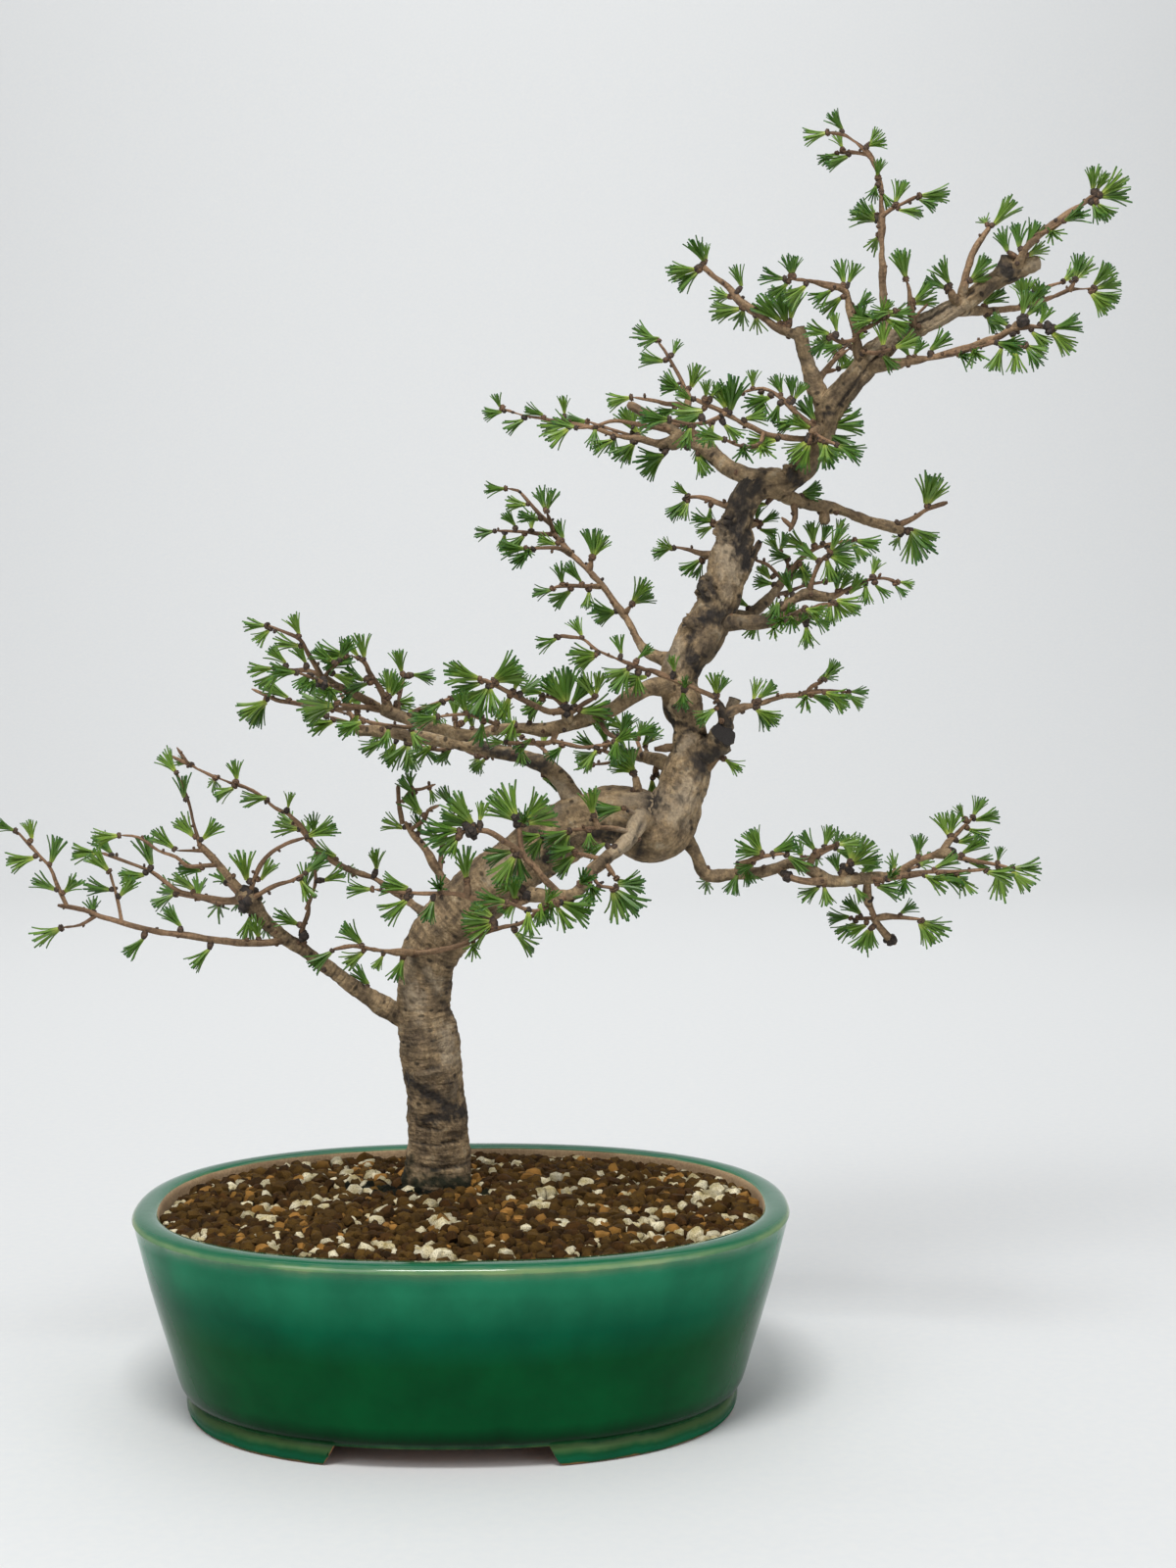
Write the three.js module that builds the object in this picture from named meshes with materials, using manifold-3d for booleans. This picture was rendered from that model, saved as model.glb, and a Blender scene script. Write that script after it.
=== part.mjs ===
// Larch bonsai in a green glazed oval pot: pot, soil, drainage screens, trunk and leafy branches.
// Millimetres, +Z up. The tree is drawn in front elevation and set back by its depth.
import * as THREE from 'three';
import { mergeVertices } from 'three/addons/utils/BufferGeometryUtils.js';
import Module from 'manifold-3d';

const wasm = await Module();
wasm.setup();

// ---- driving dimensions of the pot (mm); half lengths run along X
const RIM_HALF = 150;
const RIM_TOP = 93;
const LIP = 12;
const FOOT_HALF = 126;
const FOOT_HEIGHT = 9.5;
const FOOT_RING = 15;
const FLOOR_TOP = 17.5;
const OVAL_RATIO = 0.76;
const OVAL_POWER = 2.3;
const POT_SIDES = 36;
const NOTCH_HALF = 51.5;
// the notches between the feet sit a little left of the middle
const NOTCH_SHIFT = -6.5;
const NOTCH_SLOPE = 6;
const HOLE_RADIUS = 9;
const HOLE_OFFSET = 55;
const SCREEN_SIZE = 30;
const SCREEN_THICK = 1.2;
const SCREEN_CELLS = 2;
const SCREEN_BAR = 2;
const GAP = 0.3;

// ---- soil
const SOIL_EDGE = 86.5;
const SOIL_MOUND = 5.5;
const SOIL_RINGS = 10;
const GRAIN_RELIEF = 2.2;

// ---- the tree's drawing: seen from EYE, every drawn point lies on the plane y = 0
const EYE = new THREE.Vector3(33, -1026, 355);
const TRUNK_SIDES = 10;
const BARK_FLUTE = 0.045;
const LIMB_SIDES = 4;
const TWIG_SIDES = 3;
const LIMB_RADIUS = 2.3;
const TRUNK_TOLERANCE = 0.7;
const TWIG_TOLERANCE = 2.2;
const NEEDLE_LENGTH = 15;
// a tuft's needles are a little shorter than the outline drawn for it
const NEEDLE_SHARE = 0.9;
const NEEDLES = 3;
const SPREAD_LEAST = 12;
const SPREAD_RANGE = 22;
const LEAN_SPREAD = 0.9;
const TUFT_SPACING = 8;
const CORE_RADIUS = 1.5;
const CORE_LENGTH = 2.2;
const TIP_REACH = 7;
const NEEDLE_RADIUS = 0.9;
const FAR = 60;
const GOLDEN = 0.6180339887;

const MATERIALS = {
  glaze: new THREE.MeshStandardMaterial({ color: 0x1f5a48, roughness: 0.22, metalness: 0 }),
  soil: new THREE.MeshStandardMaterial({ color: 0x6b5844, roughness: 0.95, metalness: 0 }),
  screen: new THREE.MeshStandardMaterial({ color: 0x20242a, roughness: 0.6, metalness: 0 }),
  bark: new THREE.MeshStandardMaterial({ color: 0x7d6a54, roughness: 0.85, metalness: 0 }),
  needles: new THREE.MeshStandardMaterial({ color: 0x4f8238, roughness: 0.6, metalness: 0 }),
};

const tree = new THREE.Group();
const fraction = (value) => value - Math.floor(value);

// ---- solids from three.js geometries
function solid(geometry) {
  const bare = geometry.clone();
  bare.deleteAttribute('normal');
  bare.deleteAttribute('uv');
  const merged = mergeVertices(bare, 1e-4);
  return new wasm.Manifold(new wasm.Mesh({
    numProp: 3,
    vertProperties: new Float32Array(merged.attributes.position.array),
    triVerts: new Uint32Array(merged.index.array),
  }));
}

function largest(body) {
  return body.decompose().reduce((best, piece) => (piece.volume() > best.volume() ? piece : best));
}

function addPiece(name, body, material) {
  const mesh = body.getMesh();
  const geometry = new THREE.BufferGeometry();
  geometry.setAttribute('position', new THREE.BufferAttribute(new Float32Array(mesh.vertProperties), 3));
  geometry.setIndex(new THREE.BufferAttribute(new Uint32Array(mesh.triVerts), 1));
  const piece = new THREE.Mesh(geometry, material);
  piece.name = name;
  tree.add(piece);
}

// ---- pot: ovals turned as a lathe profile of (half length, height), then squeezed to the oval
function ovalSolid(profile, inset = 0) {
  const points = profile.map(([half, height]) => new THREE.Vector2(half, height));
  const geometry = new THREE.LatheGeometry(points, POT_SIDES);
  const position = geometry.attributes.position;
  for (let i = 0; i < position.count; i += 1) {
    const half = Math.hypot(position.getX(i), position.getZ(i));
    const angle = half > 1e-6 ? Math.atan2(-position.getZ(i), position.getX(i)) : 0;
    const [x, y] = ovalPoint(angle, half, inset);
    position.setXYZ(i, half > 1e-6 ? x : 0, half > 1e-6 ? y : 0, position.getY(i));
  }
  return solid(geometry);
}

function ovalPoint(angle, half, inset) {
  const across = Math.max(half * OVAL_RATIO - inset * (1 - OVAL_RATIO), 0);
  const [c, s] = [Math.cos(angle), Math.sin(angle)];
  return [
    half * Math.sign(c) * Math.abs(c) ** (2 / OVAL_POWER),
    across * Math.sign(s) * Math.abs(s) ** (2 / OVAL_POWER),
  ];
}

function extruded(outline, depth) {
  const shape = new THREE.Shape(outline.map(([x, y]) => new THREE.Vector2(x, y)));
  return new THREE.ExtrudeGeometry(shape, { depth, bevelEnabled: false });
}

const CAVITY = [
  [0, FLOOR_TOP], [112, FLOOR_TOP], [122, 22], [131, 45], [136.5, 74], [RIM_HALF - LIP, RIM_TOP - 1],
];

function potBody() {
  const outside = ovalSolid([
    [0, 0], [FOOT_HALF - 1.5, 0], [FOOT_HALF, 1.2], [FOOT_HALF + 0.6, 5], [FOOT_HALF - 1.5, FOOT_HEIGHT],
    [FOOT_HALF + 2, 12], [131, 19], [137, 40], [142.5, 60], [147, 79], [149.6, 89],
    [RIM_HALF, 91], [RIM_HALF - 1.6, RIM_TOP], [0, RIM_TOP],
  ]);
  const cavity = ovalSolid([...CAVITY, [RIM_HALF - LIP + 0.6, RIM_TOP + 2], [0, RIM_TOP + 2]], LIP);
  const inner = FOOT_HALF - FOOT_RING;
  const underside = ovalSolid([[0, -2], [inner, -2], [inner - 2, FOOT_HEIGHT], [0, FOOT_HEIGHT]], FOOT_RING);
  const notch = extruded([
    [-NOTCH_HALF, -2], [NOTCH_HALF, -2], [NOTCH_HALF - NOTCH_SLOPE, FOOT_HEIGHT - 0.6],
    [NOTCH_SLOPE - NOTCH_HALF, FOOT_HEIGHT - 0.6],
  ], 240).rotateX(Math.PI / 2).translate(NOTCH_SHIFT, 120, 0);
  const hole = new THREE.CylinderGeometry(HOLE_RADIUS, HOLE_RADIUS, 20, 16).rotateX(Math.PI / 2);
  let body = outside.subtract(cavity).subtract(underside).subtract(solid(notch));
  for (const side of [-1, 1]) {
    body = body.subtract(solid(hole.clone().translate(side * HOLE_OFFSET, 0, FLOOR_TOP - 3)));
  }
  return body;
}

// ---- drainage screen: a thin plastic plate with square openings over each hole
function screenBody(x) {
  const plate = new THREE.BoxGeometry(SCREEN_SIZE, SCREEN_SIZE, SCREEN_THICK);
  const height = FLOOR_TOP + GAP + SCREEN_THICK / 2;
  let body = solid(plate.translate(x, 0, height));
  const pitch = (SCREEN_SIZE - SCREEN_BAR) / SCREEN_CELLS;
  for (let i = 0; i < SCREEN_CELLS; i += 1) {
    for (let j = 0; j < SCREEN_CELLS; j += 1) {
      const cell = new THREE.BoxGeometry(pitch - SCREEN_BAR, pitch - SCREEN_BAR, 4);
      const middle = (SCREEN_CELLS - 1) / 2;
      body = body.subtract(solid(cell.translate(x + (i - middle) * pitch, (j - middle) * pitch, height)));
    }
  }
  return body;
}

// ---- soil: fills the pot, mounded to the trunk, with granules raised on every second point
function soilBody(trunkHole) {
  const edge = RIM_HALF - LIP - 1.6;
  const wall = CAVITY.slice(0, 4).map(([half, height]) => [Math.max(half - GAP, 0), height + GAP]);
  const rings = Array.from({ length: SOIL_RINGS + 1 }, (_, i) => [edge * (1 - i / SOIL_RINGS), SOIL_EDGE]);
  const points = [...wall, ...rings].map(([half, height]) => new THREE.Vector2(half, height));
  const geometry = new THREE.LatheGeometry(points, POT_SIDES);
  const position = geometry.attributes.position;
  for (let i = 0; i < position.count; i += 1) {
    const half = Math.hypot(position.getX(i), position.getZ(i));
    const angle = half > 1e-6 ? Math.atan2(-position.getZ(i), position.getX(i)) : 0;
    const [x, y] = half > 1e-6 ? ovalPoint(angle, half, LIP) : [0, 0];
    let z = position.getY(i);
    const ring = (i % points.length) - wall.length;
    if (ring > 0 || (ring === 0 && z === SOIL_EDGE)) {
      z += SOIL_MOUND * (1 - (half / edge) ** 2);
      const segment = Math.floor(i / points.length) % POT_SIDES;
      const raised = (ring + segment) % 2;
      const grain = fraction((ring * 31 + segment * 17) * GOLDEN);
      const quiet = ring < 1 || ring === SOIL_RINGS ? 0 : 1;
      z += quiet * GRAIN_RELIEF * (raised * (0.4 + 0.6 * grain) - 0.4);
    }
    position.setXYZ(i, x, y, z);
  }
  let body = solid(geometry).subtract(trunkHole);
  for (const side of [-1, 1]) {
    const recess = new THREE.BoxGeometry(SCREEN_SIZE + 2 * GAP, SCREEN_SIZE + 2 * GAP, 4);
    recess.translate(side * HOLE_OFFSET, 0, FLOOR_TOP + SCREEN_THICK + 2 * GAP - 2);
    body = body.subtract(solid(recess));
  }
  return largest(body);
}

// ---- wood: a drawn point [x, z, y, r] is seen at (x, z) in front elevation and lies at depth y
function seen([x, z, y]) {
  const scale = (y - EYE.y) / -EYE.y;
  return new THREE.Vector3(x, 0, z).sub(EYE).multiplyScalar(scale).add(EYE);
}

function radii(points) {
  const known = points.map((point, i) => [i, point[3]]).filter(([, r]) => r !== undefined);
  return points.map((point, i) => {
    const after = known.find(([k]) => k >= i);
    const before = known.findLast(([k]) => k <= i);
    const share = after[0] === before[0] ? 0 : (i - before[0]) / (after[0] - before[0]);
    return before[1] + share * (after[1] - before[1]);
  });
}

// A limb is a cylinder whose rows are carried along the path; bark gives its section shallow flutes,
// and needles at its tip rise from the triangles of its end.
function limb(points, sides, { grow = 0, bark = 0, crown = null } = {}) {
  const path = points.map(seen);
  const radius = radii(points);
  const rows = path.length - 1;
  const tangents = path.map((_, i) => path[Math.min(i + 1, rows)].clone()
    .sub(path[Math.max(i - 1, 0)]).normalize());
  if (crown) {
    tangents[rows].lerp(crown.direction, 0.6).normalize();
    radius[rows] = CORE_RADIUS;
  }
  let normal = new THREE.Vector3(0.2, 1, 0.1).cross(tangents[0]).normalize();
  const normals = tangents.map((tangent) => {
    normal = normal.clone().addScaledVector(tangent, -normal.dot(tangent)).normalize();
    return normal;
  });
  const geometry = new THREE.CylinderGeometry(1, 1, 1, sides, rows);
  const position = geometry.attributes.position;
  const corners = [];
  for (let i = 0; i < position.count; i += 1) {
    const [x, y, z] = [position.getX(i), position.getY(i), position.getZ(i)];
    const row = Math.round((0.5 - y) * rows);
    const angle = Math.atan2(z, x);
    const flute = 1 + bark * (Math.sin(3 * angle + row * 0.7) + 0.6 * Math.sin(5 * angle - row * 1.1));
    const reach = Math.hypot(x, z) * (radius[row] * flute + grow);
    const binormal = tangents[row].clone().cross(normals[row]);
    const point = path[row].clone()
      .addScaledVector(normals[row], reach * Math.cos(angle))
      .addScaledVector(binormal, reach * Math.sin(angle));
    if (row === 0) point.addScaledVector(tangents[0], -grow);
    if (row === rows) point.addScaledVector(tangents[rows], reach < 1e-6 && crown ? CORE_LENGTH : grow);
    corners.push(point);
  }
  const faces = [...geometry.index.array];
  if (crown) raiseNeedles(corners, faces, sides, path[rows], crown);
  const shape = new THREE.BufferGeometry().setFromPoints(corners);
  return solid(shape.setIndex(faces));
}

// Raises a three-sided needle on each of the last faces of a shape, where it stays clear of the others
function raiseNeedles(corners, faces, count, root, { direction, length, turn, owner }) {
  const base = faces.splice(faces.length - 3 * count);
  const placed = [];
  for (let k = 0; k < count; k += 1) {
    const [a, b, c] = base.slice(3 * k, 3 * k + 3);
    const middle = corners[a].clone().add(corners[b]).add(corners[c]).divideScalar(3);
    const outward = middle.clone().sub(root);
    outward.addScaledVector(direction, -outward.dot(direction)).normalize();
    const spread = THREE.MathUtils.degToRad(SPREAD_LEAST + SPREAD_RANGE * fraction((k * 3 + turn) * GOLDEN));
    const tip = root.clone().addScaledVector(direction, length * Math.cos(spread))
      .addScaledVector(outward, length * Math.sin(spread));
    if (isClear(middle, tip, NEEDLE_RADIUS, owner)) {
      const point = corners.push(tip) - 1;
      faces.push(a, b, point, b, c, point, c, a, point);
      placed.push([middle, tip]);
    } else {
      faces.push(a, b, c);
    }
  }
  placed.forEach(([start, end]) => addBarrier(start, end, NEEDLE_RADIUS, owner, true));
  return placed.length;
}

function sidesOf(points) {
  return points.at(-1)[3] >= LIMB_RADIUS || points[0][3] >= LIMB_RADIUS + 1 ? LIMB_SIDES : TWIG_SIDES;
}

// Leaves out the points that a straight stretch between their neighbours passes within the tolerance
function thinned(points, tolerance) {
  const radius = radii(points);
  const full = points.map(([x, y, z], i) => [x, y, z, radius[i]]);
  const kept = (first, last) => {
    let [worst, worstGap] = [-1, tolerance];
    const [a, b] = [new THREE.Vector4(...full[first]), new THREE.Vector4(...full[last])];
    for (let i = first + 1; i < last; i += 1) {
      const point = new THREE.Vector4(...full[i]);
      const along = b.clone().sub(a);
      const share = point.clone().sub(a).dot(along) / along.dot(along);
      const gap = point.sub(a.clone().addScaledVector(along, share)).length();
      if (gap > worstGap) [worst, worstGap] = [i, gap];
    }
    return worst < 0 ? [full[last]] : [...kept(first, worst), ...kept(worst, last)];
  };
  return [full[0], ...kept(0, full.length - 1)];
}

// ---- barriers: every stretch of wood, and each needle once it is placed
const barriers = [];

function addBarrier(start, end, radius, owner, isNeedle = false) {
  barriers.push({ start, end, radius, owner, isNeedle });
}

function addWoodBarriers(paths, owner) {
  for (const points of paths) {
    const path = points.map(seen);
    const radius = radii(points);
    path.slice(1).forEach((end, i) => addBarrier(path[i], end, Math.max(radius[i], radius[i + 1]), owner));
  }
}

function segmentGap(p1, q1, p2, q2) {
  const d1 = q1.clone().sub(p1);
  const d2 = q2.clone().sub(p2);
  const r = p1.clone().sub(p2);
  const [a, e, f] = [d1.dot(d1), d2.dot(d2), d2.dot(r)];
  const [b, c] = [d1.dot(d2), d1.dot(r)];
  const denominator = a * e - b * b;
  let s = denominator > 1e-9 ? THREE.MathUtils.clamp((b * f - c * e) / denominator, 0, 1) : 0;
  let t = (b * s + f) / e;
  if (t < 0 || t > 1) {
    t = THREE.MathUtils.clamp(t, 0, 1);
    s = THREE.MathUtils.clamp((b * t - c) / a, 0, 1);
  }
  return p1.clone().addScaledVector(d1, s).distanceTo(p2.clone().addScaledVector(d2, t));
}

// Clear of all other branches and, for a needle, of the needles of its own branch too
function isClear(start, end, radius, owner) {
  return barriers.every((other) => {
    if (other.owner === owner && !other.isNeedle) return true;
    if (other.start.distanceToSquared(start) > FAR * FAR) return true;
    const spare = other.owner === owner ? -0.5 : GAP;
    return segmentGap(start, end, other.start, other.end) > radius + other.radius + spare;
  });
}

// ---- needle tuft: a slim core that rises from the wood, with a needle on each of its front faces
function tuft(foot, root, needles) {
  const { direction, turn } = needles;
  const up = Math.abs(direction.z) < 0.9 ? new THREE.Vector3(0, 0, 1) : new THREE.Vector3(1, 0, 0);
  const side = up.cross(direction).normalize();
  const across = direction.clone().cross(side);
  const step = (2 * Math.PI) / NEEDLES;
  const ring = Array.from({ length: NEEDLES }, (_, k) => root.clone()
    .addScaledVector(side, CORE_RADIUS * Math.cos(turn + k * step))
    .addScaledVector(across, CORE_RADIUS * Math.sin(turn + k * step)));
  const corners = [foot.clone().addScaledVector(direction, -0.3),
    root.clone().addScaledVector(direction, CORE_LENGTH), ...ring];
  const faces = [];
  for (let k = 0; k < NEEDLES; k += 1) faces.push(0, 2 + ((k + 1) % NEEDLES), 2 + k);
  for (let k = 0; k < NEEDLES; k += 1) faces.push(2 + k, 2 + ((k + 1) % NEEDLES), 1);
  if (!raiseNeedles(corners, faces, NEEDLES, root, needles)) return null;
  return solid(new THREE.BufferGeometry().setFromPoints(corners).setIndex(faces));
}

function nearestOnWood(x, z, paths) {
  let best = { gap: Infinity };
  for (const points of paths) {
    for (let i = 1; i < points.length; i += 1) {
      const [a, b] = [points[i - 1], points[i]];
      const [dx, dz] = [b[0] - a[0], b[1] - a[1]];
      const share = THREE.MathUtils.clamp(((x - a[0]) * dx + (z - a[1]) * dz) / (dx * dx + dz * dz), 0, 1);
      const gap = Math.hypot(a[0] + share * dx - x, a[1] + share * dz - z);
      if (gap < best.gap) {
        best = { gap, at: [a[0] + share * dx, a[1] + share * dz, a[2] + share * (b[2] - a[2])] };
      }
    }
  }
  return best.at;
}

// A drawn tuft is [x, z, degrees, length, lean]: lean -1 points it to the front and 1 to the back.
function needlesOf([, , degrees, length = NEEDLE_LENGTH, lean], turn, owner) {
  const towards = lean ?? (fraction(turn * GOLDEN) - 0.5) * LEAN_SPREAD;
  const flat = Math.sqrt(1 - towards * towards);
  const angle = THREE.MathUtils.degToRad(degrees);
  const direction = new THREE.Vector3(flat * Math.cos(angle), towards, flat * Math.sin(angle));
  return { direction, length: length * NEEDLE_SHARE, turn, owner };
}

// A twig's tip carries the nearest tuft; the others rise from the side of the wood, and one that would
// stand within TUFT_SPACING of another is left out, as its neighbour fills its place.
function branchBody(name, wood, tufts) {
  const used = new Set();
  const roots = [];
  const bodies = wood.map((points) => {
    const [x, z, , radius] = points.at(-1);
    const nearest = tufts.map((item, i) => [Math.hypot(item[0] - x, item[1] - z), i])
      .filter(([gap, i]) => gap < TIP_REACH && !used.has(i)).sort(([a], [b]) => a - b)[0];
    if (!nearest || radius >= LIMB_RADIUS) return limb(thinned(points, TWIG_TOLERANCE), sidesOf(points));
    used.add(nearest[1]);
    roots.push(seen(points.at(-1)));
    const crown = needlesOf(tufts[nearest[1]], nearest[1], name);
    return limb(thinned(points, TWIG_TOLERANCE), TWIG_SIDES, { crown });
  });
  tufts.forEach((item, i) => {
    if (used.has(i)) return;
    const needles = needlesOf(item, i, name);
    const at = nearestOnWood(item[0], item[1], wood);
    const root = seen([item[0], item[1], at[2]]).addScaledVector(needles.direction, 1.8);
    const crowded = roots.some((other) => other.distanceTo(root) < TUFT_SPACING);
    if (crowded || !isClear(seen(at), root, CORE_RADIUS, name)) return;
    const star = tuft(seen(at), root, needles);
    if (!star) return;
    roots.push(root);
    bodies.push(star);
  });
  return wasm.Manifold.union(bodies);
}

// ---- the trunk, drawn from under the soil to the cut end of the crown
const TRUNK = [
  [-13, 68.4, 30, 16.4], [-13, 92, 30, 16.4], [-12, 99, 30, 16.2], [-11.5, 110, 30, 14.8],
  [-11.2, 120, 29.5, 14.1], [-11.3, 130, 29, 14.1], [-12.5, 140, 28, 13.5], [-13.5, 150, 27, 13.6],
  [-14.8, 160, 26.5, 13.9], [-16.2, 170, 26, 13.6], [-17.8, 180, 25.5, 12.5], [-17.8, 190, 24.5, 12.6],
  [-16.5, 200, 23.5, 12.7], [-12.5, 210, 22, 13], [-7, 218, 20.5, 13.5], [1, 227, 19, 13.8],
  [11, 236, 17, 13.8], [21, 244, 15, 13.5], [31, 251.5, 13, 13.5], [41, 259, 11, 14.5],
  [51, 264.5, 9, 13.8], [61, 268, 7, 12.4], [70, 269.5, 5.5, 13.2], [78, 267, 4.5, 15],
  [85, 263.5, 4, 16.2], [91.5, 265, 3.5, 15.5], [96.5, 272, 3, 13], [100, 281, 2.5, 10.8],
  [103, 291, 2, 10.4], [104.5, 300, 1.5, 9], [103.5, 310, 1.5, 7.8], [100.5, 320, 2, 8.6],
  [99, 330, 2.5, 8.4], [101.5, 339, 3, 8.8], [107, 348, 4, 10.4], [112.5, 357, 5, 10.4],
  [117, 366, 5.5, 9.4], [119.3, 375, 6, 9.4], [122, 385, 6.5, 10.2], [123.8, 395, 6.5, 8.2],
  [125, 403, 6.5, 7], [128, 411, 6, 6.8], [133.5, 418.5, 5, 7], [140.5, 420.5, 4, 6.3],
  [147.5, 421.3, 3, 5.6], [153.5, 425.5, 2, 5.6], [158.5, 432.5, 1, 5.3], [162.5, 441, 0, 5],
  [165.5, 449.5, -1, 6], [168.5, 456.5, -2, 6.4], [174, 463, -3, 5.6], [180.5, 470, -4, 5.6],
  [187, 478.5, -5, 5.4], [196, 485, -6, 4.8], [205, 489.3, -7, 4.5], [215, 494.8, -8, 4.7],
  [225, 500.5, -9, 4.9], [233, 506, -10, 4.2], [242, 511.5, -11, 4], [250, 515.5, -12, 3.9],
  [257, 518, -13, 3.6], [262, 519.5, -13.5, 3.2],
];

// Old cut stubs and knots that belong to the trunk
const STUBS = [
  [[103, 296, 2, 7], [110, 298, -1, 6.6], [116, 302, -5, 6.2], [120, 307, -11, 5.8]],
  [[117, 304, -4, 4.6], [120.5, 311, -3, 3.6], [122.5, 317, -2, 3.2], [124.5, 323, -1, 3.1]],
  [[166, 452, -1, 5.5], [162.5, 459, 0, 4.4], [159.5, 467, 1, 3.9], [156.8, 475, 2, 3.6],
    [154.5, 482.5, 3, 3.5], [152.3, 490, 4, 3.3]],
  [[99, 300, 4, 2.4], [94, 300.4, 6, 1.8], [88, 300, 8, 1.3]],
  [[130, 386, 6, 3.5], [133.5, 391, 5, 2.3], [136, 394.5, 4, 1.6]],
  [[104, 352, 1, 4], [103, 357, 0, 2.6]],
  [[117, 304, 2, 4.5], [120, 298, 3, 3.4]],
  [[244, 513, -11, 4.4], [246.5, 518, -12, 4.2], [247, 523, -13, 3]],
];

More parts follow.
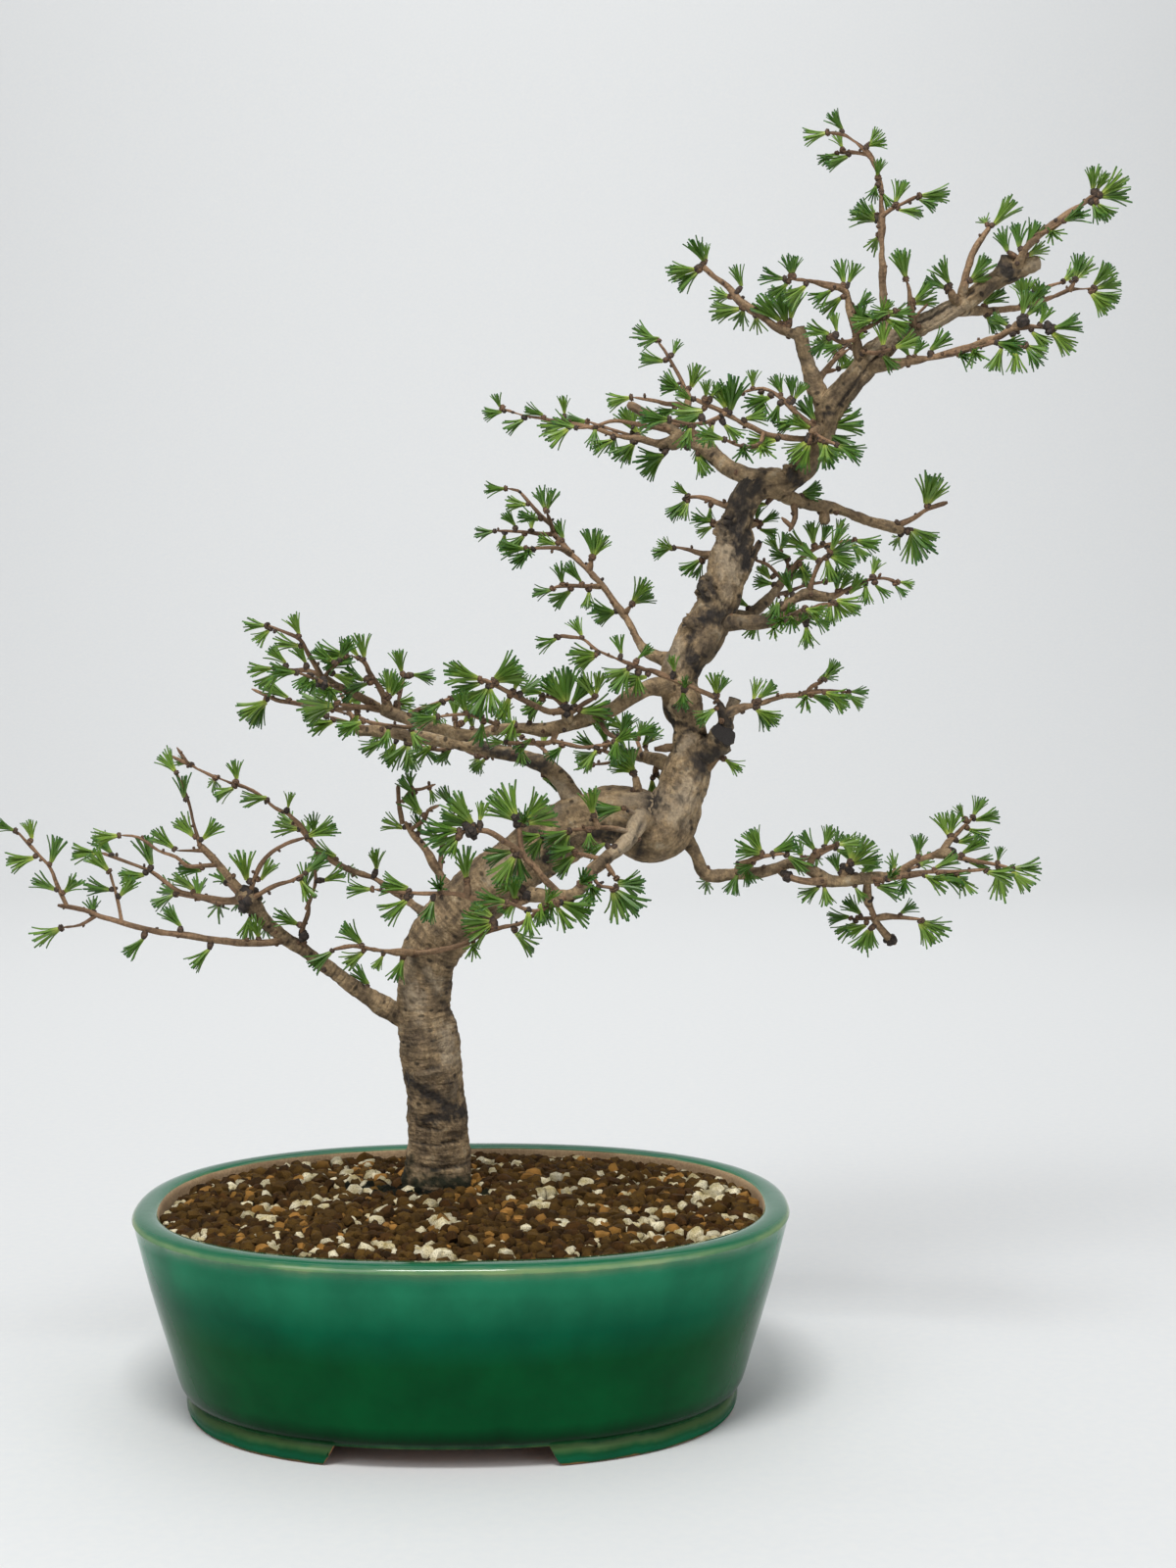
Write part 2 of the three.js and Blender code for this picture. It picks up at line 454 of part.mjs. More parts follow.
// ---- branches: wood runs from the trunk outwards; tufts sit on short shoots of the nearest wood
const BRANCHES = {
  branch_low_left: {
    wood: [
      [[-16, 175, 25, 8], [-22, 176.6, 24.8, 7.4], [-28, 178, 24.5, 6], [-34, 181, 24, 4.8],
        [-42, 185.5, 22.5, 4.2], [-50, 191.4, 20.5, 3.9], [-60, 199.2, 17, 3.4], [-70, 206.3, 14, 3.2],
        [-80, 213, 11, 3], [-86, 218, 9, 3], [-92, 224, 7, 3.2], [-97, 231, 5, 4.4], [-101, 236, 4, 3.4]],
      [[-80, 213, 11, 2], [-88, 211.6, 6], [-100, 211.5, 0], [-113, 213, -5], [-125, 215, -9],
        [-137, 216.5, -12], [-146, 218.5, -14], [-155, 221, -15], [-165, 224, -16], [-172, 227, -17],
        [-184, 229.2, -17, 1.2]],
      [[-180, 229, -17, 1.3], [-184, 238, -19], [-187, 246, -21], [-192, 252, -23],
        [-202, 263, -25, 0.8]],
      [[-167, 224, -16, 1.2], [-174, 220, -19], [-182, 219, -22, 0.8]],
      [[-155, 221, -15, 1.3], [-157, 232, -12], [-160, 244, -9, 0.8]],
      [[-99, 233, 5, 1.8], [-105, 231, 10], [-113, 232, 14], [-122, 233.5, 18], [-130, 236, 21],
        [-141, 244, 26], [-153, 249, 30], [-164, 253, 33, 0.9]],
      [[-99, 234, 5, 2.2], [-103, 238, 3], [-108, 244, 0], [-114, 251, -3], [-120, 257, -6, 1.9]],
      [[-119, 256, -6, 1.3], [-122, 267, -8], [-124, 276, -10], [-129, 289, -13, 0.8]],
      [[-118, 254, -5, 1.2], [-130, 254, -12, 0.8]],
      [[-111, 247.5, -2, 1.3], [-118, 247, -6], [-125, 247, -9], [-130, 251, -12], [-138, 254, -15],
        [-147, 260, -18], [-155, 261, -20, 0.8]],
      [[-97, 234, 5, 1.6], [-93, 245, -1], [-88, 252, -6], [-80, 257, -12], [-71, 260, -15, 0.9]],
      [[-96, 232, 5, 1.5], [-85, 238, -6], [-78, 240, -12], [-72, 243, -17, 0.9]],
      [[-72, 207.7, 13, 1.6], [-73, 217, 8], [-71, 223, 4], [-70, 228, 0], [-72, 234, -3, 0.9]],
      [[-71, 227, 0, 1.2], [-67, 238, -5], [-67, 247, -6, 0.9]],
      [[-86, 218, 9, 1.4], [-90, 219, 22], [-95, 224, 36], [-101, 232, 46], [-107, 239, 53, 0.9]],
      [[-97, 231, 5, 1.4], [-103, 230, 20], [-111, 230, 38], [-120, 232, 50], [-130, 234, 60, 0.9]],
    ],
    tufts: [
      [-202, 263, 155, 10], [-195, 259, 100, 10], [-194, 251, 190], [-187, 248, 75], [-184, 236, 150],
      [-181, 235, 40, 12], [-182, 219, 205], [-160, 244, 130], [-160, 236, 175], [-156, 233, 50, 12],
      [-145, 214, 225], [-128, 219, 135], [-115, 209, 225], [-93, 214, 100, 12],
      [-168, 225, 110, 12, 0.9], [-164, 253, 180], [-159, 252, 135], [-141, 247, 110, 17],
      [-144, 243, 185], [-122, 236, 145], [-131, 234, 210], [-121, 260, 135], [-118, 259, 45],
      [-125, 277, 95, 13], [-129, 289, 130, 13], [-131, 255, 140], [-155, 261, 185], [-118, 245, 175, 13],
      [-71, 260, 20, 16], [-72, 243, 40], [-74, 241, 300, 12], [-98, 240, 100, 17], [-92, 240, 60, 13],
      [-95, 228, 255], [-75, 220, 150], [-72, 235, 80], [-63, 240, 25, 12], [-43, 191, 135, 13],
      [-107, 239, 150, 15, 0.9], [-101, 232, 250, 14, 0.9], [-95, 224, 100, 14, 0.9],
      [-130, 234, 170, 15, 0.8], [-120, 232, 110, 14, 0.8], [-111, 230, 250, 14, 0.9],
      [-90, 219, 270, 12, 0.9],
    ],
  },
  branch_arch: {
    wood: [
      [[-15, 224, 22, 3], [-24, 230, 32, 2], [-31, 235, 37, 1.7], [-40, 241, 42], [-50, 244.5, 45],
        [-60, 250, 47], [-65, 255, 48], [-70, 261, 49], [-78, 270, 50], [-84, 273, 51], [-95, 281, 53],
        [-110, 287, 55], [-120, 291.5, 56], [-133, 298, 58, 0.9]],
      [[-124, 293.5, 56, 1.1], [-129, 301, 60, 0.8]],
      [[-60, 250, 47, 1.3], [-65, 253, 58], [-70, 259, 68], [-76, 266, 76, 0.8]],
    ],
    tufts: [
      [-39, 245, 90, 12], [-57, 250, 160], [-67, 262, 95, 11], [-73, 264, 180], [-79, 273, 80, 9],
      [-88, 277, 185], [-102, 286, 100, 11], [-103, 283, 205, 12], [-122, 293, 175, 10],
      [-76, 266, 165, 14, 0.85], [-70, 259, 100, 13, 0.85], [-65, 253, 250, 12, 0.9],
      [-112, 287, 250, 12, 0.92], [-52, 246, 265, 12, 0.9],
    ],
  },
  branch_low_cross: {
    wood: [
      [[-20, 206, 20, 3.2], [-23, 206.5, 9, 2], [-30, 207, 2], [-38, 208, -3], [-44, 209, -6],
        [-50, 210, -9], [-59, 208.5, -13, 0.8]],
      [[-22, 206.3, 9, 1.6], [-17, 206.8, 4], [-10, 208, 2], [0, 210.5, -1], [7, 214, -3], [14, 217, -6],
        [20, 218.7, -8], [25, 219.5, -10], [30, 222, -11], [36, 227, -13, 1]],
    ],
    tufts: [
      [-27, 204, 245, 13], [-36, 206, 240, 9], [-46, 211, 135], [-45, 207, 215], [-59, 208, 215],
      [24, 216, 320], [13, 221, 180, 16], [14, 220, 215, 15], [14, 223, 150, 14], [36, 228, 60, 10, -0.5],
      [37, 227, 270, 12, -0.9], [5, 212, 260, 12, -0.92],
    ],
  },
  branch_front: {
    wood: [
      [[85, 264, -4, 5.6], [82, 268, -14, 5], [80, 266, -18, 4.4], [77, 260, -23, 3.6],
        [72, 255, -28, 3.2], [65, 249.5, -33, 3.1], [59, 244, -37, 3], [56.5, 239, -40, 2.9],
        [53, 235, -43, 2.9], [48, 232.7, -45, 2.9], [40, 232.8, -47, 2.8], [34, 233.5, -48, 3.4],
        [29, 234, -49, 3.8]],
      [[31, 232, -49, 1.8], [26, 229.3, -51], [20, 229, -53], [12, 229.5, -54], [3, 232.5, -55],
        [-5, 234, -56], [-20, 234, -58], [-32, 235, -59], [-40, 236, -60, 0.9]],
      [[2.5, 232.5, -55, 1.9], [2.5, 239, -57, 1.8]],
      [[44, 234, -46, 1.9], [38, 240, -50], [34, 245, -52], [29, 250, -53], [27, 256, -53],
        [26, 267, -51, 1.4]],
      [[28, 252, -53, 1.7], [24, 255, -55], [19, 258, -57], [14, 261.5, -59], [9, 263, -60],
        [0, 262.5, -61, 1.4]],
      [[59.5, 244, -37, 1.3], [61, 239.5, -42], [64, 237, -45], [70, 236.5, -48, 0.9]],
      [[65, 249, -33, 1.6], [70, 241.5, -37, 1.3]],
      [[64, 249.5, -33, 1.5], [56, 251.5, -38], [51, 253, -41, 1]],
      [[77, 262, -22, 1.7], [70, 263.5, -27], [63, 264, -29], [50, 263, -32], [37, 261, -35, 0.9]],
      [[62, 264, -29, 1.7], [60.5, 268.5, -31, 1.6]],
      [[81, 269, -16, 1.8], [75, 273, -22, 1.4]],
      [[48, 232.7, -45, 1.4], [41, 228, -62], [32, 226, -76], [21, 230, -86, 0.9]],
      [[59, 244, -37, 1.4], [59, 241, -52], [57, 239, -66], [54, 238, -78, 0.9]],
    ],
    tufts: [
      [2, 241, 95, 17], [-24, 236, 170], [-25, 231, 215], [-13, 231, 250, 12, -0.4], [-40, 236, 180, 12],
      [-10, 235, 100, 12, -0.92], [27, 237, 185, 12], [27, 232, 225, 13], [25, 269, 118, 18],
      [24, 268, 150, 17], [29, 268, 50, 16], [30, 266, 15, 15], [27, 266, 80, 12, -0.9],
      [-2, 263, 180, 17], [-1, 261, 212, 15], [5, 266, 128, 18], [4, 265, 160, 16], [8, 267, 75, 10],
      [-2, 259, 240, 10], [24, 254, 195], [24, 251, 238, 17], [26, 251, 275, 14],
      [36, 229, 270, 12, -0.6], [38, 229, 60, 10, -0.6], [44, 230, 335, 17], [43, 230, 300, 13],
      [62, 236, 225, 13], [70, 237, 5, 14], [70, 236, 320, 17], [69, 235, 285, 17], [70, 241, 335, 14],
      [52, 254, 190], [52, 252, 225, 14], [66, 257, 210, 12], [37, 261, 190, 12], [37, 260, 235, 12],
      [50, 263, 200], [49, 262, 245, 13], [58, 263, 270, 10, -0.6], [60, 270, 95, 14], [74, 273, 185, 14],
      [21, 230, 170, 15, -0.4], [30, 227, 270, 13, -0.5], [41, 230, 250, 13, -0.9],
      [54, 238, 60, 14, -0.9], [58, 239, 290, 13, -0.92], [24, 231, 90, 13, -0.5],
    ],
  },
  branch_right_low: {
    wood: [
      [[96, 264, 5, 6], [102, 259, 5.5, 4], [105, 254.5, 6, 3.4], [107.5, 250, 6.5, 3],
        [110, 244.8, 7, 2.9], [114, 242.2, 8, 2.7], [121, 242.4, 9, 2.8], [128, 243, 9, 2.8],
        [136, 243.5, 8, 2.7], [143, 245, 7, 2.6], [150, 247.3, 6, 2.5], [156, 246, 5, 2.6],
        [161, 243.5, 4, 2.8], [166, 240, 3, 3], [172, 239.2, 2, 2.8], [180, 239.8, 1, 2.7],
        [188, 240.5, 0, 2.6], [196, 241.5, -1, 2.2], [203, 245, -2, 1.8], [209, 248.8, -3, 1.6],
        [215, 250.8, -4, 1.7], [220, 252, -5, 2.4], [226, 251, -5, 2.6]],
      [[145, 244.6, 6, 2], [149, 241.5, 0, 2], [155, 239.6, -2, 1.8], [162, 239, -1, 2],
        [168, 239.5, 2, 2]],
      [[127, 243, 8, 2.4], [127, 246.5, 5, 1.9], [133, 249, 2, 1.5], [140, 251, -2], [148, 252, -5, 0.9]],
      [[159, 244.5, 4, 2.2], [161, 251, 1, 1.8], [165, 253.5, -4], [171, 256, -10, 0.9]],
      [[174, 239.5, 2, 2.2], [177, 247, 1, 2]],
      [[186, 240, 0, 1.9], [186, 231, 6, 2.3], [188, 226, 9, 1.6], [190, 221, 11, 1.5]],
      [[190, 222, 11, 1.8], [195, 222.8, 8, 2], [200, 222.5, 5, 1.3], [206, 222, 2],
        [211, 221.5, -1, 0.9]],
      [[190, 222, 11, 1.3], [184, 222, 15], [179, 221.5, 18, 0.9]],
      [[189, 222, 11, 1.7], [191, 219, 13, 1.9], [195, 214, 16, 2.1], [199, 210.3, 19, 1.8]],
      [[196, 241.5, -1, 1.8], [205, 242.3, -8], [210, 243, -11], [216, 243.5, -15], [226, 243.6, -20],
        [240, 244.4, -26, 0.9]],
      [[220, 252, -5, 2], [223, 257, -3, 1.9], [226, 260, -1, 1.4], [230, 264, 3], [234, 268, 6, 0.9]],
      [[226, 250.5, -5, 2], [232, 249, -7, 1.3], [243, 247, -10], [252, 245, -13, 0.9]],
      [[172, 239.5, 2, 1.4], [179, 240, 18], [188, 241, 34], [199, 243, 46], [209, 246, 55, 0.9]],
      [[150, 247, 6, 1.4], [156, 249, 22], [163, 251, 36], [171, 255, 48, 0.9]],
      [[188, 240.5, 0, 1.4], [195, 240, -18], [203, 241, -33], [212, 242, -45, 0.9]],
    ],
    tufts: [
      [137, 252, 165], [137, 253, 120, 13], [142, 252, 20], [149, 251, 325, 14], [127, 245, 250, 12],
      [129, 245, 290, 12], [134, 247, 200, 10], [162, 253, 130, 12], [166, 254, 70, 11],
      [171, 256, 5, 12], [171, 254, 340, 12], [178, 248, 100, 14], [179, 248, 55, 16], [179, 247, 20, 15],
      [173, 243, 110, 10], [183, 243, 40, 11], [164, 237, 215, 12], [166, 237, 280, 11],
      [180, 237, 300, 9], [190, 237, 345], [201, 224, 35, 10], [211, 221, 335, 17], [210, 220, 305, 14],
      [183, 224, 140, 12], [179, 222, 180, 12], [181, 220, 215, 13], [187, 217, 235], [188, 218, 270, 12],
      [186, 219, 200, 12], [223, 260, 110, 13], [224, 260, 75, 12], [230, 268, 120, 8],
      [234, 268, 60, 11], [235, 267, 15, 13], [232, 263, 340, 12], [227, 257, 10, 11], [229, 251, 35, 14],
      [231, 249, 350, 14], [216, 244, 25], [218, 243, 345, 15], [227, 242, 310, 13], [246, 248, 80, 8],
      [246, 245, 285, 17], [252, 245, 0, 14], [252, 244, 320, 14], [209, 251, 80, 11],
      [209, 246, 20, 14, 0.8], [199, 243, 90, 12, 0.9], [188, 241, 100, 12, 0.9], [171, 255, 60, 13, 0.9],
      [163, 251, 270, 12, 0.93], [156, 250, 110, 12, 0.9], [212, 242, 330, 15, -0.85],
      [203, 241, 250, 12, -0.9], [195, 240, 60, 11, -0.9], [240, 244, 350, 14, -0.3],
      [113, 241, 270, 11, 0.93],
    ],
  },
  branch_mid_lower: {
    wood: [
      [[53, 266, 8, 8], [51.5, 275, 9.5, 5.6], [47, 283.5, 12, 4.6], [41.5, 290, 15, 4.2],
        [34, 294, 18, 3.8], [25, 296.8, 21, 3.5], [16, 299.3, 24, 3.4], [7, 301.6, 26, 3.3],
        [-2, 303.2, 28, 3.3], [-11, 304.4, 29, 3], [-21, 305.6, 30, 2.9], [-31, 308, 31, 2.8],
        [-40, 308.8, 32, 3], [-48, 308, 33, 2.6]],
      [[-41, 309, 32, 1.9], [-50, 311.5, 30], [-60, 315, 27, 0.9]],
      [[-46, 309, 32, 1.6], [-51, 317, 34], [-54, 324, 36], [-56, 329, 38, 0.9]],
      [[-31, 308, 31, 1.5], [-36, 309, 44], [-45, 314, 56], [-58, 318, 64, 0.9]],
      [[-4, 303.3, 28, 1.5], [-8, 300, 40], [-18, 301, 52], [-30, 306, 60, 0.9]],
      [[16, 299.3, 24, 1.5], [12, 297, 38], [5, 298, 50], [-4, 303, 58, 0.9]],
      [[38, 292, 17, 1.6], [40, 296, 30], [36, 301, 42], [28, 305, 50, 0.9]],
    ],
    tufts: [
      [-58, 313, 195], [-62, 315, 165, 12], [-35, 304, 205, 14], [-30, 303, 245, 13], [-25, 302, 225, 16],
      [-24, 302, 275, 15], [-20, 302, 320, 12], [-12, 301, 215, 13], [-5, 301, 225, 10],
      [12, 297, 225, 10], [8, 297, 265, 9], [38, 290, 15, 10], [37, 289, 335, 12], [-57, 329, 160, 11],
      [-58, 326, 190, 10], [-52, 321, 30, 10], [-58, 318, 180, 15, 0.4], [-47, 315, 100, 13, 0.5],
      [-36, 311, 240, 13, 0.6], [-30, 306, 170, 14, 0.5], [-19, 303, 90, 12, 0.6],
      [-8, 299, 250, 12, 0.93], [-4, 303, 130, 14, 0.5], [7, 297, 260, 12, 0.93], [28, 305, 140, 14, 0.5],
      [37, 302, 80, 13, 0.6], [40, 295, 290, 12, 0.6], [22, 301, 90, 13, 0.3],
    ],
  },
  branch_mid_upper: {
    wood: [
      [[99, 328, 2, 7], [91, 328.5, -3, 4.8], [84, 327.5, -6, 3.8], [77, 324, -8, 3.4],
        [70, 319.3, -9, 3.3], [62, 315.6, -9, 3.4], [54, 313, -9, 3.6], [46, 310.5, -8, 3.5],
        [39, 308.8, -7, 3.2], [30, 309.5, -5, 2.7], [22, 309.4, -3, 2.7], [14, 308.8, -1, 2.7],
        [7, 306.8, 1, 2.8], [0, 306.8, 2, 2.9], [-8, 308.6, 3, 2.8], [-16, 311, 4, 2.8],
        [-24, 313.6, 5, 2.9], [-31, 316.6, 6, 3], [-37, 319, 7, 3.3]],
      [[43, 309.5, -8, 2.4], [41, 303.5, -12, 1.5], [35, 303, -14], [28, 302.6, -17],
        [21, 303, -20, 0.9]],
      [[41, 304, -12, 1.4], [48, 302.3, -18], [55, 300.8, -23], [62, 301.5, -28], [69, 303, -33, 0.9]],
      [[49, 311.5, -9, 2.6], [47.5, 317, -13, 2.9]],
      [[47, 317.5, -13, 1.8], [40, 317, -18], [34, 319.5, -23], [28, 322.5, -27], [20, 326.8, -32],
        [14, 330, -36], [9, 332, -39, 1.2]],
      [[50, 317, -13, 1.7], [56, 321, -17], [61, 323.5, -21, 1]],
      [[47, 319, -13, 1.5], [42, 323.5, -12], [36, 324, -10, 0.9]],
      [[-32, 317, 6, 2.6], [-34, 321, 3, 2.5], [-36, 326, -1, 1.6], [-39, 331, -5], [-42, 336, -8],
        [-44, 340, -10], [-51, 343, -13, 0.9]],
      [[-38, 319.5, 7, 2.6], [-45, 323, 3, 2], [-50, 326, -1], [-56, 329, -5, 1.9],
        [-62, 331.5, -9, 2.9]],
      [[-63, 333, -9, 1.6], [-67, 340, -14], [-70, 345, -18], [-73, 350, -22], [-79, 353, -26],
        [-87, 356, -30, 0.9]],
      [[-64, 334, -9, 1.6], [-70, 336, -6], [-76, 336, -3], [-84, 337, 0, 0.9]],
      [[-62, 333, -9, 1.3], [-58, 337, -16], [-55, 340, -22, 0.8]],
      [[-37, 318, 7, 1.8], [-47, 319.5, -3], [-56, 320.5, -12, 1.1]],
      [[-46, 319, -2, 1.5], [-55, 318.4, 5], [-65, 318.6, 10], [-75, 321, 14], [-82, 322, 16],
        [-88, 324.5, 18], [-95, 327.5, 20, 1.1]],
      [[-24, 314, 5, 1.5], [-20, 318, 0], [-14, 320, -5], [-5, 323, -11, 0.9]],
      [[-29, 317, 6, 1.5], [-28, 324, 14], [-26, 333, 20, 0.9]],
      [[-1, 307, 2, 2], [-3, 312.5, 1, 1.9]],
      [[14, 308.8, -1, 1.5], [16, 311, -18], [9, 314, -31], [2, 316, -42], [-10, 315, -52, 0.9]],
      [[-20, 312, 4, 1.4], [-23, 310, -12], [-33, 311, -26], [-44, 313, -36, 0.9]],
      [[-56, 329, -5, 1.4], [-60, 329, -20], [-66, 332, -34], [-74, 335, -44, 0.9]],
      [[62, 315.6, -9, 1.5], [66, 308, -18], [72, 305, -26], [78, 306, -33, 0.9]],
    ],
    tufts: [
      [9, 332, 165, 18], [9, 330, 195, 15], [15, 332, 40, 16], [16, 331, 15, 15], [12, 328, 240, 17],
      [13, 328, 280, 14], [14, 329, 210, 14], [24, 327, 70, 11], [27, 326, 30, 12], [22, 324, 250, 13],
      [47, 320, 130, 17], [48, 321, 90, 19], [50, 320, 55, 16], [37, 325, 165, 12], [37, 322, 215, 12],
      [43, 325, 120, 11], [61, 323, 120, 14], [61, 324, 75, 12], [54, 317, 5, 17], [54, 316, 345, 18],
      [55, 316, 320, 14], [21, 303, 175, 9], [27, 302, 275, 10], [33, 304, 215, 11],
      [46, 302, 225, 10, -0.5], [62, 301, 235, 13], [69, 303, 30, 12], [66, 303, 300, 13],
      [72, 306, 65, 12], [78, 306, 20, 13, -0.4], [70, 304, 260, 13, -0.5], [-44, 341, 100],
      [-46, 341, 130, 12], [-52, 343, 170], [-53, 342, 205, 12], [-33, 325, 90, 13], [-32, 324, 60, 12],
      [-30, 321, 0, 12], [-30, 320, 330, 11], [-44, 331, 150, 13], [-42, 330, 195, 13],
      [-47, 328, 220, 11], [-87, 356, 175, 12], [-86, 355, 220, 10], [-73, 352, 110, 11],
      [-72, 347, 170, 14], [-70, 339, 120, 11], [-84, 337, 185, 13], [-82, 336, 220, 14],
      [-79, 339, 140, 12], [-68, 334, 230, 12], [-58, 340, 150, 12], [-55, 341, 60, 12],
      [-60, 336, 20, 13], [-58, 334, 340, 12], [-57, 320, 175, 19], [-57, 319, 205, 17],
      [-56, 322, 140, 14], [-47, 316, 250, 12, -0.5], [-78, 323, 150, 16], [-88, 322, 210, 17],
      [-89, 322, 245, 15], [-27, 335, 100, 12], [-22, 334, 350, 12], [-28, 326, 150, 12, 0.4],
      [-24, 316, 355, 12], [-13, 319, 290, 9], [-5, 323, 10, 12], [-8, 322, 215, 11], [-3, 314, 90, 10],
      [1, 312, 50, 11], [5, 309, 100, 12], [-10, 315, 190, 14, -0.4], [2, 317, 110, 12, -0.5],
      [10, 313, 260, 12, -0.5], [16, 312, 60, 12, -0.4], [25, 311, 250, 14, -0.3],
      [31, 312, 80, 13, -0.3], [-44, 313, 200, 14, -0.4], [-33, 310, 260, 12, -0.6],
      [-23, 309, 300, 12, -0.5], [-74, 335, 175, 14, -0.6], [-66, 332, 240, 12, -0.9],
      [-60, 329, 290, 12, -0.9], [80, 331, 240, 9],
    ],
  },
  branch_twisted: {
    wood: [
      [[-2, 232, 22, 3], [-10, 243, 33, 2.2], [-17, 255, 37, 2], [-22, 261, 38], [-26, 267, 38, 1.7]],
      [[-27, 266, 38, 1.6], [-28.5, 275, 37], [-29, 284, 36, 1.2]],
      [[-27, 276, 37, 1.4], [-23, 281, 34], [-18, 282, 30], [-12, 284, 26, 0.7]],
      [[-24, 263, 38, 1.4], [-17, 268, 32], [-15.5, 272, 29], [-10, 274.5, 25, 0.9]],
      [[-10, 244, 33, 1.6], [-9, 256, 44], [-6, 264, 50], [-3, 272, 53, 0.9]],
    ],
    tufts: [
      [-23, 283, 95, 9], [-21, 279, 130, 13], [-22, 278, 285, 9], [-15, 283, 290, 8], [-18, 270, 130, 14],
      [-19, 262, 100, 11], [-26, 264, 160, 12], [-3, 272, 120, 14], [-9, 259, 160, 13],
      [-5, 266, 40, 12, 0.5],
    ],
  },
  branch_inner_left: {
    wood: [
      [[101, 290, 4, 6], [93, 293.5, 12, 3.6], [86, 296, 20, 3], [79, 297, 27, 2.3], [71, 297, 33],
        [62, 300, 38, 1]],
      [[90, 294.5, 16, 1.8], [87.5, 288, 20, 1.5]],
      [[82, 297, 24, 1.5], [80, 304, 28], [76, 308, 32, 0.8]],
      [[71, 297, 33, 1.3], [68, 294, 44], [60, 293, 54, 0.8]],
      [[86, 296, 20, 1.3], [84, 300, 36], [86, 306, 48, 0.8]],
    ],
    tufts: [
      [62, 300, 150], [63, 299, 200, 13], [66, 302, 100, 13], [75, 300, 120, 12], [79, 299, 230, 12],
      [83, 301, 50, 11], [81, 305, 75, 9], [76, 308, 150, 12], [87, 287, 275, 12], [88, 289, 320, 11],
      [60, 293, 190, 14, 0.9], [86, 304, 60, 12, 0.93],
    ],
  },
  spur_bend: {
    wood: [[[81, 273, 2, 2.8], [80.5, 281, 0, 2.4], [79, 288, -1, 2]]],
    tufts: [[79, 289, 125, 17], [78, 290, 95, 12], [78, 289, 155, 12]],
  },
  branch_diagonal: {
    wood: [
      [[102, 336, 3, 6], [96, 340, 7, 4.4], [89, 342.5, 12, 3], [84, 345, 16, 2.8], [81, 349, 19, 2],
        [77, 356, 23], [74, 361, 26, 2], [70, 366, 29], [65, 373, 33], [60, 379, 37], [55, 384, 40],
        [50, 388.5, 43], [45, 394, 46], [41, 399, 49, 1.5]],
      [[74, 361, 26, 1.8], [77, 365, 22, 1.6]],
      [[63, 374, 35, 1.7], [57, 374, 29], [48, 374.3, 23], [42, 373.5, 19, 0.8]],
      [[58, 381, 38, 1.8], [59.3, 386, 36, 1.7]],
      [[50, 388.5, 43, 1.9], [45, 391, 38, 1.4], [38, 391.3, 33], [30, 391, 28, 0.8]],
      [[42, 398, 48, 1.4], [40.5, 403, 44], [39, 407, 41, 1]],
      [[40.5, 402, 48, 1.4], [36, 406, 52], [30, 413, 56], [26, 417, 59], [21, 418, 62, 0.8]],
      [[41, 397.5, 48, 1.5], [36, 397.5, 54], [28, 398.6, 60], [16, 399, 66, 0.8]],
    ],
    tufts: [
      [70, 362, 170, 14], [71, 363, 205, 12], [78, 367, 60, 14], [78, 366, 25, 12], [55, 375, 130, 13],
      [46, 375, 100, 11], [50, 372, 215, 13], [58, 372, 265, 10], [42, 373, 190, 11], [60, 388, 95, 15],
      [60, 387, 60, 13], [46, 394, 110, 11], [44, 393, 160, 11], [33, 391, 215, 14],
      [30, 391, 270, 10, -0.93], [30, 391, 180, 13], [38, 409, 105, 12], [39, 408, 70, 12],
      [21, 418, 185, 11], [31, 411, 175, 12], [36, 404, 165, 12], [16, 399, 190, 11], [25, 401, 130, 10],
      [32, 399, 90, 10, 0.5], [29, 397, 220, 12], [20, 398, 260, 10, 0.5],
    ],
  },
  branch_cross_mid: {
    wood: [
      [[121, 309, -4, 3.4], [119, 317, -9, 2.4], [116, 322.5, -12, 1.5], [110, 326, -15], [104, 329, -16],
        [98, 331, -17], [90, 334.5, -18], [82, 336.5, -20], [76, 339, -23], [70, 341.5, -26],
        [62, 345, -29], [56, 349.5, -32], [50, 351, -34], [44, 351.6, -36, 0.9]],
      [[119, 316, -8, 2.4], [127, 318.5, -9, 2.1], [133, 320, -9, 1.7], [140, 322, -8], [147, 324, -6],
        [156, 325.5, -4], [160, 328.5, -8], [165, 331, -12, 0.9]],
      [[156, 325.5, -4, 1.4], [163, 326.5, 2], [170, 326.5, 7], [176, 326, 11, 0.9]],
      [[147, 324, -6, 1.3], [151, 324, -20], [157, 325, -32], [165, 326, -42, 0.9]],
    ],
    tufts: [
      [44, 351, 200, 11], [55, 351, 115, 10], [62, 343, 175, 15], [61, 342, 205, 12], [73, 343, 105, 10],
      [80, 341, 40, 10], [77, 337, 200, 14], [76, 336, 240, 14], [80, 334, 275, 11], [85, 333, 185, 14],
      [97, 335, 100, 9, -0.5], [101, 326, 270, 11, -0.7], [102, 328, 90, 8, -0.7], [116, 325, 100, 12],
      [117, 325, 65, 10], [117, 319, 215, 12], [133, 322, 75, 12], [135, 322, 40, 12],
      [134, 318, 335, 14], [135, 318, 305, 12], [165, 331, 55, 11], [163, 332, 20, 10],
      [159, 325, 340, 12], [168, 324, 320, 11], [176, 326, 0, 10], [176, 325, 325, 10],
      [165, 326, 340, 14, -0.6], [157, 325, 250, 12, -0.9],
    ],
  },
  spur_low_right: {
    wood: [[[111, 290, 0, 2.4], [117, 296, -3, 1.6], [119, 296, -4, 1.2]]],
    tufts: [[119, 296, 325, 11]],
  },
  branch_mid_right: {
    wood: [
      [[113, 357, 5, 7], [122, 357.5, 1, 4.3], [130, 357.3, -3, 3.5], [139, 358.3, -7, 3.3],
        [148, 359.8, -11, 3.1], [157, 361, -14, 3]],
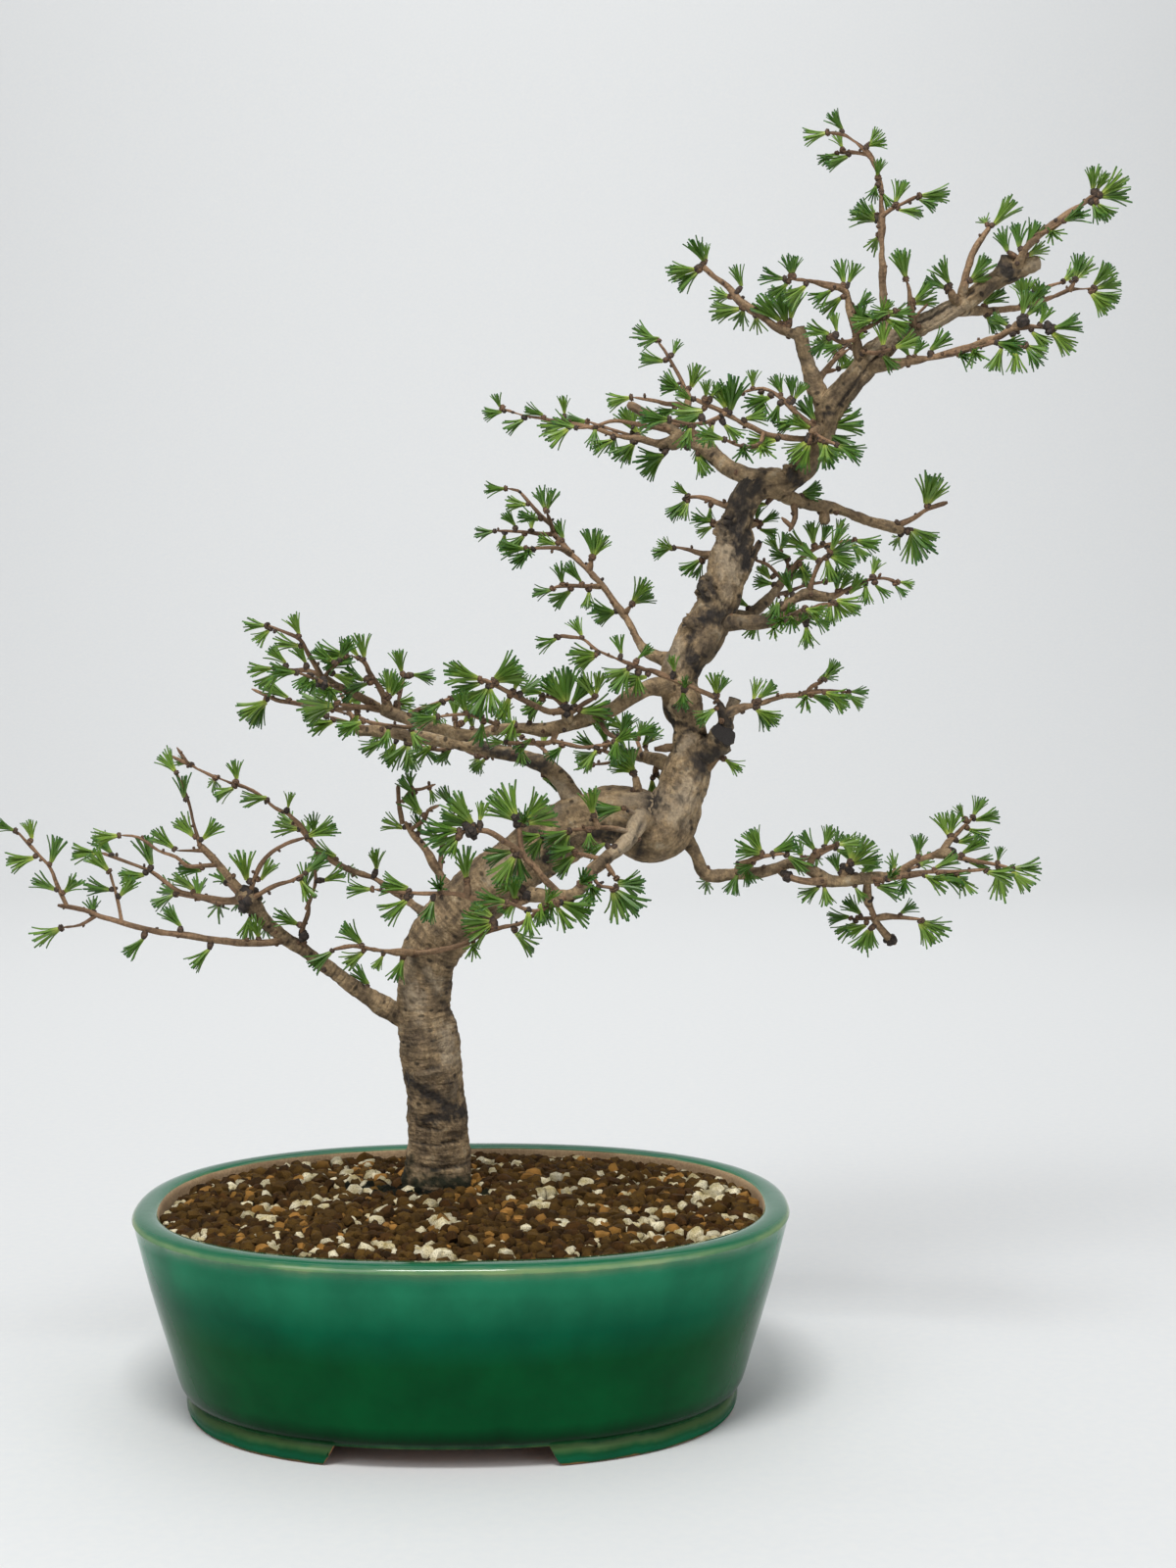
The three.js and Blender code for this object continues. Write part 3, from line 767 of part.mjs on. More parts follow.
      [[139, 359, -7, 2.4], [145, 363.5, -8, 2.1], [152, 368, -9, 2.4], [158, 370.5, -10, 2.7],
        [166, 369, -11, 2.5], [172, 370.7, -12, 1.5], [178, 374, -13], [185, 377, -14], [192, 377.6, -15],
        [198, 375.8, -16, 0.9]],
      [[158, 371, -10, 1.9], [160, 378, -14, 1.3], [163, 385, -18], [167, 389, -22, 0.9]],
      [[157, 361, -14, 2.2], [163, 365, -22, 1.5], [171, 366, -32, 0.9]],
      [[148, 359.8, -11, 1.6], [147, 359, -26], [150, 361, -40], [156, 364, -52, 0.9]],
    ],
    tufts: [
      [157, 356, 270, 12], [160, 361, 320, 10], [142, 358, 250, 10, -0.93], [144, 359, 40, 10, -0.7],
      [152, 358, 60, 11, -0.5], [171, 372, 95, 11], [172, 371, 55, 10], [175, 371, 50, 12],
      [187, 379, 70, 10], [188, 375, 320, 10], [184, 375, 270, 10], [198, 376, 350, 8],
      [197, 375, 320, 8], [170, 367, 340, 14], [169, 367, 300, 12], [168, 368, 260, 12],
      [167, 389, 20, 14], [167, 388, 340, 14], [168, 390, 70, 12], [166, 387, 285, 12],
      [162, 386, 150, 12], [156, 364, 340, 13, -0.8], [150, 361, 260, 12, -0.9],
      [147, 359, 200, 12, -0.92], [150, 371, 110, 12, -0.4], [146, 366, 250, 12, -0.4],
    ],
  },
  branch_mid_right_back: {
    wood: [
      [[116, 361, 8, 5], [126, 360.5, 16, 3], [132, 362, 20, 2.6], [137, 366, 23, 2.7],
        [141, 370, 25, 2.5], [144.5, 374.5, 27, 2.3], [147, 378, 28, 1.7]],
      [[146.5, 377, 28, 1.4], [143, 380, 24], [139, 384, 20], [133, 386, 16, 0.9]],
      [[146.5, 377, 28, 1.6], [152, 384, 25], [157, 388.5, 22], [163, 392, 19], [172, 394, 16],
        [178, 395, 13, 0.9]],
      [[146.5, 377, 28, 1.5], [148.5, 384, 35], [145, 389, 40, 0.9]],
      [[141, 370, 25, 1.5], [147, 371, 40], [155, 374, 52], [165, 376, 62, 0.9]],
      [[133, 363, 20, 1.5], [136, 360, 36], [143, 358, 50], [151, 361, 62, 0.9]],
    ],
    tufts: [
      [142, 375, 175, 11], [141, 377, 130, 10], [134, 387, 160, 9], [148, 376, 50, 12],
      [150, 378, 20, 11], [131, 364, 150, 10], [178, 395, 350, 13], [177, 394, 315, 12],
      [170, 396, 60, 11], [166, 392, 320, 13], [160, 393, 100, 12], [157, 391, 150, 13],
      [164, 394, 70, 10], [144, 390, 130, 10], [145, 390, 70, 10], [150, 387, 170, 12],
      [154, 384, 300, 12], [165, 376, 20, 14, 0.5], [156, 375, 90, 12, 0.5], [148, 370, 270, 12, 0.5],
      [151, 361, 350, 14, 0.5], [143, 359, 90, 12, 0.6], [135, 359, 250, 12, 0.6],
    ],
  },
  branch_bare: {
    wood: [
      [[140, 420, 4, 5], [148, 414.5, 9, 3.4], [156, 411.5, 13, 2.9], [164, 410.3, 17, 2.8],
        [172, 408.5, 20, 2.6], [180, 405.5, 23, 2.4], [188, 403, 26, 2.4], [196, 401, 29, 2.9],
        [201, 399.3, 31, 2.4]],
      [[165, 410, 17, 2.3], [165, 402, 16, 2.5]],
      [[167, 409, 18, 1.8], [170, 411.5, 18, 1.5]],
      [[199, 402, 30, 1.7], [206, 405, 27], [212, 409, 24], [221, 412, 20, 1.2]],
      [[151, 412, 10, 1.9], [151.5, 405, 7], [149, 399, 4, 1.4]],
      [[150, 401, 5, 1.4], [145.5, 405, 1, 1.3]],
    ],
    tufts: [
      [211, 411, 85, 17], [212, 411, 55, 15], [204, 399, 300, 18], [205, 399, 270, 17],
      [205, 400, 330, 15], [200, 398, 250, 11, 0.93], [139, 411, 180, 10], [154, 415, 20, 11],
      [153, 414, 345, 10],
    ],
  },
  branch_upper_left: {
    wood: [
      [[135, 420, 5, 7], [127, 424.5, 9, 4.3], [120, 428, 13, 3.8], [115, 432.5, 16, 3.7],
        [110.5, 437, 19, 4], [104, 439.3, 22, 3.9], [97.5, 439.5, 24, 3.6], [94, 436.5, 25, 3.2]],
      [[102, 440, 23, 3], [95, 444.5, 25, 2.6], [88.5, 449.5, 27, 2.6], [82, 452.7, 29, 2.3],
        [75.5, 456, 31, 2]],
      [[97, 439.5, 24, 2.8], [89, 438, 27, 2.2], [82, 440, 30, 1.9], [72, 441.5, 33, 1.6], [61, 445, 36],
        [50, 447, 38], [38, 449, 40], [28, 451, 42], [20, 453.5, 44, 0.8]],
      [[96, 444, 25, 1.5], [84, 446, 18], [70, 448.5, 14], [61, 446, 12], [53, 445, 10, 0.9]],
      [[106, 440, 21, 2.2], [103, 448, 16, 1.7], [100, 455, 12, 1.5], [93, 456, 7], [87, 457.5, 3],
        [78, 459, -2, 0.9]],
      [[102, 450, 15, 1.8], [103, 459, 19, 1.9], [101, 464, 22, 1.2], [98, 470, 24], [95, 475, 26],
        [92, 480, 28], [89, 484, 30, 0.9]],
      [[82, 440, 30, 1.4], [80, 441, 46], [70, 444, 60], [58, 448, 70, 0.9]],
      [[110, 437, 19, 1.5], [108, 442, 36], [101, 446, 50], [91, 448, 62, 0.9]],
    ],
    tufts: [
      [92, 433, 195, 16], [91, 432, 225, 14], [107, 433, 295, 12], [108, 434, 320, 11],
      [20, 453, 190, 11], [18, 454, 110, 8], [29, 449, 205, 12], [38, 450, 160, 11], [50, 447, 185, 16],
      [49, 445, 215, 14], [47, 451, 95, 10], [53, 445, 160, 13], [69, 440, 205, 13], [78, 438, 215, 14],
      [79, 439, 240, 12], [80, 443, 130, 16], [78, 444, 95, 12], [78, 459, 190, 12], [97, 454, 200, 10],
      [89, 484, 150, 13], [90, 484, 190, 12], [96, 478, 70, 9], [92, 475, 170, 13], [104, 463, 70, 13],
      [101, 462, 140, 13], [100, 463, 180, 11], [61, 446, 260, 11], [58, 448, 175, 14, 0.5],
      [70, 444, 260, 13, 0.5], [80, 442, 60, 12, 0.93], [91, 448, 170, 14, 0.5], [101, 447, 90, 13, 0.6],
      [108, 441, 280, 12, 0.6],
    ],
  },
  branch_upper_front: {
    wood: [
      [[162, 441, 0, 3], [157, 440.5, -7, 2], [151, 440.7, -11, 1.6], [145, 441.3, -14], [137, 443, -17],
        [130, 446.5, -19], [125, 449, -20], [120, 452, -21], [113, 455, -22], [106, 458.5, -23, 1.3]],
      [[120, 452, -21, 1.4], [112, 448, -32], [104, 447, -41], [95, 449, -49, 0.9]],
      [[137, 443, -17, 1.3], [135, 438, -32], [128, 437, -44], [120, 440, -54, 0.9]],
    ],
    tufts: [
      [122, 453, 85, 18], [120, 453, 115, 13], [144, 441, 190, 15], [110, 453, 185, 16],
      [109, 452, 210, 13], [111, 459, 90, 9], [113, 459, 55, 9], [114, 448, 250, 12], [119, 447, 320, 12],
      [128, 449, 10, 12], [95, 449, 180, 14, -0.3], [104, 446, 250, 12, -0.5], [120, 440, 170, 14, -0.4],
      [128, 437, 260, 12, -0.92], [135, 438, 300, 12, -0.92], [106, 458, 150, 9],
    ],
  },
  cluster_upper_front: {
    wood: [
      [[163, 446, 0, 4], [161, 444, -9, 2.4], [158, 443, -14, 1.6]],
      [[161, 445, -7, 1.9], [157, 448, -11], [152, 452, -13], [148, 456, -13], [144, 459.5, -12],
        [137, 463, -10], [128, 461.5, -7, 0.9]],
      [[160, 443, -11, 1.5], [165, 440, -24], [170, 438, -34, 0.9]],
    ],
    tufts: [
      [160, 444, 165, 14], [160, 447, 120, 14], [163, 446, 5, 17], [163, 445, 330, 16],
      [164, 447, 35, 14], [162, 440, 310, 15], [163, 440, 290, 15], [158, 438, 245, 14],
      [157, 439, 215, 13], [154, 450, 200, 12], [150, 459, 95, 11], [145, 460, 110, 10],
      [151, 458, 60, 10], [140, 459, 200, 15], [144, 456, 250, 10], [132, 463, 90, 9],
      [128, 461, 190, 10], [136, 461, 270, 12], [170, 438, 330, 14, -0.5], [165, 439, 270, 12, -0.5],
    ],
  },
  twig_left_low: {
    wood: [
      [[121, 389, 6, 3], [113, 388.5, 12, 1.7], [108, 389, 16], [103, 390.5, 20], [96, 391.7, 24, 0.9]],
      [[113, 388, 12, 1.4], [110, 386, 17, 1.2]],
    ],
    tufts: [[97, 391, 150, 9], [95, 391, 200, 10], [109, 386, 215, 12], [110, 386, 250, 9]],
  },
  twig_left_high: {
    wood: [[[127, 409, 6, 3], [119, 411, 11, 1.8], [113, 413, 15], [107, 414.5, 19], [102, 414, 22, 0.9]]],
    tufts: [[103, 415, 150, 9], [102, 413, 225, 13], [103, 412, 250, 10], [113, 410, 270, 8]],
  },
  spur_left: {
    wood: [[[125, 400, 6, 4], [117.5, 402, 8, 2.4], [115, 403, 8, 1.6]]],
    tufts: [[115, 403, 170, 11], [115, 402, 205, 9]],
  },
  spur_right: {
    wood: [[[124, 400, 6, 3], [132, 402, 12, 2], [135, 402, 14, 1.4]]],
    tufts: [[135, 402, 30, 10], [135, 400, 345, 10], [134, 404, 80, 9, 0.4]],
  },
  twig_crown_left: {
    wood: [
      [[153, 487, 4, 3], [147, 488.5, 7, 2.3], [143, 490, 9, 2.1], [135, 496, 12], [128, 501, 15],
        [122, 507, 18], [116, 512, 20], [109, 517.5, 23, 1.5]],
      [[135, 496, 12, 1.4], [133, 496, 26], [128, 499, 38], [122, 504, 47, 0.9]],
    ],
    tufts: [
      [147, 493, 110, 19], [145, 493, 140, 18], [149, 494, 85, 15], [127, 499, 185, 16],
      [127, 508, 110, 12], [110, 519, 125, 14], [111, 520, 95, 9], [106, 516, 185, 15],
      [107, 515, 215, 14], [122, 504, 160, 13, 0.85], [128, 499, 260, 13, 0.9], [133, 496, 300, 12, 0.92],
    ],
  },
  twig_crown_mid: {
    wood: [
      [[183, 471, -4, 4], [180, 478, -8, 2.4], [178.5, 488, -10, 1.9], [176, 498, -11],
        [173.5, 507, -12, 1.9], [165, 509.5, -15, 1.5], [156, 511.3, -18], [147, 512, -21, 0.9]],
      [[178.5, 488, -10, 1.5], [187, 492, -17], [192, 496, -22, 0.9]],
      [[180, 480, -8, 1.6], [188, 479, -18], [195, 481, -26, 0.9]],
      [[178.5, 485, -10, 1.5], [172, 484, -20], [167, 486, -28, 0.9]],
    ],
    tufts: [
      [149, 514, 110, 10], [150, 514, 80, 9], [146, 512, 175, 12], [148, 510, 215, 12],
      [156, 509, 220, 14], [168, 508, 215, 12], [173, 510, 100, 12], [175, 510, 65, 11],
      [172, 504, 220, 13], [179, 499, 45, 10], [179, 498, 330, 10], [192, 496, 10, 13],
      [191, 495, 330, 13], [189, 494, 60, 10], [187, 494, 190, 12], [195, 481, 20, 13],
      [190, 479, 320, 11], [191, 482, 90, 12], [167, 487, 170, 13], [167, 486, 220, 11],
      [170, 488, 100, 10], [174, 484, 200, 11], [182, 490, 100, 11],
    ],
  },
  twig_crown_cross: {
    wood: [
      [[160, 466, 1, 3], [164, 470, 7, 1.9], [169, 476, 12, 1.5], [176, 481, 17, 1]],
      [[164, 470.5, 7, 1.5], [170, 471.5, 10, 1.1]],
      [[169, 476, 12, 1.3], [172, 480, 28], [178, 486, 40, 0.9]],
    ],
    tufts: [
      [168, 480, 150, 12], [168, 480, 110, 10], [171, 472, 20, 10], [177, 482, 60, 12],
      [178, 486, 60, 14, 0.4], [172, 481, 300, 12, 0.6],
    ],
  },
  twig_crown_tall: {
    wood: [
      [[195, 484, -5, 3], [192, 493, -1, 2], [191, 505, 1, 1.9], [190.3, 515, 2], [190, 525, 3],
        [190, 535, 4], [189.5, 545, 5], [189, 553, 6], [187.5, 560, 7], [184, 567, 8], [178, 572.5, 9],
        [172, 576, 10], [166, 577, 11, 1]],
      [[190, 540, 4, 1.5], [194, 543, 1], [200, 546, -3], [206, 549, -7, 0.9]],
      [[184, 567, 8, 1.5], [178, 568, 14], [170, 568, 20, 0.9]],
      [[190, 528, 3, 1.3], [189, 532, 16], [188, 540, 26, 0.9]],
    ],
    tufts: [
      [187, 538, 170, 15], [187, 539, 145, 13], [188, 554, 250, 10, -0.6], [188, 556, 80, 9, -0.5],
      [189, 552, 300, 10, -0.3], [183, 571, 15, 10], [184, 572, 60, 9], [170, 568, 205, 10],
      [172, 570, 110, 9], [175, 567, 200, 13], [172, 578, 135, 11], [166, 577, 190, 12],
      [196, 545, 70, 12], [197, 543, 350, 13], [206, 549, 5, 15], [206, 548, 335, 10],
      [188, 540, 130, 13, 0.9], [189, 532, 250, 12, 0.93],
    ],
  },
  twig_crown_up: {
    wood: [
      [[206, 488, -7, 3], [204, 494, -12, 2], [203, 500, -15, 1.7], [202.5, 507, -17], [201, 511, -18, 1.2]],
      [[204, 494, -12, 1.2], [211, 501, -16, 0.8]],
      [[203, 498, -14, 1.4], [197, 498, -22, 0.9]],
    ],
    tufts: [
      [201, 512, 115, 15], [201, 513, 95, 14], [204, 502, 45, 13], [205, 501, 15, 12],
      [197, 498, 190, 12],
    ],
  },
  twig_crown_spurs: {
    wood: [
      [[226, 500, -9, 3], [222.5, 504.5, -14, 2.2], [221, 508, -16, 1.8]],
      [[226, 501, -9, 2.8], [227.5, 508, -13, 2.3], [229, 511.5, -15, 1.4]],
      [[226, 502, -9, 2.4], [228, 513, -7, 1.9], [231, 523, -5], [235, 530, -3], [238.5, 535.5, -1, 1.7]],
    ],
    tufts: [
      [221, 509, 125, 13], [220, 508, 155, 11], [229, 511, 50, 14], [230, 511, 20, 10],
      [240, 536, 50, 17], [238, 536, 90, 9, 0.93],
    ],
  },
  twig_crown_end: {
    wood: [
      [[250, 515, -12, 3.4], [252.5, 521, -17, 2.4], [255, 526, -20, 2], [262, 532.5, -22],
        [270, 538.5, -23], [278, 544, -24], [286, 549.5, -25, 1.6]],
      [[262, 532.5, -22, 1.3], [266, 534, -36], [272, 538, -46, 0.9]],
    ],
    tufts: [
      [285, 552, 90, 12], [287, 552, 60, 10], [289, 550, 40, 15], [289, 549, 10, 15], [287, 546, 320, 11],
      [285, 546, 290, 10], [253, 525, 90, 13], [254, 524, 60, 14], [254, 523, 25, 12],
      [272, 538, 20, 13, -0.85], [266, 534, 270, 12, -0.93], [247, 524, 105, 13],
    ],
  },
  branch_crown_right: {
    wood: [
      [[226, 499.5, -9, 4], [232, 498, -4, 2.6], [238, 498, 1, 2], [245, 498.5, 5], [252, 499.5, 8],
        [260, 502, 11], [268, 504.5, 14], [276, 507.5, 17], [286, 508, 20, 1]],
      [[275, 507, 17, 1.7], [277.5, 511.5, 15, 1.2]],
      [[252, 499.5, 8, 1.4], [256, 503, 24], [263, 508, 36], [272, 511, 46, 0.9]],
    ],
    tufts: [
      [236, 501, 30, 13], [237, 501, 60, 10], [237, 496, 335, 12], [238, 495, 310, 9], [254, 500, 85, 13],
      [255, 500, 55, 14], [256, 501, 110, 12], [263, 503, 120, 9], [278, 512, 50, 14], [278, 513, 75, 12],
      [286, 509, 50, 14], [287, 508, 20, 14], [286, 507, 340, 14], [285, 506, 310, 15],
      [272, 511, 40, 14, 0.5], [263, 507, 270, 12, 0.5], [256, 503, 100, 12, 0.6],
    ],
  },
  branch_crown_low: {
    wood: [
      [[184, 473, -4.5, 4.5], [191, 474, -9, 3], [197, 474, -12, 2.6], [203, 475.3, -15, 2],
        [211, 476.6, -18, 1.7], [220, 478.5, -21], [230, 481.5, -24], [238, 484.7, -27],
        [244, 486.5, -29], [249, 489.5, -31, 1.9], [258, 491, -33, 1.3], [267, 490, -35, 0.9]],
      [[238, 484.3, -27, 1.5], [245, 483.5, -33], [255, 483, -39, 0.9]],
      [[250, 490, -31, 2], [254, 494, -33, 2]],
      [[220, 478.5, -21, 1.3], [225, 479, -36], [232, 481, -50], [242, 484, -60, 0.9]],
    ],
    tufts: [
      [203, 477, 130, 9], [205, 478, 60, 9, -0.4], [212, 480, 40, 13], [245, 482, 250, 13],
      [251, 481, 275, 12], [256, 482, 300, 12], [255, 483, 345, 11], [254, 496, 80, 12],
      [256, 496, 40, 12], [262, 492, 60, 10], [267, 490, 10, 14], [267, 489, 325, 15],
      [258, 489, 320, 12], [250, 487, 260, 10], [242, 484, 340, 14, -0.7], [232, 481, 260, 13, -0.9],
      [225, 479, 300, 12, -0.93], [248, 491, 150, 10],
    ],
  },
};

// ---- assembly: pot, soil, screens, trunk, then each branch cut off just clear of the trunk
const owners = Object.entries(BRANCHES);
const trunkPaths = [TRUNK, ...STUBS];
addWoodBarriers(trunkPaths, 'trunk');
owners.forEach(([name, { wood }]) => addWoodBarriers(wood, name));

function trunkBody(grow) {
  const bodies = trunkPaths.map((points, i) => (
    limb(thinned(points, TRUNK_TOLERANCE), i ? LIMB_SIDES : TRUNK_SIDES,
      { grow, bark: i ? 0 : BARK_FLUTE })));
  return wasm.Manifold.union(bodies);
}

const trunk = trunkBody(0);
const trunkClear = trunkBody(GAP);
const soil = soilBody(trunkClear);

addPiece('pot', potBody(), MATERIALS.glaze);
addPiece('soil', soil, MATERIALS.soil);
addPiece('drainage_screen_left', screenBody(-HOLE_OFFSET), MATERIALS.screen);
addPiece('drainage_screen_right', screenBody(HOLE_OFFSET), MATERIALS.screen);
addPiece('trunk', trunk, MATERIALS.bark);

for (const [name, { wood, tufts }] of owners) {
  addPiece(name, largest(branchBody(name, wood, tufts).subtract(trunkClear)), MATERIALS.needles);
}

// ---- the whole stands with its lowest points on z = 0 and its box centred on the Z axis
tree.updateMatrixWorld(true);
const bounds = new THREE.Box3().setFromObject(tree);
const middle = bounds.getCenter(new THREE.Vector3());
tree.position.set(-middle.x, -middle.y, -bounds.min.z);

export default tree;
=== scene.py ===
"""Larch bonsai in a green glazed oval pot.

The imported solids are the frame. Each piece here is modelled finer in the same place: the glazed pot,
the granules of its soil, the drainage screens, the trunk's bark, and every twig with its needles.
The tree is drawn in millimetres from the pot's centre, in front elevation with a depth for each point.
"""

import collections
import math
import random

import bmesh
import bpy
from mathutils import Matrix, Vector, noise


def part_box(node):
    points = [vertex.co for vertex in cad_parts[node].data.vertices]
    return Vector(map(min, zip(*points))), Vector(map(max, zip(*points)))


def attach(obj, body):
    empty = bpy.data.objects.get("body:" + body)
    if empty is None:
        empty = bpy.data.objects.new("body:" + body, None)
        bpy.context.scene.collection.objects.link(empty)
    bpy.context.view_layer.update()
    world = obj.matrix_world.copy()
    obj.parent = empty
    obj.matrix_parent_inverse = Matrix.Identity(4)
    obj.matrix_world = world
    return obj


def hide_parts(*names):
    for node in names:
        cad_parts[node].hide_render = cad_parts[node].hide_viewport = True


bl_info = {
    "name": "Larch bonsai in a glazed pot",
    "version": (1, 0, 0),
    "blender": (4, 5, 0),
    "location": "View3D > Sidebar > Bonsai",
    "description": "Models the pot, soil, bark and needles of a larch bonsai around its packed solids",
    "category": "Add Mesh",
}

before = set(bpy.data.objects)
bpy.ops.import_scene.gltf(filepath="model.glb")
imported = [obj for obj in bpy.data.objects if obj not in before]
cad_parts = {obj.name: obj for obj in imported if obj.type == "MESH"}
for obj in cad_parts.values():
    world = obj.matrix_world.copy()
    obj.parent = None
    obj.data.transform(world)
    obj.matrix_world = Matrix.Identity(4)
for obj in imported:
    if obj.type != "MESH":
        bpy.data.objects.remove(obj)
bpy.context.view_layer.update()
POT_LOW, POT_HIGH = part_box("pot")
MM = 0.001

# ---- the pot: its middle in metres, then its sizes in millimetres; half lengths run along X
POT_X = (POT_LOW.x + POT_HIGH.x) / 2
RIM_HALF = (POT_HIGH.x - POT_LOW.x) / 2 / MM
RIM_TOP = POT_HIGH.z / MM
OVAL_RATIO = (POT_HIGH.y - POT_LOW.y) / (POT_HIGH.x - POT_LOW.x)
OVAL_POWER = 2.3
POT_STEPS = 160
LIP = 12
RIM_RISE = 3.4
GLAZE_TURNS_IN = 1.2
FOOT_HALF = RIM_HALF * 0.84
FOOT_HEIGHT = 9.5
FOOT_RING = 15
FLOOR_TOP = 17.5
HOLE_RADIUS = 9
HOLE_OFFSET = 55
SOIL_EDGE = 86.5
SOIL_MOUND = 5.5
# The pot's two materials, by their places in its list
GLAZE, CLAY = 0, 1
# From millimetres round the pot's middle to metres in the frame
TO_ROW = Matrix.Translation((POT_X, 0, 0)) @ Matrix.Scale(MM, 4)

# ---- the tree's drawing: seen from EYE, every drawn point lies on the plane y = 0
EYE = Vector((33, -1026, 355))
# How far the eye looks down and aside, in radians
EYE_PITCH = 0.069
EYE_TURN = -0.024
GOLDEN = 0.6180339887
NEEDLE_LENGTH = 15
NEEDLE_SHARE = 0.88
TWIG_SHARE = 0.8
LEAN_SPREAD = 0.9
SHEATH_RADIUS = 1.1
RINGED_BELOW = 260
MOSS_BELOW = 92
MOSS_FADE = 14
TRUNK_SIDES = 80
TRUNK_STEP = 1.05
LIMB_SIDES = 14
LIMB_STEP = 2.0
LIMB_RELIEF = 0.3
TWIG_SIDES = 8
TWIG_STEP = 2.6
TWIG_RELIEF = 0.12
LIMB_RADIUS = 2.3
BARK_LAYERS = ("age", "scar", "damp", "pale", "painted_hollow_shade")
TUFT_SHAPES = 8
KNOB_SHAPES = 5
KNOB_SPACING = 13
GALL_LUMPS = 9


# ---- the trunk, drawn from under the soil to the cut end of the crown
TRUNK = [
  [-13, 68.4, 30, 16.4], [-13, 92, 30, 16.4], [-12, 99, 30, 16.2], [-11.5, 110, 30, 14.8],
  [-11.2, 120, 29.5, 14.1], [-11.3, 130, 29, 14.1], [-12.5, 140, 28, 13.5], [-13.5, 150, 27, 13.6],
  [-14.8, 160, 26.5, 13.9], [-16.2, 170, 26, 13.6], [-17.8, 180, 25.5, 12.5], [-17.8, 190, 24.5, 12.6],
  [-16.5, 200, 23.5, 12.7], [-12.5, 210, 22, 13], [-7, 218, 20.5, 13.5], [1, 227, 19, 13.8],
  [11, 236, 17, 13.8], [21, 244, 15, 13.5], [31, 251.5, 13, 13.5], [41, 259, 11, 14.5],
  [51, 264.5, 9, 13.8], [61, 268, 7, 12.4], [70, 269.5, 5.5, 13.2], [78, 267, 4.5, 15],
  [85, 263.5, 4, 16.2], [91.5, 265, 3.5, 15.5], [96.5, 272, 3, 13], [100, 281, 2.5, 10.8],
  [103, 291, 2, 10.4], [104.5, 300, 1.5, 9], [103.5, 310, 1.5, 7.8], [100.5, 320, 2, 8.6],
  [99, 330, 2.5, 8.4], [101.5, 339, 3, 8.8], [107, 348, 4, 10.4], [112.5, 357, 5, 10.4],
  [117, 366, 5.5, 9.4], [119.3, 375, 6, 9.4], [122, 385, 6.5, 10.2], [123.8, 395, 6.5, 8.2],
  [125, 403, 6.5, 7], [128, 411, 6, 6.8], [133.5, 418.5, 5, 7], [140.5, 420.5, 4, 6.3],
  [147.5, 421.3, 3, 5.6], [153.5, 425.5, 2, 5.6], [158.5, 432.5, 1, 5.3], [162.5, 441, 0, 5],
  [165.5, 449.5, -1, 6], [168.5, 456.5, -2, 6.4], [174, 463, -3, 5.6], [180.5, 470, -4, 5.6],
  [187, 478.5, -5, 5.4], [196, 485, -6, 4.8], [205, 489.3, -7, 4.5], [215, 494.8, -8, 4.7],
  [225, 500.5, -9, 4.9], [233, 506, -10, 4.2], [242, 511.5, -11, 4], [250, 515.5, -12, 3.9],
  [257, 518, -13, 3.6], [262, 519.5, -13.5, 3.2],
]

# Old cut stubs and knots that belong to the trunk
STUBS = [
  [[103, 296, 2, 7], [110, 298, -1, 6.6], [116, 302, -5, 6.2], [120, 307, -11, 5.8]],
  [[117, 304, -4, 4.6], [120.5, 311, -3, 3.6], [122.5, 317, -2, 3.2], [124.5, 323, -1, 3.1]],
  [[166, 452, -1, 5.5], [162.5, 459, 0, 4.4], [159.5, 467, 1, 3.9], [156.8, 475, 2, 3.6],
    [154.5, 482.5, 3, 3.5], [152.3, 490, 4, 3.3]],
  [[99, 300, 4, 2.4], [94, 300.4, 6, 1.8], [88, 300, 8, 1.3]],
  [[130, 386, 6, 3.5], [133.5, 391, 5, 2.3], [136, 394.5, 4, 1.6]],
  [[104, 352, 1, 4], [103, 357, 0, 2.6]],
  [[117, 304, 2, 4.5], [120, 298, 3, 3.4]],
  [[244, 513, -11, 4.4], [246.5, 518, -12, 4.2], [247, 523, -13, 3]],
]

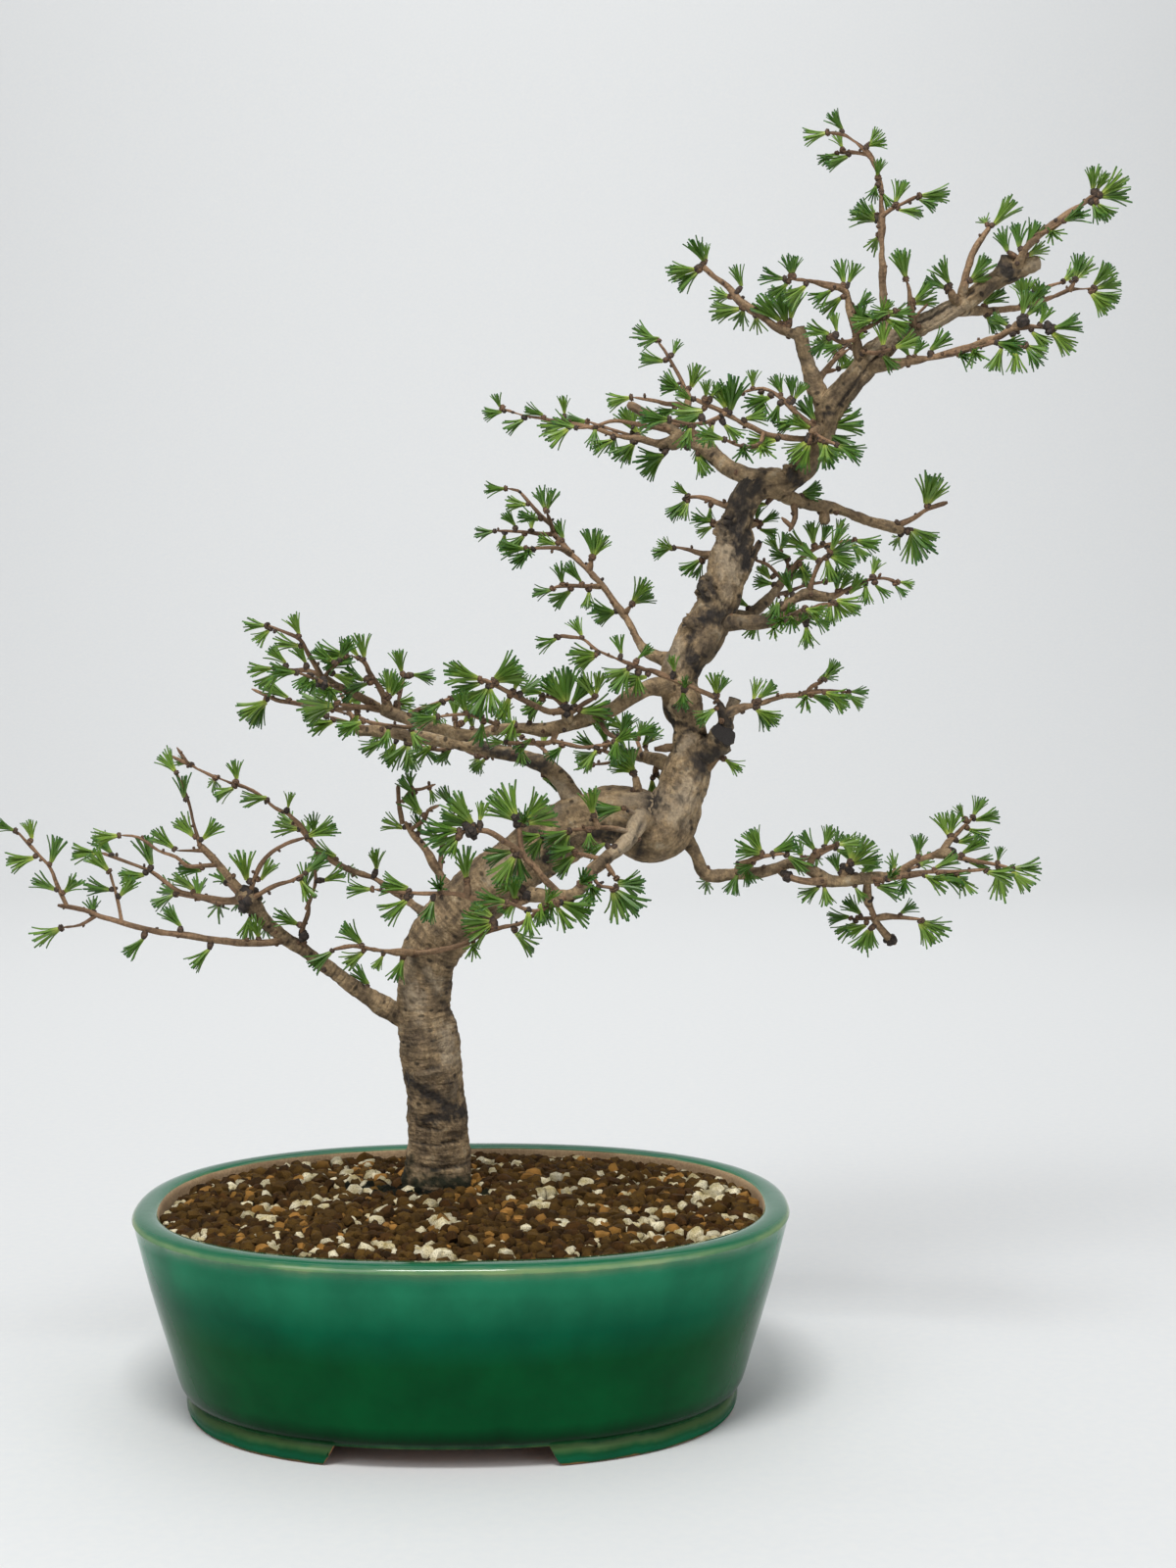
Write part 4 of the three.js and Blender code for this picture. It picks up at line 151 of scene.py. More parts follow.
# ---- branches: wood runs from the trunk outwards; tufts sit on short shoots of the nearest wood
BRANCHES = {
  "branch_low_left": {
    "wood": [
      [[-16, 175, 25, 8], [-22, 176.6, 24.8, 7.4], [-28, 178, 24.5, 6], [-34, 181, 24, 4.8],
        [-42, 185.5, 22.5, 4.2], [-50, 191.4, 20.5, 3.9], [-60, 199.2, 17, 3.4], [-70, 206.3, 14, 3.2],
        [-80, 213, 11, 3], [-86, 218, 9, 3], [-92, 224, 7, 3.2], [-97, 231, 5, 4.4], [-101, 236, 4, 3.4]],
      [[-80, 213, 11, 2], [-88, 211.6, 6], [-100, 211.5, 0], [-113, 213, -5], [-125, 215, -9],
        [-137, 216.5, -12], [-146, 218.5, -14], [-155, 221, -15], [-165, 224, -16], [-172, 227, -17],
        [-184, 229.2, -17, 1.2]],
      [[-180, 229, -17, 1.3], [-184, 238, -19], [-187, 246, -21], [-192, 252, -23],
        [-202, 263, -25, 0.8]],
      [[-167, 224, -16, 1.2], [-174, 220, -19], [-182, 219, -22, 0.8]],
      [[-155, 221, -15, 1.3], [-157, 232, -12], [-160, 244, -9, 0.8]],
      [[-99, 233, 5, 1.8], [-105, 231, 10], [-113, 232, 14], [-122, 233.5, 18], [-130, 236, 21],
        [-141, 244, 26], [-153, 249, 30], [-164, 253, 33, 0.9]],
      [[-99, 234, 5, 2.2], [-103, 238, 3], [-108, 244, 0], [-114, 251, -3], [-120, 257, -6, 1.9]],
      [[-119, 256, -6, 1.3], [-122, 267, -8], [-124, 276, -10], [-129, 289, -13, 0.8]],
      [[-118, 254, -5, 1.2], [-130, 254, -12, 0.8]],
      [[-111, 247.5, -2, 1.3], [-118, 247, -6], [-125, 247, -9], [-130, 251, -12], [-138, 254, -15],
        [-147, 260, -18], [-155, 261, -20, 0.8]],
      [[-97, 234, 5, 1.6], [-93, 245, -1], [-88, 252, -6], [-80, 257, -12], [-71, 260, -15, 0.9]],
      [[-96, 232, 5, 1.5], [-85, 238, -6], [-78, 240, -12], [-72, 243, -17, 0.9]],
      [[-72, 207.7, 13, 1.6], [-73, 217, 8], [-71, 223, 4], [-70, 228, 0], [-72, 234, -3, 0.9]],
      [[-71, 227, 0, 1.2], [-67, 238, -5], [-67, 247, -6, 0.9]],
      [[-86, 218, 9, 1.4], [-90, 219, 22], [-95, 224, 36], [-101, 232, 46], [-107, 239, 53, 0.9]],
      [[-97, 231, 5, 1.4], [-103, 230, 20], [-111, 230, 38], [-120, 232, 50], [-130, 234, 60, 0.9]],
    ],
    "tufts": [
      [-202, 263, 155, 10], [-195, 259, 100, 10], [-194, 251, 190], [-187, 248, 75], [-184, 236, 150],
      [-181, 235, 40, 12], [-182, 219, 205], [-160, 244, 130], [-160, 236, 175], [-156, 233, 50, 12],
      [-145, 214, 225], [-128, 219, 135], [-115, 209, 225], [-93, 214, 100, 12],
      [-168, 225, 110, 12, 0.9], [-164, 253, 180], [-159, 252, 135], [-141, 247, 110, 17],
      [-144, 243, 185], [-122, 236, 145], [-131, 234, 210], [-121, 260, 135], [-118, 259, 45],
      [-125, 277, 95, 13], [-129, 289, 130, 13], [-131, 255, 140], [-155, 261, 185], [-118, 245, 175, 13],
      [-71, 260, 20, 16], [-72, 243, 40], [-74, 241, 300, 12], [-98, 240, 100, 17], [-92, 240, 60, 13],
      [-95, 228, 255], [-75, 220, 150], [-72, 235, 80], [-63, 240, 25, 12], [-43, 191, 135, 13],
      [-107, 239, 150, 15, 0.9], [-101, 232, 250, 14, 0.9], [-95, 224, 100, 14, 0.9],
      [-130, 234, 170, 15, 0.8], [-120, 232, 110, 14, 0.8], [-111, 230, 250, 14, 0.9],
      [-90, 219, 270, 12, 0.9],
    ],
  },
  "branch_arch": {
    "wood": [
      [[-15, 224, 22, 3], [-24, 230, 32, 2], [-31, 235, 37, 1.7], [-40, 241, 42], [-50, 244.5, 45],
        [-60, 250, 47], [-65, 255, 48], [-70, 261, 49], [-78, 270, 50], [-84, 273, 51], [-95, 281, 53],
        [-110, 287, 55], [-120, 291.5, 56], [-133, 298, 58, 0.9]],
      [[-124, 293.5, 56, 1.1], [-129, 301, 60, 0.8]],
      [[-60, 250, 47, 1.3], [-65, 253, 58], [-70, 259, 68], [-76, 266, 76, 0.8]],
    ],
    "tufts": [
      [-39, 245, 90, 12], [-57, 250, 160], [-67, 262, 95, 11], [-73, 264, 180], [-79, 273, 80, 9],
      [-88, 277, 185], [-102, 286, 100, 11], [-103, 283, 205, 12], [-122, 293, 175, 10],
      [-76, 266, 165, 14, 0.85], [-70, 259, 100, 13, 0.85], [-65, 253, 250, 12, 0.9],
      [-112, 287, 250, 12, 0.92], [-52, 246, 265, 12, 0.9],
    ],
  },
  "branch_low_cross": {
    "wood": [
      [[-20, 206, 20, 3.2], [-23, 206.5, 9, 2], [-30, 207, 2], [-38, 208, -3], [-44, 209, -6],
        [-50, 210, -9], [-59, 208.5, -13, 0.8]],
      [[-22, 206.3, 9, 1.6], [-17, 206.8, 4], [-10, 208, 2], [0, 210.5, -1], [7, 214, -3], [14, 217, -6],
        [20, 218.7, -8], [25, 219.5, -10], [30, 222, -11], [36, 227, -13, 1]],
    ],
    "tufts": [
      [-27, 204, 245, 13], [-36, 206, 240, 9], [-46, 211, 135], [-45, 207, 215], [-59, 208, 215],
      [24, 216, 320], [13, 221, 180, 16], [14, 220, 215, 15], [14, 223, 150, 14], [36, 228, 60, 10, -0.5],
      [37, 227, 270, 12, -0.9], [5, 212, 260, 12, -0.92],
    ],
  },
  "branch_front": {
    "wood": [
      [[85, 264, -4, 5.6], [82, 268, -14, 5], [80, 266, -18, 4.4], [77, 260, -23, 3.6],
        [72, 255, -28, 3.2], [65, 249.5, -33, 3.1], [59, 244, -37, 3], [56.5, 239, -40, 2.9],
        [53, 235, -43, 2.9], [48, 232.7, -45, 2.9], [40, 232.8, -47, 2.8], [34, 233.5, -48, 3.4],
        [29, 234, -49, 3.8]],
      [[31, 232, -49, 1.8], [26, 229.3, -51], [20, 229, -53], [12, 229.5, -54], [3, 232.5, -55],
        [-5, 234, -56], [-20, 234, -58], [-32, 235, -59], [-40, 236, -60, 0.9]],
      [[2.5, 232.5, -55, 1.9], [2.5, 239, -57, 1.8]],
      [[44, 234, -46, 1.9], [38, 240, -50], [34, 245, -52], [29, 250, -53], [27, 256, -53],
        [26, 267, -51, 1.4]],
      [[28, 252, -53, 1.7], [24, 255, -55], [19, 258, -57], [14, 261.5, -59], [9, 263, -60],
        [0, 262.5, -61, 1.4]],
      [[59.5, 244, -37, 1.3], [61, 239.5, -42], [64, 237, -45], [70, 236.5, -48, 0.9]],
      [[65, 249, -33, 1.6], [70, 241.5, -37, 1.3]],
      [[64, 249.5, -33, 1.5], [56, 251.5, -38], [51, 253, -41, 1]],
      [[77, 262, -22, 1.7], [70, 263.5, -27], [63, 264, -29], [50, 263, -32], [37, 261, -35, 0.9]],
      [[62, 264, -29, 1.7], [60.5, 268.5, -31, 1.6]],
      [[81, 269, -16, 1.8], [75, 273, -22, 1.4]],
      [[48, 232.7, -45, 1.4], [41, 228, -62], [32, 226, -76], [21, 230, -86, 0.9]],
      [[59, 244, -37, 1.4], [59, 241, -52], [57, 239, -66], [54, 238, -78, 0.9]],
    ],
    "tufts": [
      [2, 241, 95, 17], [-24, 236, 170], [-25, 231, 215], [-13, 231, 250, 12, -0.4], [-40, 236, 180, 12],
      [-10, 235, 100, 12, -0.92], [27, 237, 185, 12], [27, 232, 225, 13], [25, 269, 118, 18],
      [24, 268, 150, 17], [29, 268, 50, 16], [30, 266, 15, 15], [27, 266, 80, 12, -0.9],
      [-2, 263, 180, 17], [-1, 261, 212, 15], [5, 266, 128, 18], [4, 265, 160, 16], [8, 267, 75, 10],
      [-2, 259, 240, 10], [24, 254, 195], [24, 251, 238, 17], [26, 251, 275, 14],
      [36, 229, 270, 12, -0.6], [38, 229, 60, 10, -0.6], [44, 230, 335, 17], [43, 230, 300, 13],
      [62, 236, 225, 13], [70, 237, 5, 14], [70, 236, 320, 17], [69, 235, 285, 17], [70, 241, 335, 14],
      [52, 254, 190], [52, 252, 225, 14], [66, 257, 210, 12], [37, 261, 190, 12], [37, 260, 235, 12],
      [50, 263, 200], [49, 262, 245, 13], [58, 263, 270, 10, -0.6], [60, 270, 95, 14], [74, 273, 185, 14],
      [21, 230, 170, 15, -0.4], [30, 227, 270, 13, -0.5], [41, 230, 250, 13, -0.9],
      [54, 238, 60, 14, -0.9], [58, 239, 290, 13, -0.92], [24, 231, 90, 13, -0.5],
    ],
  },
  "branch_right_low": {
    "wood": [
      [[96, 264, 5, 6], [102, 259, 5.5, 4], [105, 254.5, 6, 3.4], [107.5, 250, 6.5, 3],
        [110, 244.8, 7, 2.9], [114, 242.2, 8, 2.7], [121, 242.4, 9, 2.8], [128, 243, 9, 2.8],
        [136, 243.5, 8, 2.7], [143, 245, 7, 2.6], [150, 247.3, 6, 2.5], [156, 246, 5, 2.6],
        [161, 243.5, 4, 2.8], [166, 240, 3, 3], [172, 239.2, 2, 2.8], [180, 239.8, 1, 2.7],
        [188, 240.5, 0, 2.6], [196, 241.5, -1, 2.2], [203, 245, -2, 1.8], [209, 248.8, -3, 1.6],
        [215, 250.8, -4, 1.7], [220, 252, -5, 2.4], [226, 251, -5, 2.6]],
      [[145, 244.6, 6, 2], [149, 241.5, 0, 2], [155, 239.6, -2, 1.8], [162, 239, -1, 2],
        [168, 239.5, 2, 2]],
      [[127, 243, 8, 2.4], [127, 246.5, 5, 1.9], [133, 249, 2, 1.5], [140, 251, -2], [148, 252, -5, 0.9]],
      [[159, 244.5, 4, 2.2], [161, 251, 1, 1.8], [165, 253.5, -4], [171, 256, -10, 0.9]],
      [[174, 239.5, 2, 2.2], [177, 247, 1, 2]],
      [[186, 240, 0, 1.9], [186, 231, 6, 2.3], [188, 226, 9, 1.6], [190, 221, 11, 1.5]],
      [[190, 222, 11, 1.8], [195, 222.8, 8, 2], [200, 222.5, 5, 1.3], [206, 222, 2],
        [211, 221.5, -1, 0.9]],
      [[190, 222, 11, 1.3], [184, 222, 15], [179, 221.5, 18, 0.9]],
      [[189, 222, 11, 1.7], [191, 219, 13, 1.9], [195, 214, 16, 2.1], [199, 210.3, 19, 1.8]],
      [[196, 241.5, -1, 1.8], [205, 242.3, -8], [210, 243, -11], [216, 243.5, -15], [226, 243.6, -20],
        [240, 244.4, -26, 0.9]],
      [[220, 252, -5, 2], [223, 257, -3, 1.9], [226, 260, -1, 1.4], [230, 264, 3], [234, 268, 6, 0.9]],
      [[226, 250.5, -5, 2], [232, 249, -7, 1.3], [243, 247, -10], [252, 245, -13, 0.9]],
      [[172, 239.5, 2, 1.4], [179, 240, 18], [188, 241, 34], [199, 243, 46], [209, 246, 55, 0.9]],
      [[150, 247, 6, 1.4], [156, 249, 22], [163, 251, 36], [171, 255, 48, 0.9]],
      [[188, 240.5, 0, 1.4], [195, 240, -18], [203, 241, -33], [212, 242, -45, 0.9]],
    ],
    "tufts": [
      [137, 252, 165], [137, 253, 120, 13], [142, 252, 20], [149, 251, 325, 14], [127, 245, 250, 12],
      [129, 245, 290, 12], [134, 247, 200, 10], [162, 253, 130, 12], [166, 254, 70, 11],
      [171, 256, 5, 12], [171, 254, 340, 12], [178, 248, 100, 14], [179, 248, 55, 16], [179, 247, 20, 15],
      [173, 243, 110, 10], [183, 243, 40, 11], [164, 237, 215, 12], [166, 237, 280, 11],
      [180, 237, 300, 9], [190, 237, 345], [201, 224, 35, 10], [211, 221, 335, 17], [210, 220, 305, 14],
      [183, 224, 140, 12], [179, 222, 180, 12], [181, 220, 215, 13], [187, 217, 235], [188, 218, 270, 12],
      [186, 219, 200, 12], [223, 260, 110, 13], [224, 260, 75, 12], [230, 268, 120, 8],
      [234, 268, 60, 11], [235, 267, 15, 13], [232, 263, 340, 12], [227, 257, 10, 11], [229, 251, 35, 14],
      [231, 249, 350, 14], [216, 244, 25], [218, 243, 345, 15], [227, 242, 310, 13], [246, 248, 80, 8],
      [246, 245, 285, 17], [252, 245, 0, 14], [252, 244, 320, 14], [209, 251, 80, 11],
      [209, 246, 20, 14, 0.8], [199, 243, 90, 12, 0.9], [188, 241, 100, 12, 0.9], [171, 255, 60, 13, 0.9],
      [163, 251, 270, 12, 0.93], [156, 250, 110, 12, 0.9], [212, 242, 330, 15, -0.85],
      [203, 241, 250, 12, -0.9], [195, 240, 60, 11, -0.9], [240, 244, 350, 14, -0.3],
      [113, 241, 270, 11, 0.93],
    ],
  },
  "branch_mid_lower": {
    "wood": [
      [[53, 266, 8, 8], [51.5, 275, 9.5, 5.6], [47, 283.5, 12, 4.6], [41.5, 290, 15, 4.2],
        [34, 294, 18, 3.8], [25, 296.8, 21, 3.5], [16, 299.3, 24, 3.4], [7, 301.6, 26, 3.3],
        [-2, 303.2, 28, 3.3], [-11, 304.4, 29, 3], [-21, 305.6, 30, 2.9], [-31, 308, 31, 2.8],
        [-40, 308.8, 32, 3], [-48, 308, 33, 2.6]],
      [[-41, 309, 32, 1.9], [-50, 311.5, 30], [-60, 315, 27, 0.9]],
      [[-46, 309, 32, 1.6], [-51, 317, 34], [-54, 324, 36], [-56, 329, 38, 0.9]],
      [[-31, 308, 31, 1.5], [-36, 309, 44], [-45, 314, 56], [-58, 318, 64, 0.9]],
      [[-4, 303.3, 28, 1.5], [-8, 300, 40], [-18, 301, 52], [-30, 306, 60, 0.9]],
      [[16, 299.3, 24, 1.5], [12, 297, 38], [5, 298, 50], [-4, 303, 58, 0.9]],
      [[38, 292, 17, 1.6], [40, 296, 30], [36, 301, 42], [28, 305, 50, 0.9]],
    ],
    "tufts": [
      [-58, 313, 195], [-62, 315, 165, 12], [-35, 304, 205, 14], [-30, 303, 245, 13], [-25, 302, 225, 16],
      [-24, 302, 275, 15], [-20, 302, 320, 12], [-12, 301, 215, 13], [-5, 301, 225, 10],
      [12, 297, 225, 10], [8, 297, 265, 9], [38, 290, 15, 10], [37, 289, 335, 12], [-57, 329, 160, 11],
      [-58, 326, 190, 10], [-52, 321, 30, 10], [-58, 318, 180, 15, 0.4], [-47, 315, 100, 13, 0.5],
      [-36, 311, 240, 13, 0.6], [-30, 306, 170, 14, 0.5], [-19, 303, 90, 12, 0.6],
      [-8, 299, 250, 12, 0.93], [-4, 303, 130, 14, 0.5], [7, 297, 260, 12, 0.93], [28, 305, 140, 14, 0.5],
      [37, 302, 80, 13, 0.6], [40, 295, 290, 12, 0.6], [22, 301, 90, 13, 0.3],
    ],
  },
  "branch_mid_upper": {
    "wood": [
      [[99, 328, 2, 7], [91, 328.5, -3, 4.8], [84, 327.5, -6, 3.8], [77, 324, -8, 3.4],
        [70, 319.3, -9, 3.3], [62, 315.6, -9, 3.4], [54, 313, -9, 3.6], [46, 310.5, -8, 3.5],
        [39, 308.8, -7, 3.2], [30, 309.5, -5, 2.7], [22, 309.4, -3, 2.7], [14, 308.8, -1, 2.7],
        [7, 306.8, 1, 2.8], [0, 306.8, 2, 2.9], [-8, 308.6, 3, 2.8], [-16, 311, 4, 2.8],
        [-24, 313.6, 5, 2.9], [-31, 316.6, 6, 3], [-37, 319, 7, 3.3]],
      [[43, 309.5, -8, 2.4], [41, 303.5, -12, 1.5], [35, 303, -14], [28, 302.6, -17],
        [21, 303, -20, 0.9]],
      [[41, 304, -12, 1.4], [48, 302.3, -18], [55, 300.8, -23], [62, 301.5, -28], [69, 303, -33, 0.9]],
      [[49, 311.5, -9, 2.6], [47.5, 317, -13, 2.9]],
      [[47, 317.5, -13, 1.8], [40, 317, -18], [34, 319.5, -23], [28, 322.5, -27], [20, 326.8, -32],
        [14, 330, -36], [9, 332, -39, 1.2]],
      [[50, 317, -13, 1.7], [56, 321, -17], [61, 323.5, -21, 1]],
      [[47, 319, -13, 1.5], [42, 323.5, -12], [36, 324, -10, 0.9]],
      [[-32, 317, 6, 2.6], [-34, 321, 3, 2.5], [-36, 326, -1, 1.6], [-39, 331, -5], [-42, 336, -8],
        [-44, 340, -10], [-51, 343, -13, 0.9]],
      [[-38, 319.5, 7, 2.6], [-45, 323, 3, 2], [-50, 326, -1], [-56, 329, -5, 1.9],
        [-62, 331.5, -9, 2.9]],
      [[-63, 333, -9, 1.6], [-67, 340, -14], [-70, 345, -18], [-73, 350, -22], [-79, 353, -26],
        [-87, 356, -30, 0.9]],
      [[-64, 334, -9, 1.6], [-70, 336, -6], [-76, 336, -3], [-84, 337, 0, 0.9]],
      [[-62, 333, -9, 1.3], [-58, 337, -16], [-55, 340, -22, 0.8]],
      [[-37, 318, 7, 1.8], [-47, 319.5, -3], [-56, 320.5, -12, 1.1]],
      [[-46, 319, -2, 1.5], [-55, 318.4, 5], [-65, 318.6, 10], [-75, 321, 14], [-82, 322, 16],
        [-88, 324.5, 18], [-95, 327.5, 20, 1.1]],
      [[-24, 314, 5, 1.5], [-20, 318, 0], [-14, 320, -5], [-5, 323, -11, 0.9]],
      [[-29, 317, 6, 1.5], [-28, 324, 14], [-26, 333, 20, 0.9]],
      [[-1, 307, 2, 2], [-3, 312.5, 1, 1.9]],
      [[14, 308.8, -1, 1.5], [16, 311, -18], [9, 314, -31], [2, 316, -42], [-10, 315, -52, 0.9]],
      [[-20, 312, 4, 1.4], [-23, 310, -12], [-33, 311, -26], [-44, 313, -36, 0.9]],
      [[-56, 329, -5, 1.4], [-60, 329, -20], [-66, 332, -34], [-74, 335, -44, 0.9]],
      [[62, 315.6, -9, 1.5], [66, 308, -18], [72, 305, -26], [78, 306, -33, 0.9]],
    ],
    "tufts": [
      [9, 332, 165, 18], [9, 330, 195, 15], [15, 332, 40, 16], [16, 331, 15, 15], [12, 328, 240, 17],
      [13, 328, 280, 14], [14, 329, 210, 14], [24, 327, 70, 11], [27, 326, 30, 12], [22, 324, 250, 13],
      [47, 320, 130, 17], [48, 321, 90, 19], [50, 320, 55, 16], [37, 325, 165, 12], [37, 322, 215, 12],
      [43, 325, 120, 11], [61, 323, 120, 14], [61, 324, 75, 12], [54, 317, 5, 17], [54, 316, 345, 18],
      [55, 316, 320, 14], [21, 303, 175, 9], [27, 302, 275, 10], [33, 304, 215, 11],
      [46, 302, 225, 10, -0.5], [62, 301, 235, 13], [69, 303, 30, 12], [66, 303, 300, 13],
      [72, 306, 65, 12], [78, 306, 20, 13, -0.4], [70, 304, 260, 13, -0.5], [-44, 341, 100],
      [-46, 341, 130, 12], [-52, 343, 170], [-53, 342, 205, 12], [-33, 325, 90, 13], [-32, 324, 60, 12],
      [-30, 321, 0, 12], [-30, 320, 330, 11], [-44, 331, 150, 13], [-42, 330, 195, 13],
      [-47, 328, 220, 11], [-87, 356, 175, 12], [-86, 355, 220, 10], [-73, 352, 110, 11],
      [-72, 347, 170, 14], [-70, 339, 120, 11], [-84, 337, 185, 13], [-82, 336, 220, 14],
      [-79, 339, 140, 12], [-68, 334, 230, 12], [-58, 340, 150, 12], [-55, 341, 60, 12],
      [-60, 336, 20, 13], [-58, 334, 340, 12], [-57, 320, 175, 19], [-57, 319, 205, 17],
      [-56, 322, 140, 14], [-47, 316, 250, 12, -0.5], [-78, 323, 150, 16], [-88, 322, 210, 17],
      [-89, 322, 245, 15], [-27, 335, 100, 12], [-22, 334, 350, 12], [-28, 326, 150, 12, 0.4],
      [-24, 316, 355, 12], [-13, 319, 290, 9], [-5, 323, 10, 12], [-8, 322, 215, 11], [-3, 314, 90, 10],
      [1, 312, 50, 11], [5, 309, 100, 12], [-10, 315, 190, 14, -0.4], [2, 317, 110, 12, -0.5],
      [10, 313, 260, 12, -0.5], [16, 312, 60, 12, -0.4], [25, 311, 250, 14, -0.3],
      [31, 312, 80, 13, -0.3], [-44, 313, 200, 14, -0.4], [-33, 310, 260, 12, -0.6],
      [-23, 309, 300, 12, -0.5], [-74, 335, 175, 14, -0.6], [-66, 332, 240, 12, -0.9],
      [-60, 329, 290, 12, -0.9], [80, 331, 240, 9],
    ],
  },
  "branch_twisted": {
    "wood": [
      [[-2, 232, 22, 3], [-10, 243, 33, 2.2], [-17, 255, 37, 2], [-22, 261, 38], [-26, 267, 38, 1.7]],
      [[-27, 266, 38, 1.6], [-28.5, 275, 37], [-29, 284, 36, 1.2]],
      [[-27, 276, 37, 1.4], [-23, 281, 34], [-18, 282, 30], [-12, 284, 26, 0.7]],
      [[-24, 263, 38, 1.4], [-17, 268, 32], [-15.5, 272, 29], [-10, 274.5, 25, 0.9]],
      [[-10, 244, 33, 1.6], [-9, 256, 44], [-6, 264, 50], [-3, 272, 53, 0.9]],
    ],
    "tufts": [
      [-23, 283, 95, 9], [-21, 279, 130, 13], [-22, 278, 285, 9], [-15, 283, 290, 8], [-18, 270, 130, 14],
      [-19, 262, 100, 11], [-26, 264, 160, 12], [-3, 272, 120, 14], [-9, 259, 160, 13],
      [-5, 266, 40, 12, 0.5],
    ],
  },
  "branch_inner_left": {
    "wood": [
      [[101, 290, 4, 6], [93, 293.5, 12, 3.6], [86, 296, 20, 3], [79, 297, 27, 2.3], [71, 297, 33],
        [62, 300, 38, 1]],
      [[90, 294.5, 16, 1.8], [87.5, 288, 20, 1.5]],
      [[82, 297, 24, 1.5], [80, 304, 28], [76, 308, 32, 0.8]],
      [[71, 297, 33, 1.3], [68, 294, 44], [60, 293, 54, 0.8]],
      [[86, 296, 20, 1.3], [84, 300, 36], [86, 306, 48, 0.8]],
    ],
    "tufts": [
      [62, 300, 150], [63, 299, 200, 13], [66, 302, 100, 13], [75, 300, 120, 12], [79, 299, 230, 12],
      [83, 301, 50, 11], [81, 305, 75, 9], [76, 308, 150, 12], [87, 287, 275, 12], [88, 289, 320, 11],
      [60, 293, 190, 14, 0.9], [86, 304, 60, 12, 0.93],
    ],
  },
  "spur_bend": {
    "wood": [[[81, 273, 2, 2.8], [80.5, 281, 0, 2.4], [79, 288, -1, 2]]],
    "tufts": [[79, 289, 125, 17], [78, 290, 95, 12], [78, 289, 155, 12]],
  },
  "branch_diagonal": {
    "wood": [
      [[102, 336, 3, 6], [96, 340, 7, 4.4], [89, 342.5, 12, 3], [84, 345, 16, 2.8], [81, 349, 19, 2],
        [77, 356, 23], [74, 361, 26, 2], [70, 366, 29], [65, 373, 33], [60, 379, 37], [55, 384, 40],
        [50, 388.5, 43], [45, 394, 46], [41, 399, 49, 1.5]],
      [[74, 361, 26, 1.8], [77, 365, 22, 1.6]],
      [[63, 374, 35, 1.7], [57, 374, 29], [48, 374.3, 23], [42, 373.5, 19, 0.8]],
      [[58, 381, 38, 1.8], [59.3, 386, 36, 1.7]],
      [[50, 388.5, 43, 1.9], [45, 391, 38, 1.4], [38, 391.3, 33], [30, 391, 28, 0.8]],
      [[42, 398, 48, 1.4], [40.5, 403, 44], [39, 407, 41, 1]],
      [[40.5, 402, 48, 1.4], [36, 406, 52], [30, 413, 56], [26, 417, 59], [21, 418, 62, 0.8]],
      [[41, 397.5, 48, 1.5], [36, 397.5, 54], [28, 398.6, 60], [16, 399, 66, 0.8]],
    ],
    "tufts": [
      [70, 362, 170, 14], [71, 363, 205, 12], [78, 367, 60, 14], [78, 366, 25, 12], [55, 375, 130, 13],
      [46, 375, 100, 11], [50, 372, 215, 13], [58, 372, 265, 10], [42, 373, 190, 11], [60, 388, 95, 15],
      [60, 387, 60, 13], [46, 394, 110, 11], [44, 393, 160, 11], [33, 391, 215, 14],
      [30, 391, 270, 10, -0.93], [30, 391, 180, 13], [38, 409, 105, 12], [39, 408, 70, 12],
      [21, 418, 185, 11], [31, 411, 175, 12], [36, 404, 165, 12], [16, 399, 190, 11], [25, 401, 130, 10],
      [32, 399, 90, 10, 0.5], [29, 397, 220, 12], [20, 398, 260, 10, 0.5],
    ],
  },
  "branch_cross_mid": {
    "wood": [
      [[121, 309, -4, 3.4], [119, 317, -9, 2.4], [116, 322.5, -12, 1.5], [110, 326, -15], [104, 329, -16],
        [98, 331, -17], [90, 334.5, -18], [82, 336.5, -20], [76, 339, -23], [70, 341.5, -26],
        [62, 345, -29], [56, 349.5, -32], [50, 351, -34], [44, 351.6, -36, 0.9]],
      [[119, 316, -8, 2.4], [127, 318.5, -9, 2.1], [133, 320, -9, 1.7], [140, 322, -8], [147, 324, -6],
        [156, 325.5, -4], [160, 328.5, -8], [165, 331, -12, 0.9]],
      [[156, 325.5, -4, 1.4], [163, 326.5, 2], [170, 326.5, 7], [176, 326, 11, 0.9]],
      [[147, 324, -6, 1.3], [151, 324, -20], [157, 325, -32], [165, 326, -42, 0.9]],
    ],
    "tufts": [
      [44, 351, 200, 11], [55, 351, 115, 10], [62, 343, 175, 15], [61, 342, 205, 12], [73, 343, 105, 10],
      [80, 341, 40, 10], [77, 337, 200, 14], [76, 336, 240, 14], [80, 334, 275, 11], [85, 333, 185, 14],
      [97, 335, 100, 9, -0.5], [101, 326, 270, 11, -0.7], [102, 328, 90, 8, -0.7], [116, 325, 100, 12],
      [117, 325, 65, 10], [117, 319, 215, 12], [133, 322, 75, 12], [135, 322, 40, 12],
      [134, 318, 335, 14], [135, 318, 305, 12], [165, 331, 55, 11], [163, 332, 20, 10],
      [159, 325, 340, 12], [168, 324, 320, 11], [176, 326, 0, 10], [176, 325, 325, 10],
      [165, 326, 340, 14, -0.6], [157, 325, 250, 12, -0.9],
    ],
  },
  "spur_low_right": {
    "wood": [[[111, 290, 0, 2.4], [117, 296, -3, 1.6], [119, 296, -4, 1.2]]],
    "tufts": [[119, 296, 325, 11]],
  },
  "branch_mid_right": {
    "wood": [
      [[113, 357, 5, 7], [122, 357.5, 1, 4.3], [130, 357.3, -3, 3.5], [139, 358.3, -7, 3.3],
